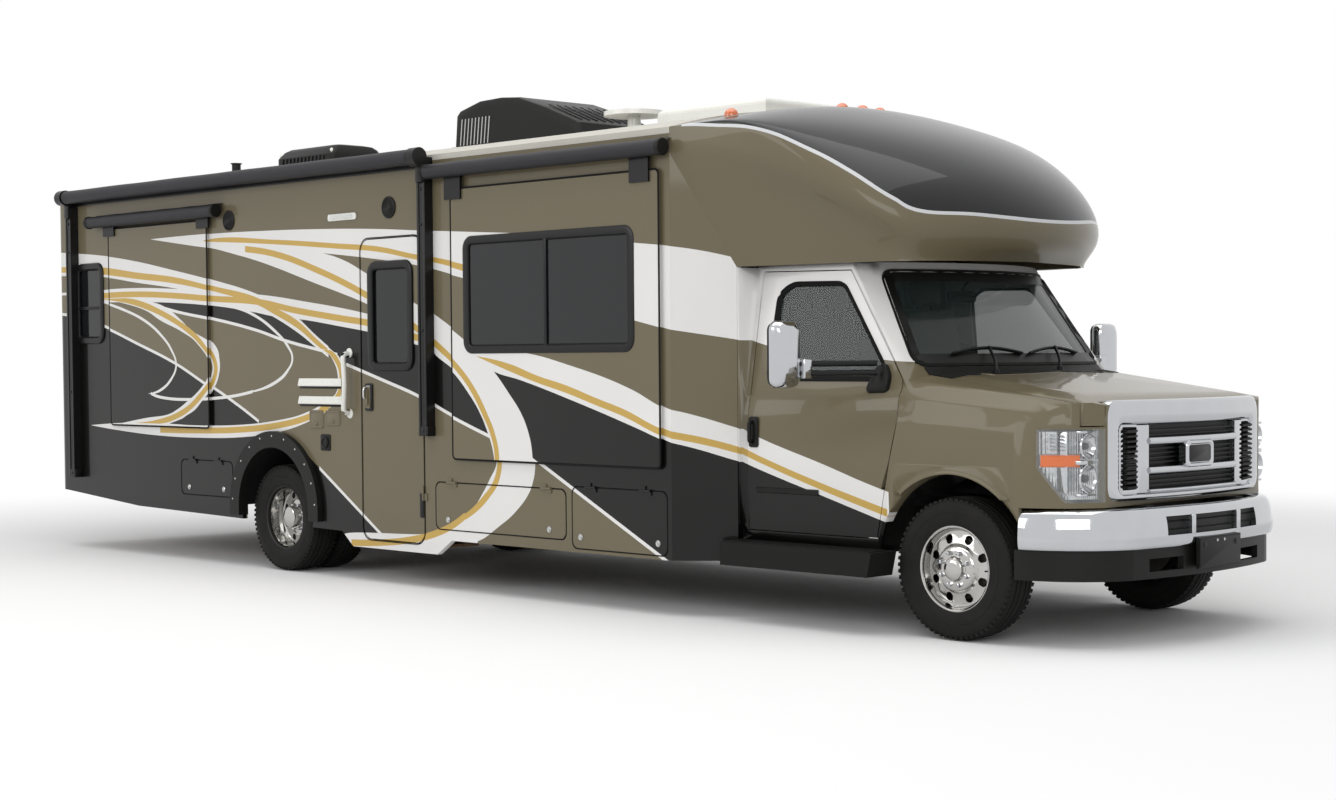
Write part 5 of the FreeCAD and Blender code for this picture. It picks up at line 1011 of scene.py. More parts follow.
for side_name, side in SIDES:
    for label, x, face_y, section, low, high, nut_out, body, node_name in (
            ("front", FRONT_X, 0.9700, FRONT_COVER, 0.1300, 0.1880, 0.002, "front_wheel_",
             "front_rim_"),
            ("rear", REAR_X, 1.2000, REAR_COVER, 0.1310, 0.1830, -0.090, "rear_wheels_",
             "rear_rim_")):
        centre = Vector((x, side * face_y, HUB_Z))
        bm = bmesh.new()
        pierced(bm, section, centre, side, low, high)
        facing(bm, (0, side, 0))
        cover = piece(label + "_wheel_cover_" + side_name, bm, stainless, body + side_name,
                      sharp=30, closed=False)
        # dark steel rim behind, one barrel for each tyre
        bm = bmesh.new()
        for y in FRONT_TYRES if label == "front" else REAR_TYRES:
            turned(bm, [(-0.093, 0.2175), (-0.080, 0.2100), (-0.045, 0.2100), (0.045, 0.2120),
                        (0.080, 0.2140), (0.093, 0.2190), (0.088, 0.2110), (0.045, 0.2080),
                        (-0.045, 0.2060), (-0.085, 0.2060)],
                   Vector((x, side * y, HUB_Z)), side)
            web = y - (0.0 if label == "front" else 0.046)
            turned(bm, [(0.0, 0.207), (0.0, 0.002), (-0.012, 0.002), (-0.012, 0.207)],
                   Vector((x, side * web, HUB_Z)), side, steps=48)
        rim = piece(label + "_steel_rim_" + side_name, bm, frame_steel, body + side_name)
        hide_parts(node_name + side_name)
        # lug nut covers round the hub
        bm = bmesh.new()
        for k in range(8):
            a = 2 * math.pi * (k + 0.5) / 8
            spot = centre + Vector((0.0865 * math.cos(a), side * nut_out,
                                    0.0865 * math.sin(a)))
            stacked(bm, [[spot + Vector((r * math.cos(b), side * out, r * math.sin(b)))
                          for b in angles(6)]
                         for out, r in ((-0.01, 0.0135), (0.010, 0.0130), (0.016, 0.0100),
                                        (0.018, 0.0040))])
        piece(label + "_lug_nuts_" + side_name, bm, chrome, body + side_name,
              sharp=20)
        # valve stem
        bm = bmesh.new()
        rodded(bm, [centre + Vector((0.196, side * (-0.03 if label == "front" else -0.09), 0)),
                    centre + Vector((0.190, side * (0.0 if label == "front" else -0.05), 0))],
               0.004, sides=8)
        piece(label + "_valve_stem_" + side_name, bm, rubber_seal, body + side_name)

# ---------------------------------------------------------------- smooth body panels
def eased_panel(node_name, finish, body, angle=38):
    """A welded copy of a body panel with its creases eased, as pressed sheet metal has."""
    source = nodes[node_name]
    bm = bmesh.new()
    bm.from_mesh(source.data)
    bmesh.ops.remove_doubles(bm, verts=bm.verts, dist=2e-5)
    bmesh.ops.dissolve_limit(bm, angle_limit=math.radians(0.6), verts=bm.verts, edges=bm.edges)
    bmesh.ops.triangulate(bm, faces=[f for f in bm.faces if len(f.verts) > 4])
    mesh = bpy.data.meshes.new(node_name + "_panel")
    bm.to_mesh(mesh)
    bm.free()
    smoothed(mesh, finish, angle)
    made = linked(node_name + "_panel", mesh)
    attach(made, body)
    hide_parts(node_name)
    return made


for panel in ("cab_body", "hood", "cab_door_right", "cab_door_left"):
    eased_panel(panel, cab_paint, body_of_node[panel])

# ---------------------------------------------------------------- laying trim on the cab's skin
def skin_of(*names):
    """A tree of the named nodes' faces, for laying trim on them."""
    points, faces = [], []
    for name in names:
        mesh = nodes[name].data
        start = len(points)
        points += [v.co.copy() for v in mesh.vertices]
        faces += [[start + i for i in p.vertices] for p in mesh.polygons]
    return BVHTree.FromPolygons(points, faces)


def laid(skin, start, way, lift=0.0):
    """Where a line from start meets the skin, lifted off it by a few millimetres."""
    spot, normal, _, _ = skin.ray_cast(Vector(start), Vector(way).normalized())
    if spot is None:
        spot, normal, _, _ = skin.find_nearest(Vector(start))
    if normal.dot(Vector(way)) > 0:
        normal = -normal
    return spot + normal * lift


def from_side(skin, side, x, z, lift=0.0):
    """The skin's point beside a place on the cab, seen from that side."""
    return laid(skin, (x, side * 1.5, z), (0, -side, 0), lift)


def ribbon(bm, inner, outer, thick, closed=True):
    """A flat band between two lines of points, with a little thickness."""
    lower_in, lower_out = [bm.verts.new(p) for p in inner], [bm.verts.new(p) for p in outer]
    upper_in, upper_out = [], []
    for p, q, ahead in zip(inner, outer, inner[1:] + inner[:1]):
        lift = (q - p).cross(ahead - p)
        lift = lift.normalized() * thick if lift.length > 1e-12 else Vector()
        upper_in.append(bm.verts.new(p + lift))
        upper_out.append(bm.verts.new(q + lift))
    grid_faces(bm, [lower_in, lower_out, upper_out, upper_in], wrap_rows=True,
               wrap_columns=closed)


def outline_points(corners, radius, count_per_run=6):
    """A closed flat outline with rounded corners and extra points along its runs."""
    made = []
    total = len(corners)
    for i in range(total):
        before, corner, after = (Vector(corners[(i + k) % total]) for k in (-1, 0, 1))
        reach = min(radius, (before - corner).length / 2.2, (after - corner).length / 2.2)
        start = corner + (before - corner).normalized() * reach
        end = corner + (after - corner).normalized() * reach
        for k in range(7):
            t = k / 6
            made.append(start * (1 - t) ** 2 + corner * 2 * t * (1 - t) + end * t * t)
        next_corner, beyond = after, Vector(corners[(i + 2) % total])
        next_reach = min(radius, (corner - next_corner).length / 2.2,
                         (beyond - next_corner).length / 2.2)
        next_start = next_corner + (corner - next_corner).normalized() * next_reach
        for k in range(1, count_per_run):
            made.append(end.lerp(next_start, k / count_per_run))
    return made


def offset_flat(points, amount):
    """Moves a closed flat outline outwards by an amount."""
    area = sum(p.x * q.y - q.x * p.y for p, q in zip(points, points[1:] + points[:1]))
    turn = 1 if area > 0 else -1
    moved = []
    for i, p in enumerate(points):
        way = (points[(i + 1) % len(points)] - points[i - 1]).normalized()
        moved.append(p + Vector((way.y, -way.x)) * amount * turn)
    return moved


# windscreen: black painted border and rubber seal
SCREEN_CORNERS = [(-0.835, 1.412), (0.835, 1.412), (0.728, 1.905), (-0.728, 1.905)]
front_skin = skin_of("windscreen", "cab_body")
glass_line = outline_points(SCREEN_CORNERS, 0.06, 10)
for label, inner, outer, finish, thick in (
        ("windscreen_border", -0.050, 0.0, moulded_black, 0.0012),
        ("windscreen_seal", -0.012, 0.016, rubber_seal, 0.006)):
    bm = bmesh.new()
    lines = [[laid(front_skin, (4.3, p.x, p.y), (-1, 0, 0), 0.0025 if inner < -0.02 else 0.001)
              for p in offset_flat(glass_line, amount)] for amount in (inner, outer)]
    ribbon(bm, lines[0], lines[1], thick)
    piece(label, bm, finish, "root")

# cab doors: seal round the pane, mirror foot, pull handle, moulding and towing mirror
DOOR_PANE = [(2.545, 1.330), (3.385, 1.330), (3.350, 1.410), (3.015, 1.852), (2.650, 1.858),
             (2.565, 1.800)]
for side_name, side in SIDES:
    door = "cab_door_" + side_name
    door_skin = skin_of(door, "door_glass_" + side_name)
    line = outline_points(DOOR_PANE, 0.05, 8)
    bm = bmesh.new()
    lines = [[from_side(door_skin, side, p.x, p.y, 0.0015)
              for p in offset_flat(line, amount)] for amount in (-0.016, 0.010)]
    ribbon(bm, lines[0], lines[1], 0.005)
    piece("door_glass_seal_" + side_name, bm, rubber_seal, door)
    # black foot that carries the mirror's arms
    foot = [(3.255, 1.258), (3.400, 1.262), (3.412, 1.350), (3.372, 1.420), (3.300, 1.400)]
    bm = bmesh.new()
    outline = outline_points(foot, 0.03, 3)
    centre = sum((Vector(p) for p in foot), Vector((0, 0))) / len(foot)
    domed(bm, [[from_side(door_skin, side, centre.x + (p.x - centre.x) * grow,
                          centre.y + (p.y - centre.y) * grow, lift)
                for p in outline]
               for grow, lift in ((1.0, 0.000), (1.0, 0.014), (0.92, 0.026), (0.6, 0.032))])
    piece("mirror_foot_" + side_name, bm, moulded_black, door)
    # pull handle
    bm = bmesh.new()
    y0 = from_side(door_skin, side, 2.482, 1.0).y
    plated(bm, rounded_outline(2.450, 2.520, 0.955, 1.125, 0.016),
           0.0, 0.010, lambda u, v, d, y0=y0: (u, y0 + side * (d + 0.001), v), 4.0)
    grip = rounded_path([(2.478, y0, 0.985), (2.478, y0 + side * 0.034, 0.985),
                         (2.478, y0 + side * 0.034, 1.095), (2.478, y0, 1.095)], 0.018)
    rodded(bm, grip, 0.011)
    piece("cab_door_handle_" + side_name, bm, moulded_black, door)
    # black moulding along the foot of the door
    bm = bmesh.new()
    barred(bm, [[from_side(door_skin, side, x, 0.722 + height, depth)
                 for x in (2.50, 2.70, 2.95)]
                for height, depth in ((-0.016, 0.0), (-0.012, 0.009), (0.012, 0.009),
                                      (0.016, 0.0))])
    piece("door_moulding_" + side_name, bm, moulded_black, door)

    # towing mirror: chrome shell, black back ring, glass towards the rear, two arms
    head_y = 1.462
    bm = bmesh.new()
    stacked(bm, [[(3.087 + back, side * head_y + y, 1.462 + z + (0.01 if z > 0 else 0.0))
                  for y, z in rounded_outline(-half_y, half_y, -half_z, half_z,
                                              min(half_y, 0.045))]
                 for back, half_y, half_z in (
                     (0.0, 0.084, 0.158), (0.012, 0.093, 0.168), (0.040, 0.094, 0.168),
                     (0.066, 0.086, 0.160), (0.082, 0.066, 0.140), (0.088, 0.036, 0.105))])
    head = piece("mirror_head_" + side_name, bm, chrome, door, sharp=50)
    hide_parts("mirror_" + side_name)
    bm = bmesh.new()
    for low, high, round_in in ((1.385, 1.622, 0.03), (1.308, 1.372, 0.015)):
        plated(bm, rounded_outline(-0.072, 0.072, low, high, round_in), 0.0, 0.006,
               lambda u, v, d: (3.086 - d, side * head_y + u, v), 1.5)
    piece("mirror_glass_" + side_name, bm, chrome, door)
    bm = bmesh.new()
    skinned(bm, [[(3.089 + depth, side * head_y + y, 1.467 + z)
                  for y, z in rounded_outline(-0.088 + inset, 0.088 - inset, -0.166 + inset,
                                              0.166 - inset, 0.04)]
                 for inset, depth in ((0.0, 0.0), (0.004, -0.012), (0.012, -0.012),
                                      (0.014, 0.0))], wrap_rows=True, wrap_columns=True)
    boxed(bm, (3.078, side * head_y - 0.080, 1.376), (3.088, side * head_y + 0.080, 1.382), 1)
    piece("mirror_bezel_" + side_name, bm, moulded_black, door)
    bm = bmesh.new()
    for z in (1.368, 1.418):
        rodded(bm, rounded_path([(3.345, side * 0.99, z), (3.315, side * 1.045, z),
                                 (3.185, side * 1.30, z), (3.150, side * 1.40, z)], 0.03),
               0.0155)
    piece("mirror_arms_" + side_name, bm, powder_black, door)
    bm = bmesh.new()
    spot = Vector((3.168, side * 1.352, 1.393))
    boxed(bm, spot - Vector((0.030, 0.032, 0.052)), spot + Vector((0.022, 0.032, 0.052)), 9, 3)
    piece("mirror_clamp_" + side_name, bm, chrome, door)


# wipers: pivot, arm, blade carrier and rubber, for each side of the screen
bm_arm, bm_blade = bmesh.new(), bmesh.new()
for pivot_y, blade in ((-0.46, (-0.60, -0.10)), (0.12, (-0.04, 0.50))):
    pivot = laid(front_skin, (3.725, pivot_y, 2.2), (0, 0, -1), 0.0)
    y0, y1 = blade
    line = [laid(front_skin, (4.3, y0 + (y1 - y0) * t,
                              1.455 + 0.030 * math.sin(math.pi * t)), (-1, 0, 0), 0.016)
            for t in (k / 12 for k in range(13))]
    middle = line[6] + Vector((0.012, 0, 0.006))
    rodded(bm_arm, [pivot + Vector((0, 0, -0.03)), pivot + Vector((0, 0, 0.022))], 0.017)
    rodded(bm_arm, rounded_path([pivot + Vector((0, 0, 0.012)),
                                 pivot.lerp(middle, 0.35) + Vector((0.01, 0, 0.02)), middle],
                                0.05), 0.008)
    rodded(bm_arm, [p + Vector((0.004, 0, 0.003)) for p in line], 0.0065, sides=8)
    rodded(bm_blade, [p + Vector((-0.006, 0, -0.004)) for p in line], 0.005, sides=6)
wiper_arms = piece("wiper_arms", bm_arm, moulded_black, "root")
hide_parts("wipers")
piece("wiper_rubbers", bm_blade, rubber_seal, "root")

# cowl: black panel between the glass and the hood
bm = bmesh.new()
cowl_skin = skin_of("cab_body", "windscreen")
rows = []
for step in range(5):
    row = []
    for k in range(33):
        y = -0.80 + 1.6 * k / 32
        glass = laid(front_skin, (4.3, y, 1.400), (-1, 0, 0))
        hood_line = 3.6945 + 0.105 * (1 - (abs(y) / 0.80) ** 2)
        x = glass.x + 0.004 + (hood_line - 0.012 - glass.x) * step / 4
        row.append(bm.verts.new(laid(cowl_skin, (x, y, 2.0), (0, 0, -1), 0.004)))
    rows.append(row)
grid_faces(bm, rows)
facing(bm, (0, 0, 1))
bmesh.ops.solidify(bm, geom=bm.faces[:], thickness=0.006)
piece("cowl_panel", bm, ribbed_black, "root")

# ---------------------------------------------------------------- grille
GRILLE_X, GRILLE_SWEEP, GRILLE_HALF = 4.662, 0.083, 0.725


def on_grille(y, z, depth):
    """A point of the curved front, with a depth towards the front."""
    return (GRILLE_X - GRILLE_SWEEP * (y / GRILLE_HALF) ** 2 + depth, y, z)


def spread_outline(half, low, high, radius, runs=16):
    """Rounded rectangle in (y, z) with points along its long edges, to follow a curve."""
    corner = rounded_outline(-half, half, low, high, radius)
    made = []
    for i, p in enumerate(corner):
        made.append(p)
        q = corner[(i + 1) % len(corner)]
        if abs(q[0] - p[0]) > 0.2:
            made += [(p[0] + (q[0] - p[0]) * k / runs, p[1] + (q[1] - p[1]) * k / runs)
                     for k in range(1, runs)]
    return made


bm = bmesh.new()
rows = [[bm.verts.new(on_grille(y, z, depth))
         for y, z in spread_outline(half, low, high, radius)]
        for half, low, high, radius, depth in (
            (0.728, 0.728, 1.222, 0.070, -0.080), (0.730, 0.725, 1.228, 0.072, -0.024),
            (0.724, 0.730, 1.222, 0.070, -0.008), (0.712, 0.738, 1.205, 0.066, 0.002),
            (0.690, 0.748, 1.172, 0.058, 0.005), (0.650, 0.754, 1.128, 0.045, 0.001),
            (0.632, 0.757, 1.110, 0.036, -0.008), (0.624, 0.760, 1.103, 0.030, -0.026),
            (0.622, 0.762, 1.101, 0.028, -0.078))]
grid_faces(bm, rows, wrap_rows=True, wrap_columns=True)
surround = piece("grille_surround", bm, chrome, "root", sharp=60)
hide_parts("grille")

bm = bmesh.new()
for sign in (-1, 1):
    for near, far, low, high in ((0.412, 0.500, 0.760, 1.102), (0.500, 0.628, 0.756, 0.784),
                                 (0.500, 0.628, 1.090, 1.106), (0.600, 0.628, 0.760, 1.102)):
        y0, y1 = sorted((sign * near, sign * far))
        plated(bm, rounded_outline(y0, y1, low, high, 0.006), -0.062, -0.012, on_grille, 5.0, 3)
piece("grille_uprights", bm, chrome, "root")

bm = bmesh.new()
for z, tall in ((1.020, 0.019), (0.872, 0.019), (0.768, 0.012)):
    barred(bm, [[on_grille(-0.414 + 0.828 * k / 20, z + up, depth) for k in range(21)]
                for up, depth in ((-tall, -0.05), (-tall, -0.016), (-tall * 0.75, -0.006),
                                  (0, -0.001), (tall * 0.75, -0.006), (tall, -0.016),
                                  (tall, -0.05))])
piece("grille_bars", bm, chrome, "root", sharp=50)
bm = bmesh.new()
domed(bm, [[on_grille(y, z, depth) for y, z in
            rounded_outline(-half, half, 0.946 - tall, 0.946 + tall, radius, 8)]
           for half, tall, radius, depth in (
               (0.130, 0.070, 0.030, -0.040), (0.130, 0.070, 0.030, 0.000),
               (0.124, 0.064, 0.028, 0.008), (0.112, 0.052, 0.024, 0.008),
               (0.107, 0.047, 0.022, 0.002))])
piece("grille_centre_plate", bm, chrome, "root")
bm = bmesh.new()
plated(bm, rounded_outline(-0.104, 0.104, 0.902, 0.990, 0.02), -0.01, 0.004, on_grille, 2.0)
piece("grille_blank_panel", bm, powder_black, "root")


def slat_rows(name):
    """Slats in an even row.  Inputs: how many, the spacing, a slat's size, the place of the
    first, their tilt and their finish."""
    tree, given = new_tree(name, (("Count", "Int"), ("Spacing", "Vector"),
                                  ("Slat size", "Vector"), ("First", "Vector"),
                                  ("Tilt", "Vector"), ("Finish", "Material")))
    line = add(tree, "GeometryNodeMeshLine", {"Count": given["Count"],
                                              "Start Location": given["First"],
                                              "Offset": given["Spacing"]})
    tilt = add(tree, "FunctionNodeEulerToRotation", {0: given["Tilt"]})
    return scattered(tree, line.outputs[0], given["Slat size"], tilt.outputs[0],
                     given["Finish"])


slat_tree = slat_rows("slat_rows")
for side_name, side in SIDES:
    from_tree("grille_vent_ribs_" + side_name, slat_tree,
              {"Count": 12, "Spacing": (0, 0, 0.0255), "Slat size": (0.030, 0.092, 0.010),
               "First": (4.603, side * 0.552, 0.797), "Tilt": (0, 0.35, 0),
               "Finish": moulded_black}, "root")

# ---------------------------------------------------------------- headlamps
def lamp_reflector():
    """Vacuum-metallised reflector behind the lens: bright, with fine upright flutes 9 mm wide."""
    made, tree, shader, place = new_material("metallised_reflector")
    across = calc(tree, "MULTIPLY", split_axes(tree, place)["Y"], 2 * math.pi / 0.009)
    haze = noise(tree, place, 1000 / 30)
    surfaced(tree, shader, mixed(tree, haze, linear("#8d9093"), linear("#e8eaec")),
             ranged(tree, haze, 0.08, 0.3), Metallic=1.0)
    bumped(tree, shader, calc(tree, "SINE", across), 1.2)
    return made


reflector = lamp_reflector()
lamp_skin = skin_of("headlamps")
for side_name, side in SIDES:
    bm = bmesh.new()
    bm.from_mesh(nodes["headlamps"].data)
    bmesh.ops.remove_doubles(bm, verts=bm.verts, dist=2e-5)
    bmesh.ops.delete(bm, geom=[f for f in bm.faces
                               if f.calc_center_median().y * side < 0], context="FACES")
    bmesh.ops.delete(bm, geom=[v for v in bm.verts if not v.link_faces], context="VERTS")
    bm.normal_update()
    centre = sum((v.co for v in bm.verts), Vector()) / len(bm.verts)
    back = Vector((-0.034, -side * 0.030, 0))
    for v in bm.verts:
        v.co = centre + (v.co - centre) * 0.93 + back
    piece("headlamp_reflector_" + side_name, bm, reflector, "root", sharp=30)
    # bowls and bulbs: high beam over low beam
    for name, y, z, r in (("high", 0.800, 1.005, 0.060), ("low", 0.800, 0.845, 0.068)):
        front = laid(lamp_skin, (5.2, side * y, z), (-1, 0, 0))
        bm = bmesh.new()
        place = (front.x, side * y, z)
        domed(bm, ringed([(out, r * share) for out, share in (
            (-0.020, 1.08), (-0.012, 1.06), (-0.012, 0.98), (-0.030, 0.80), (-0.050, 0.55),
            (-0.060, 0.30))], place, 40))
        piece("headlamp_{}_bowl_{}".format(name, side_name), bm, chrome, "root",
              sharp=50)
        bm = bmesh.new()
        domed(bm, ringed([(out, r * share) for out, share in (
            (-0.058, 0.30), (-0.030, 0.30), (-0.022, 0.24), (-0.020, 0.10))], place, 24))
        piece("headlamp_{}_bulb_{}".format(name, side_name), bm, powder_black, "root")
    # bright dividers and steps inside the lamp
    bm = bmesh.new()
    front = laid(lamp_skin, (5.2, side * 0.800, 0.925), (-1, 0, 0))
    for z, tall in ((0.925, 0.010), (1.075, 0.006), (0.765, 0.006)):
        boxed(bm, (front.x - 0.050, side * 0.800 - 0.062, z - tall),
              (front.x - 0.014, side * 0.800 + 0.062, z + tall), 3.0)
    inner = laid(lamp_skin, (5.2, side * 0.882, 0.925), (-1, 0, 0))
    boxed(bm, (inner.x - 0.060, side * 0.882 - 0.006, 0.775),
          (inner.x - 0.006, side * 0.882 + 0.006, 1.078), 3.0)
    for k in range(5):
        boxed(bm, (inner.x - 0.075, side * 0.915 - 0.022, 0.985 + 0.018 * k),
              (inner.x - 0.030, side * 0.915 + 0.022, 0.990 + 0.018 * k), 1.5, 1)
    piece("headlamp_bars_" + side_name, bm, chrome, "root")
    # amber turn lens at the outer side
    bm = bmesh.new()
    rows = []
    for z in (0.902, 0.908, 0.958, 0.964):
        lift = 0.0015 if 0.905 < z < 0.96 else -0.006
        rows.append([bm.verts.new(laid(lamp_skin, (x + 0.5, side * (y + 0.5), z),
                                       (-1, -side, 0), lift))
                     for x, y in ((4.352 + 0.0155 * k, 0.957 - 0.0140 * k)
                                  for k in range(10))])
    grid_faces(bm, rows)
    facing(bm, (1, 0, 0))
    bmesh.ops.solidify(bm, geom=bm.faces[:], thickness=0.005)
    piece("headlamp_turn_lens_" + side_name, bm, amber_lens, "root")

# ---------------------------------------------------------------- house windows
FRAME_SECTION = ((-0.030, 0.0005), (-0.030, 0.008), (-0.024, 0.014), (0.004, 0.017),
                 (0.016, 0.013), (0.021, 0.004), (0.021, 0.0005))


def wall_window(name, x0, x1, z0, z1, side, body, upright=(), level=(), base=0.0):
    """Black powder-coated frame round an opening, its rubber and its sliding-pane bars."""
    bm = bmesh.new()
    framed(bm, x0, x1, z0, z1, 0.060, [(o, h + base) for o, h in FRAME_SECTION], side)
    bars = [(x - 0.013, x + 0.013, z0 + 0.02, z1 - 0.02) for x in upright]
    bars += [(x0 + 0.02, x1 - 0.02, z - 0.012, z + 0.012) for z in level]
    for bar in bars:
        plated(bm, rounded_outline(*bar, 0.004), 0.001, 0.011,
               lambda u, v, d: (u, side * (HALF + base + d), v), 2.0)
    piece(name + "_frame", bm, powder_black, body)
    bm = bmesh.new()
    framed(bm, x0, x1, z0, z1, 0.060,
           [(o, h + base) for o, h in ((-0.037, 0.001), (-0.037, 0.006), (-0.029, 0.009),
                                       (-0.029, 0.001))], side)
    piece(name + "_gasket", bm, rubber_seal, body)


WINDOW_TABLE = (   # name, x from, x to, z from, z to, side, body, uprights, levels, off the wall
    ("corner_window", -4.415, -4.045, 1.61, 2.19, -1, "root", (), (1.865,), 0.0),
    ("entry_window", -0.662, -0.228, 1.40, 2.07, -1, "entry_door", (), (), 0.0),
    ("slide_window", 0.335, 1.815, 1.505, 2.19, -1, "slide_front", (1.075,), (), 0.014),
    ("galley_window", -3.70, -2.50, 1.56, 2.19, 1, "root", (-3.10,), (), 0.0),
    ("bath_window", -1.75, -1.25, 1.65, 2.19, 1, "root", (), (1.92,), 0.0),
    ("lounge_window", -0.35, 0.90, 1.51, 2.19, 1, "root", (0.275,), (), 0.0),
    ("forward_window", 1.25, 1.75, 1.56, 2.19, 1, "root", (), (1.875,), 0.0))
for row in WINDOW_TABLE:
    wall_window(*row)

# rear window: the same frame on the rear wall's plane
bm = bmesh.new()
skinned(bm, [[(-4.7400 - height, y, z) for y, z in
              rounded_outline(-0.56 - offset, 0.56 + offset, 1.50 - offset, 2.15 + offset,
                              0.060 + offset)] for offset, height in FRAME_SECTION],
        wrap_rows=True, wrap_columns=True)
piece("rear_window_frame", bm, powder_black, "root")

# ---------------------------------------------------------------- seals, seams and trims
SEAL_TABLE = (   # name, x from, x to, z from, z to, radius, side, body, grow, height, width
    ("slide_front_seal", 0.205, 2.025, 0.84, 2.50, 0.024, -1, "slide_front", 0.001, 0.0235,
     0.012),
    ("slide_rear_seal", -3.905, -2.565, 0.98, 2.45, 0.024, -1, "slide_rear", 0.001, 0.0235,
     0.012),
    ("entry_door_gasket", -0.765, -0.115, 0.28, 2.24, 0.084, -1, "root", 0.0, 0.0025, 0.007),
    ("lid_right_front_gasket", 1.275, 2.06, 0.345, 0.70, 0.044, -1, "root", 0.0, 0.0025, 0.006),
    ("lid_right_middle_gasket", 0.0, 1.215, 0.39, 0.68, 0.044, -1, "root", 0.0, 0.0025, 0.006),
    ("lid_right_rear_gasket", -2.965, -2.30, 0.49, 0.735, 0.044, -1, "root", 0.0, 0.0025,
     0.006),
    ("lid_left_middle_gasket", 0.0, 1.215, 0.39, 0.68, 0.044, 1, "root", 0.0, 0.0025, 0.006),
    ("lid_left_rear_gasket", -4.15, -2.90, 0.49, 0.735, 0.044, 1, "root", 0.0, 0.0025, 0.006))
for name, x0, x1, z0, z1, radius, side, body, grow, height, width in SEAL_TABLE:
    bm = bmesh.new()
    framed(bm, x0, x1, z0, z1, radius,
           ((grow, height - 0.004), (grow + 0.001, height), (grow + width - 0.001, height),
            (grow + width, height - 0.004)), side)
    piece(name, bm, rubber_seal, body)

# compression locks of the lids
for name, body, side, spots in (
        ("lid_locks_right_middle", "lid_right_middle", -1, ((0.12, 0.45), (1.07, 0.44))),
        ("lid_locks_right_front", "lid_right_front", -1, ((1.345, 0.41), (1.99, 0.41))),
        ("lid_locks_right_rear", "lid_right_rear", -1, ((-2.86, 0.54), (-2.41, 0.54))),
        ("lid_locks_left_middle", "lid_left_middle", 1, ((0.12, 0.45), (1.09, 0.45))),
        ("lid_locks_left_rear", "lid_left_rear", 1, ((-4.03, 0.55), (-3.02, 0.55)))):
    bm = bmesh.new()
    for x, z in spots:
        turned(bm, ((0.0, 0.019), (0.004, 0.019), (0.006, 0.016), (0.005, 0.011),
                    (0.009, 0.009), (0.009, 0.0001), (0.0, 0.0001)),
               Vector((x, side * HALF, z)), side, 28)
    piece(name, bm, satin_alloy, body, sharp=40)

# ---------------------------------------------------------------- entry door fittings
bm = bmesh.new()
plated(bm, rounded_outline(-0.722, -0.640, 1.120, 1.300, 0.016), 0.000, 0.010, on_wall(-1), 3.0)
piece("entry_handle_plate", bm, powder_black, "entry_door")
bm = bmesh.new()
plated(bm, rounded_outline(-0.706, -0.656, 1.190, 1.286, 0.012), 0.010, 0.016, on_wall(-1), 2.5)
rodded(bm, rounded_path([(-0.690, -1.280, 1.275), (-0.690, -1.312, 1.268),
                         (-0.690, -1.312, 1.205), (-0.690, -1.280, 1.200)], 0.014), 0.0085)
turned(bm, ((0.010, 0.013), (0.014, 0.013), (0.015, 0.0001), (0.010, 0.0001)),
       Vector((-0.682, -HALF, 1.150)), -1, 24)
piece("entry_handle_paddle", bm, satin_alloy, "entry_door")

bm = bmesh.new()
for z0, z1 in ((0.45, 0.62), (1.10, 1.26), (1.82, 1.98)):
    plated(bm, rounded_outline(-0.160, -0.121, z0, z1, 0.006), 0.000, 0.006, on_wall(-1), 1.5)
piece("entry_hinge_leaves", bm, powder_black, "entry_door")

bm = bmesh.new()
rodded(bm, rounded_path([(-0.895, -1.268, 1.500), (-0.895, -1.325, 1.488),
                         (-0.880, -1.325, 1.300), (-0.895, -1.325, 1.112),
                         (-0.895, -1.268, 1.100)], 0.045, 8), 0.0165, 18)
for z in (1.100, 1.500):
    turned(bm, ((0.0, 0.032), (0.005, 0.031), (0.010, 0.024), (0.012, 0.0001), (0.0, 0.0001)),
           Vector((-0.895, -HALF, z)), -1, 28)
piece("grab_handle", bm, roof_white, "root")

# ---------------------------------------------------------------- small wall fittings
bm = bmesh.new()
for x, z in ((-2.295, 2.44), (-0.45, 2.43)):
    turned(bm, ((0.0, 0.070), (0.008, 0.070), (0.011, 0.064), (0.008, 0.058), (0.004, 0.054),
                (0.006, 0.050), (0.004, 0.046), (0.007, 0.042), (0.005, 0.038), (0.008, 0.034),
                (0.006, 0.030), (0.009, 0.026), (0.007, 0.022), (0.010, 0.016), (0.010, 0.0001),
                (0.0, 0.0001)), Vector((x, -HALF, z)), -1, 48)
piece("patio_speakers", bm, moulded_black, "root", sharp=25)

bm = bmesh.new()
plated(bm, rounded_outline(-1.105, -0.795, 2.372, 2.418, 0.016), 0.000, 0.012, on_wall(-1), 4.0)
piece("porch_light_base", bm, roof_white, "root")
bm = bmesh.new()
plated(bm, rounded_outline(-1.075, -0.825, 2.378, 2.412, 0.012), 0.012, 0.030, on_wall(-1), 8.0,
       4)
piece("porch_light_lens", bm, clear_lens, "root")

bm = bmesh.new()
for z in (1.185, 1.305):
    barred(bm, [[(x, -HALF - out, z + up) for x in (-1.470, -0.975)]
                for up, out in ((-0.026, 0.0), (-0.026, 0.010), (-0.020, 0.013), (0.010, 0.006),
                                (0.026, 0.001), (0.026, 0.0))])
piece("appliance_vent_hoods", bm, roof_white, "root", sharp=20)
# black strips on the wall just under the two vent hoods: painted shadow of the hoods
bm = bmesh.new()
for z0, z1 in ((1.143, 1.158), (1.263, 1.278)):
    plated(bm, rounded_outline(-1.462, -0.983, z0, z1, 0.004), 0.0, 0.003, on_wall(-1), 1.0)
piece("appliance_vent_painted_shadows", bm, moulded_black, "root")

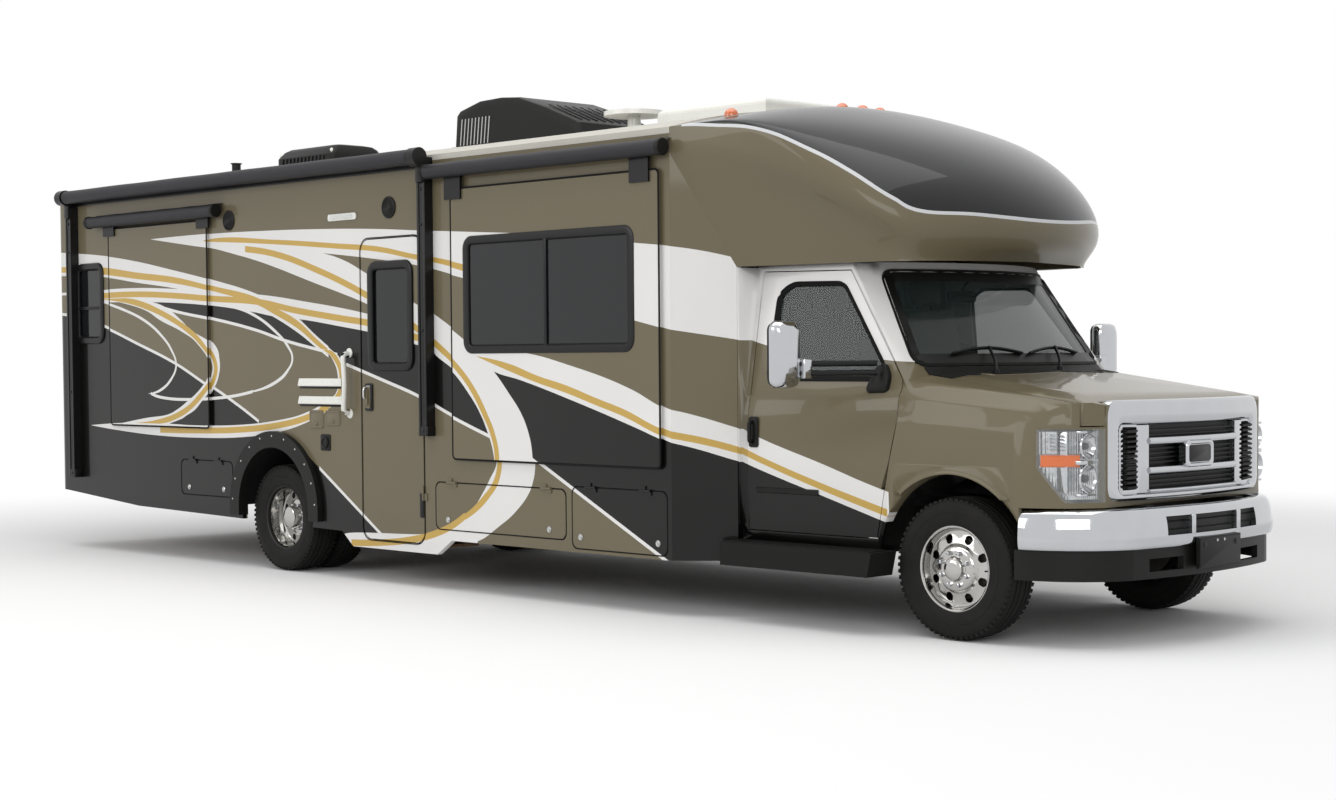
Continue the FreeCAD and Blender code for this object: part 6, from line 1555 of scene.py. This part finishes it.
bm = bmesh.new()
for x0, x1, z0, z1 in ((-1.345, -1.195, 1.00, 1.115), (-1.165, -1.005, 1.02, 1.115)):
    framed(bm, x0, x1, z0, z1, 0.014, ((-0.012, 0.0), (-0.012, 0.005), (-0.006, 0.009),
                                       (0.0, 0.008), (0.004, 0.0)), -1)
    plated(bm, rounded_outline(x0 + 0.012, x1 - 0.012, z0 + 0.012, z1 - 0.012, 0.008),
           0.0, 0.006, on_wall(-1), 2.0)
    plated(bm, rounded_outline((x0 + x1) / 2 - 0.018, (x0 + x1) / 2 + 0.018, z0 + 0.018,
                               z0 + 0.034, 0.006), 0.005, 0.012, on_wall(-1), 2.0)
# Painted plastic hatches: the body's colour, a little duller than the clear-coated wall.
hatch_paint = grained("painted_service_hatch", TAUPE, 0.35, 9, 0.2)
piece("service_hatches", bm, hatch_paint, "root")
bm = bmesh.new()
plated(bm, rounded_outline(-1.225, -1.115, 0.848, 0.958, 0.014), 0.0, 0.006, on_wall(-1), 2.0)
turned(bm, ((0.006, 0.040), (0.016, 0.038), (0.018, 0.030), (0.012, 0.026), (0.012, 0.0001),
            (0.006, 0.0001)), Vector((-1.17, -HALF, 0.903)), -1, 36)
piece("power_inlet", bm, moulded_black, "root", sharp=40)

# ---------------------------------------------------------------- awning and toppers
# middles of the three tubes: (y, z)
AWNING_TUBE, FRONT_TUBE, REAR_TUBE = (-1.370, 2.718), (-1.342, 2.620), (-1.338, 2.512)
bm = bmesh.new()
for x in (-4.455, -0.040):
    end = -1 if x < -2 else 1
    stacked(bm, ringed([(end * (along + 0.010), radius) for along, radius in (
        (-0.030, 0.050), (-0.028, 0.056), (-0.010, 0.058), (0.006, 0.057), (0.012, 0.050),
        (0.013, 0.024), (0.018, 0.020), (0.019, 0.0003))], (x,) + AWNING_TUBE, 40))
piece("awning_end_caps", bm, moulded_black, "root", sharp=40)

bm = bmesh.new()
for x0, x1, z0 in ((-4.479, -4.399, 0.56), (-0.082, -0.002, 0.975)):
    middle = (x0 + x1) / 2
    for x, out in ((x0 + 0.010, 0.005), (x1 - 0.010, 0.005)):
        boxed(bm, (x - 0.010, -1.3320 - out, z0), (x + 0.010, -1.331, 2.690), 2.5)
    boxed(bm, (middle - 0.017, -1.3330, z0 + 0.10), (middle + 0.017, -1.330, 2.640), 1.0)
    boxed(bm, (x0 - 0.006, -1.336, z0 - 0.004), (x1 + 0.006, -1.271, z0 + 0.060), 5.0)
    boxed(bm, (x0 + 0.006, -1.352, 2.560), (x1 - 0.006, -1.330, 2.700), 6.0)
    for z in (z0 + 0.03, z0 + 0.66, 2.30, 2.52):
        turned(bm, ((0.060, 0.011), (0.067, 0.010), (0.070, 0.007), (0.071, 0.0001),
                    (0.060, 0.0001)), Vector((middle, -HALF, z)), -1, 20)
piece("awning_arm_channels", bm, powder_black, "root")

bm = bmesh.new()
RAIL_LOW, RAIL_HIGH = 2.655, 2.690
barred(bm, [[(x, -HALF - out, z) for x in (-4.48, -0.002)] for out, z in (
    (0.0, RAIL_LOW), (0.010, RAIL_LOW), (0.013, RAIL_LOW + 0.010), (0.008, RAIL_LOW + 0.020),
    (0.013, RAIL_HIGH - 0.006), (0.006, RAIL_HIGH), (0.0, RAIL_HIGH))])
piece("awning_wall_rail", bm, powder_black, "root", sharp=30)


def woven_vinyl():
    """Awning cloth: dark laminated vinyl with fine ribs and faint stains."""
    made, tree, shader, place = new_material("woven_awning_vinyl")
    weave = add(tree, "ShaderNodeTexWave", {"Vector": place, "Scale": 1000 / 14},
                bands_direction="X")
    stain = noise(tree, place, 2.0, Detail=4.0)
    surfaced(tree, shader, mixed(tree, stain, linear("#17171a"), linear("#26262a")),
             ranged(tree, stain, 0.42, 0.6), Specular_IOR_Level=0.3)
    bumped(tree, shader, weave.outputs["Fac"], 0.25)
    return made


vinyl = woven_vinyl()


def cloth_roll(name, x0, x1, y, z, radius, tube, tail, slide=None):
    """Cloth wound on its tube: its outer wrap as a slow spiral, and the run up to the rail.

    With a slide named, the cloth is attached to no body and its transform is baked into its mesh."""
    bm = bmesh.new()
    rows = []
    steps = 46
    for k in range(steps + 1):
        a = math.radians(150) - 2 * math.pi * 1.12 * k / steps
        r = radius + 0.0012 + 0.0035 * k / steps
        rows.append((y + r * math.cos(a), z + r * math.sin(a)))
    rows += tail
    line = []
    for across, up in rows:
        line.append([bm.verts.new((x0 + (x1 - x0) * k / 24,
                                   across + 0.0008 * math.sin(k * 2.1 + across * 90), up
                                   + 0.0010 * math.sin(k * 1.3 + up * 60)))
                     for k in range(25)])
    grid_faces(bm, line)
    bmesh.ops.solidify(bm, geom=bm.faces[:], thickness=0.0015)
    cloth = piece(name, bm, vinyl, None if slide else "root", sharp=60)
    if slide:
        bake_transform(cloth)


cloth_roll("patio_awning_cloth", -4.385, -0.095, *AWNING_TUBE, 0.046, "patio_awning",
           [(-1.330, 2.748), (-1.300, 2.720), (-1.284, 2.682)])
cloth_roll("slide_front_topper_cloth", 0.012, 2.108, *FRONT_TUBE, 0.042,
           "slide_front_topper",
           [(-1.305, 2.652), (-1.285, 2.668), (-1.272, 2.676)], "slide_front")
cloth_roll("slide_rear_topper_cloth", -4.108, -2.372, *REAR_TUBE, 0.040,
           "slide_rear_topper",
           [(-1.302, 2.543), (-1.284, 2.560), (-1.272, 2.568)], "slide_rear")
for slide_body, ends, tube, radius in (
        ("slide_front", (0.004, 2.115), FRONT_TUBE, 0.050),
        ("slide_rear", (-4.115, -2.365), REAR_TUBE, 0.048)):
    bm = bmesh.new()
    for x, end in zip(ends, (-1, 1)):
        stacked(bm, ringed([(end * along, size) for along, size in (
            (-0.022, radius - 0.004), (-0.020, radius), (0.004, radius), (0.009, radius - 0.005),
            (0.010, 0.0003))], (x,) + tube, 36))
    piece(slide_body + "_topper_caps", bm, moulded_black, slide_body, sharp=40)

# ---------------------------------------------------------------- arch flares and running boards
bm = bmesh.new()
for side_name, side in SIDES:
    for k in range(11):
        a = math.radians(6 + 168 * k / 10)
        turned(bm, ((0.030, 0.009), (0.037, 0.008), (0.040, 0.005), (0.0405, 0.0001),
                    (0.030, 0.0001)),
               Vector((REAR_X + 0.495 * math.cos(a), side * HALF, 0.430 + 0.505 * math.sin(a))),
               side, 14)
piece("flare_screws", bm, satin_alloy, "root")
for side_name, side in SIDES:
    from_tree("running_board_ribs_" + side_name, slat_tree,
              {"Count": 8, "Spacing": (0, side * 0.0205, 0), "Slat size": (1.04, 0.008, 0.006),
               "First": (2.930, side * 1.035, 0.4425), "Tilt": (0, 0, 0),
               "Finish": moulded_black}, "root")
    # the air conditioner's intake slots
    from_tree("cooler_louvres_" + side_name, slat_tree,
              {"Count": 9, "Spacing": (0.036, 0, 0), "Slat size": (0.010, 0.010, 0.180),
               "First": (-0.830, side * 0.350, 3.000), "Tilt": (0, 0.12, 0),
               "Finish": satin_alloy}, "root")

# ---------------------------------------------------------------- roof
cooler = ((-0.905, 2.878), (-0.884, 3.120), (-0.850, 3.150), (-0.640, 3.200), (-0.430, 3.205),
          (-0.240, 3.190), (0.040, 3.100), (0.320, 2.992), (0.352, 2.975), (0.384, 2.878))
bm = bmesh.new()
rows = []
for y, inset in ((-0.352, 0.050), (-0.352, 0.012), (-0.346, 0.004), (-0.330, 0.0), (0.330, 0.0),
                 (0.346, 0.004), (0.352, 0.012), (0.352, 0.050)):
    rows.append([bm.verts.new((x + (inset if x < -0.3 else -inset) * 0.8, y,
                               max(z - inset, 2.878))) for x, z in cooler])
grid_faces(bm, rows)
capped(bm, rows)
bm.faces.new([row[0] for row in rows] + [row[-1] for row in reversed(rows)])
shroud = piece("cooler_shroud", bm, moulded_black, "root", sharp=38)
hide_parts("air_conditioner")
from_tree("cooler_top_ribs", slat_tree,
          {"Count": 9, "Spacing": (0, 0.070, 0), "Slat size": (0.34, 0.012, 0.006),
           "First": (0.150, -0.280, 3.064), "Tilt": (0, 0.374, 0),
           "Finish": moulded_black}, "root")

# domed acrylic skylight
bm = bmesh.new()
made = skinned(bm, [[(x, y, 2.905 + height) for x, y in
                     rounded_outline(1.60 - 0.43 * share, 1.60 + 0.43 * share, -0.40 * share,
                                     0.40 * share, 0.12 * share)]
                    for share, height in ((1.0, 0.0), (0.985, 0.018), (0.95, 0.040),
                                          (0.88, 0.062), (0.76, 0.080), (0.58, 0.092),
                                          (0.36, 0.098), (0.14, 0.100))], wrap_columns=True)
capped(bm, made[::-1])
piece("skylight_dome", bm, roof_white, "root", sharp=60)
bm = bmesh.new()
for x0, x1, y0, y1, top in ((-2.720, -2.030, -0.580, -0.100, 3.012),
                            (-1.720, -1.230, 0.130, 0.620, 3.000)):
    stacked(bm, [[(x, y, z) for x, y in rounded_outline(x0 + inset * 1.3, x1 - inset * 0.5,
                                                        y0 + inset, y1 - inset, 0.05)]
                 for inset, z in ((0.0, 2.870), (0.0, top - 0.075), (0.030, top - 0.028),
                                  (0.060, top - 0.008), (0.110, top), (0.180, top + 0.002))])
piece("roof_vent_covers", bm, moulded_black, "root")
for tag, y in (("near", -0.583), ("far", -0.097)):
    from_tree("roof_vent_slots_" + tag, slat_tree,
              {"Count": 12, "Spacing": (0.046, 0, 0), "Slat size": (0.016, 0.008, 0.055),
               "First": (-2.630, y, 2.905), "Tilt": (0, 0.2, 0), "Finish": powder_black},
              "root")
bm = bmesh.new()
rodded(bm, [(-3.365, -0.5, 2.86), (-3.365, -0.5, 2.955)], 0.034, 20)
rodded(bm, [(-3.365, -0.5, 2.955), (-3.365, -0.5, 2.962)], 0.043, 20)
piece("plumbing_vent_cap", bm, moulded_black, "root")

# ---------------------------------------------------------------- rear
bm = bmesh.new()
for side_name, side in SIDES:
    for z0, z1 in ((0.80, 0.95), (0.965, 1.115), (1.13, 1.28)):
        skinned(bm, [[(-4.7395 - depth, side * 1.06 + y, z) for y, z in
                      rounded_outline(-0.055 + inset, 0.055 - inset, z0 + inset, z1 - inset,
                                      0.022)]
                     for inset, depth in ((-0.006, 0.0), (-0.006, 0.010), (0.002, 0.017),
                                          (0.008, 0.0165), (0.008, 0.0))],
                wrap_rows=True, wrap_columns=True)
piece("tail_lamp_bezels", bm, chrome, "root")

# ---------------------------------------------------------------- front bumper
bumper_skin = skin_of("front_bumper")
BUMPER_Z = 0.52         # height at which the bumper's plan is taken
plan = []
for k in range(-20, 21):
    plan.append(laid(bumper_skin, (5.4, k * 0.0425, BUMPER_Z), (-1, 0, 0)))
for sign in (-1, 1):
    turns = []
    for degrees in range(38, 87, 6):
        a = math.radians(degrees) * sign
        spot = laid(bumper_skin, (4.0 + 2 * math.cos(a), 2 * math.sin(a), BUMPER_Z),
                    (-math.cos(a), -math.sin(a), 0))
        if abs(spot.y) > 0.875 and spot.x > 4.262:
            turns.append(spot)
    turns.append(Vector((4.252, sign * 1.006, BUMPER_Z)))
    plan = plan + turns if sign > 0 else turns[::-1] + plan
outward = []
for i, p in enumerate(plan):
    run = plan[min(i + 1, len(plan) - 1)] - plan[max(i - 1, 0)]
    outward.append(Vector((run.y, -run.x, 0)).normalized() * (1 if run.y > 0 else -1))
# crowned section: (out, height)
BUMPER_SECTION = ((-0.045, 0.490), (-0.012, 0.491), (-0.004, 0.497), (0.0, 0.510),
                  (0.003, 0.530), (0.004, 0.5535), (0.003, 0.576), (0.0005, 0.600),
                  (-0.004, 0.624), (-0.010, 0.6475), (-0.018, 0.668), (-0.030, 0.684),
                  (-0.046, 0.693), (-0.070, 0.695))
bm = bmesh.new()
rows = [[bm.verts.new((p + way * out).xy.to_3d() + Vector((0, 0, z)))
         for p, way in zip(plan, outward)] for out, z in BUMPER_SECTION]
grid_faces(bm, rows)
bm.normal_update()
slot = [f for f in bm.faces if abs(f.calc_center_median().y) < 0.425
        and 0.5535 < f.calc_center_median().z < 0.6475]
bmesh.ops.delete(bm, geom=slot, context="FACES")
facing(bm, (1, 0, 0))
rim = [e for e in bm.edges if e.is_boundary and all(
    abs(v.co.y) < 0.43 and 0.55 < v.co.z < 0.65 for v in e.verts)]
made = bmesh.ops.extrude_edge_only(bm, edges=rim)
for item in made["geom"]:
    if isinstance(item, bmesh.types.BMVert):
        item.co.x -= 0.030
shell = piece("bumper_shell", bm, chrome, "root", sharp=40, closed=False)
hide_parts("front_bumper")
bm = bmesh.new()
barred(bm, [[(p.x + out, p.y, z) for p in plan if abs(p.y) < 0.44]
            for out, z in ((-0.030, 0.548), (-0.030, 0.575), (-0.024, 0.580), (-0.030, 0.585),
                           (-0.030, 0.615), (-0.024, 0.620), (-0.030, 0.625), (-0.030, 0.652),
                           (-0.034, 0.652), (-0.034, 0.548))])
piece("bumper_slot_back", bm, moulded_black, "root")

bm = bmesh.new()
for y in (-0.215, 0.215):
    boxed(bm, (4.715, y - 0.017, 0.550), (4.763, y + 0.017, 0.650), 6.0, 3)
piece("bumper_slot_dividers", bm, chrome, "root")

# plate bracket: two screws near its top, two larger bolts and its blank face
BRACKET_X = 4.779
bm = bmesh.new()
for y in (-0.034, 0.034):
    stacked(bm, ringed(((0.003, 0.008), (0.006, 0.008), (0.0085, 0.005), (0.009, 0.0002)),
                       (BRACKET_X, y, 0.508), 16))
piece("plate_bracket_screws", bm, satin_alloy, "root")

bm = bmesh.new()
for y in (-0.150, 0.150):
    stacked(bm, ringed(((0.0, 0.016), (0.004, 0.016), (0.006, 0.012), (0.0065, 0.0002)),
                       (BRACKET_X, y, 0.492), 20))
plated(bm, rounded_outline(-0.196, 0.196, 0.376, 0.526, 0.012), 0.0, 0.004,
       lambda u, v, d: (4.7785 + d, u, v), 2.0)
piece("plate_bracket_face", bm, moulded_black, "root")

# ---------------------------------------------------------------- cab furnishings
def puffed(name, bm, voxel, cap, pressure=4.0):
    """Swells a closed form into an upholstered one and returns it as a plain mesh."""
    mesh = bpy.data.meshes.new(name)
    bmesh.ops.recalc_face_normals(bm, faces=bm.faces)
    bm.to_mesh(mesh)
    bm.free()
    made = linked(name, mesh)
    remesh = made.modifiers.new("remesh", "REMESH")
    remesh.mode, remesh.voxel_size = "VOXEL", voxel
    view = bpy.context.evaluated_depsgraph_get()
    made.data = bpy.data.meshes.new_from_object(made.evaluated_get(view), depsgraph=view)
    made.modifiers.remove(remesh)
    start = [v.co.copy() for v in made.data.vertices]
    cloth = made.modifiers.new("cloth", "CLOTH")
    cloth.settings.use_pressure = True
    cloth.settings.uniform_pressure_force = pressure
    cloth.settings.effector_weights.gravity = 0
    cloth.settings.quality = 4
    cloth.point_cache.frame_start, cloth.point_cache.frame_end = 1, 20
    for step in range(1, 21):
        bpy.context.scene.frame_set(step)
    view = bpy.context.evaluated_depsgraph_get()
    swollen = bpy.data.meshes.new_from_object(made.evaluated_get(view), depsgraph=view)
    made.modifiers.remove(cloth)
    made.data = swollen
    for v, before in zip(made.data.vertices, start):
        move = v.co - before
        if move.length > cap:
            v.co = before + move.normalized() * cap
    bpy.context.scene.frame_set(1)
    swollen = made.data
    bpy.data.objects.remove(made)
    return swollen


SEAT_Y = 0.48           # middle of each chair
PAD_FORMS = (   # name, voxel, cap of the swelling, rows of (x from, x to, half width, z, radius)
    ("seat_cushion", 0.007, 0.012,
     ((2.540, 3.020, 0.235, 0.992, 0.06), (2.530, 3.035, 0.245, 1.020, 0.07),
      (2.530, 3.035, 0.245, 1.080, 0.07), (2.545, 3.010, 0.225, 1.108, 0.07))),
    ("seat_back", 0.008, 0.012,
     ((2.530, 2.655, 0.225, 1.118, 0.05), (2.515, 2.655, 0.240, 1.200, 0.05),
      (2.490, 2.625, 0.238, 1.500, 0.05), (2.478, 2.598, 0.225, 1.680, 0.05),
      (2.478, 2.580, 0.180, 1.735, 0.045))),
    ("seat_head_rest", 0.005, 0.008,
     ((2.470, 2.550, 0.110, 1.757, 0.035), (2.464, 2.556, 0.124, 1.800, 0.040),
      (2.462, 2.548, 0.122, 1.880, 0.040), (2.470, 2.538, 0.105, 1.908, 0.030))))
for pad_name, voxel, cap, pad_rows in PAD_FORMS:
    bm = bmesh.new()
    stacked(bm, [[(x, y, z) for x, y in rounded_outline(x0, x1, -half, half, radius, 5)]
                 for x0, x1, half, z, radius in pad_rows])
    swollen = puffed(pad_name, bm, voxel, cap)
    for side_name, side in SIDES:
        mesh = swollen.copy()
        mesh.transform(Matrix.Translation((0, side * SEAT_Y, 0)))
        mesh.materials.clear()
        mesh.materials.append(leather)
        mesh.shade_smooth()
        pad = linked(pad_name + "_" + side_name, mesh)
        smooth = pad.modifiers.new("surface", "SUBSURF")
        smooth.levels = smooth.render_levels = 1
        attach(pad, "root")

for side_name, side in SIDES:
    y = side * SEAT_Y
    # pedestal, head-rest posts and welted seams
    bm = bmesh.new()
    stacked(bm, [[p + (z,) for p in rounded_outline(2.560 - grow, 2.920 + grow,
                                                    y - 0.180 - grow, y + 0.180 + grow, 0.04)]
                 for grow, z in ((0.0, 0.730), (0.0, 0.748), (-0.045, 0.775), (-0.060, 0.900),
                                 (-0.020, 0.965), (0.0, 0.985))])
    for across in (-0.06, 0.06):
        rodded(bm, [(2.510, y + across, 1.715), (2.506, y + across, 1.800)], 0.007, 10)
    piece("seat_pedestal_" + side_name, bm, powder_black, "root")
    bm = bmesh.new()
    welts = [[(x, wy, 1.094) for x, wy in
              rounded_outline(2.535, 3.030, y - 0.240, y + 0.240, 0.07)]]
    for flute in (-0.11, 0.11):
        welts.append([(2.69 + 0.30 * k / 10, y + flute, 1.119) for k in range(11)])
        welts.append([(2.665 - 0.0620 * k / 10, y + flute, 1.17 + 0.50 * k / 10)
                      for k in range(11)])
    for i, line in enumerate(welts):
        rodded(bm, line + (line[:1] if i == 0 else []), 0.0035, 6, i != 0)
    piece("seat_welts_" + side_name, bm, leather, "root")
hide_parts("cab_seats")

# interior mirror on its stalk behind the glass
bm = bmesh.new()
rodded(bm, [(3.205, 0.0, 1.880), (3.165, 0.0, 1.835), (3.150, 0.0, 1.812)], 0.007, 10)
stacked(bm, [[(3.138 + back, y, z) for y, z in
              rounded_outline(-0.125 - grow, 0.125 + grow, 1.752 - grow, 1.816 + grow, 0.026)]
             for back, grow in ((0.0, -0.010), (0.004, 0.0), (0.018, 0.0), (0.026, -0.012))])
piece("interior_mirror", bm, moulded_black, "root")

# ---------------------------------------------------------------- floor, light and camera
def seen_rays(tree):
    """1 for rays of the camera, of gloss and of glass, which all see the background."""
    rays = add(tree, "ShaderNodeLightPath").outputs
    seen = calc(tree, "MAXIMUM", rays["Is Camera Ray"], rays["Is Glossy Ray"])
    return calc(tree, "MAXIMUM", seen, rays["Is Transmission Ray"])


def studio_floor():
    """Matte pale floor round the vehicle that keeps its soft shadow and runs out to white."""
    made, tree, shader, place = new_material("pale_studio_floor")
    tone = mixed(tree, noise(tree, place, 0.05), linear("#efefef"), linear("#f5f5f5"))
    tree.links.new(tone, shader.inputs["Base Color"])
    set_sockets(shader, Roughness=0.9, Specular_IOR_Level=0.1)
    away = add(tree, "ShaderNodeVectorMath", {0: place}, operation="LENGTH")
    far = add(tree, "ShaderNodeMapRange", {"Value": away.outputs["Value"], "From Min": 5.5,
                                           "From Max": 11.0}, interpolation_type="SMOOTHSTEP")
    share = calc(tree, "MULTIPLY", far.outputs[0], seen_rays(tree))
    white = add(tree, "ShaderNodeEmission", {"Color": (1, 1, 1, 1), "Strength": 1.0})
    blend = add(tree, "ShaderNodeMixShader", {0: share, 1: shader.outputs[0],
                                              2: white.outputs[0]})
    tree.links.new(blend.outputs[0], tree.nodes["Material Output"].inputs["Surface"])
    return made


bm = bmesh.new()
bmesh.ops.create_circle(bm, cap_ends=True, segments=64, radius=60)
floor_mesh = bpy.data.meshes.new("studio_floor")
bm.to_mesh(floor_mesh)
bm.free()
floor = linked("studio_floor", floor_mesh)
floor_mesh.materials.append(studio_floor())

world = bpy.data.worlds.new("white_studio")
bpy.context.scene.world = world
world.use_nodes = True
sky = world.node_tree
backdrop = sky.nodes["Background"]
sky.links.new(ranged(sky, seen_rays(sky), 0.55, 1.0), backdrop.inputs["Strength"])
backdrop.inputs["Color"].default_value = (1, 1, 1, 1)

# soft boxes: name, place, aimed at, width, height, watts
for lamp_name, place, aim, width, height, watts in (
        ("overhead_soft_box", (1, -2, 11), (0, 0, 1), 14, 9, 760),
        ("front_soft_box", (12, -11, 6), (2, 0, 1.2), 8, 5, 480),
        ("side_soft_box", (-4, -14, 6), (-1, 0, 1.4), 9, 5, 400)):
    light = bpy.data.lights.new(lamp_name, "AREA")
    light.shape, light.size, light.size_y, light.energy = "RECTANGLE", width, height, watts
    lamp = linked(lamp_name, light)
    lamp.location = place
    lamp.rotation_mode = "QUATERNION"
    lamp.rotation_quaternion = (Vector(aim) - Vector(place)).to_track_quat("-Z", "Y")

yaw, pitch, roll = (math.radians(angle) for angle in (135.616, -1.997, -0.457))
look = Vector((math.cos(yaw) * math.cos(pitch), math.sin(yaw) * math.cos(pitch),
               math.sin(pitch)))
camera = linked("camera", bpy.data.cameras.new("camera"))
camera.location = (10.387, -9.5376, 1.4682)
camera.rotation_mode = "QUATERNION"
camera.rotation_quaternion = (look.to_track_quat("-Z", "Y").to_matrix()
                              @ Matrix.Rotation(roll, 3, "Z")).to_quaternion()
camera.data.lens, camera.data.shift_x, camera.data.shift_y = 56.63, 0.01254, 0.0214
bpy.context.scene.camera = camera
bpy.context.scene.view_settings.view_transform = "Standard"
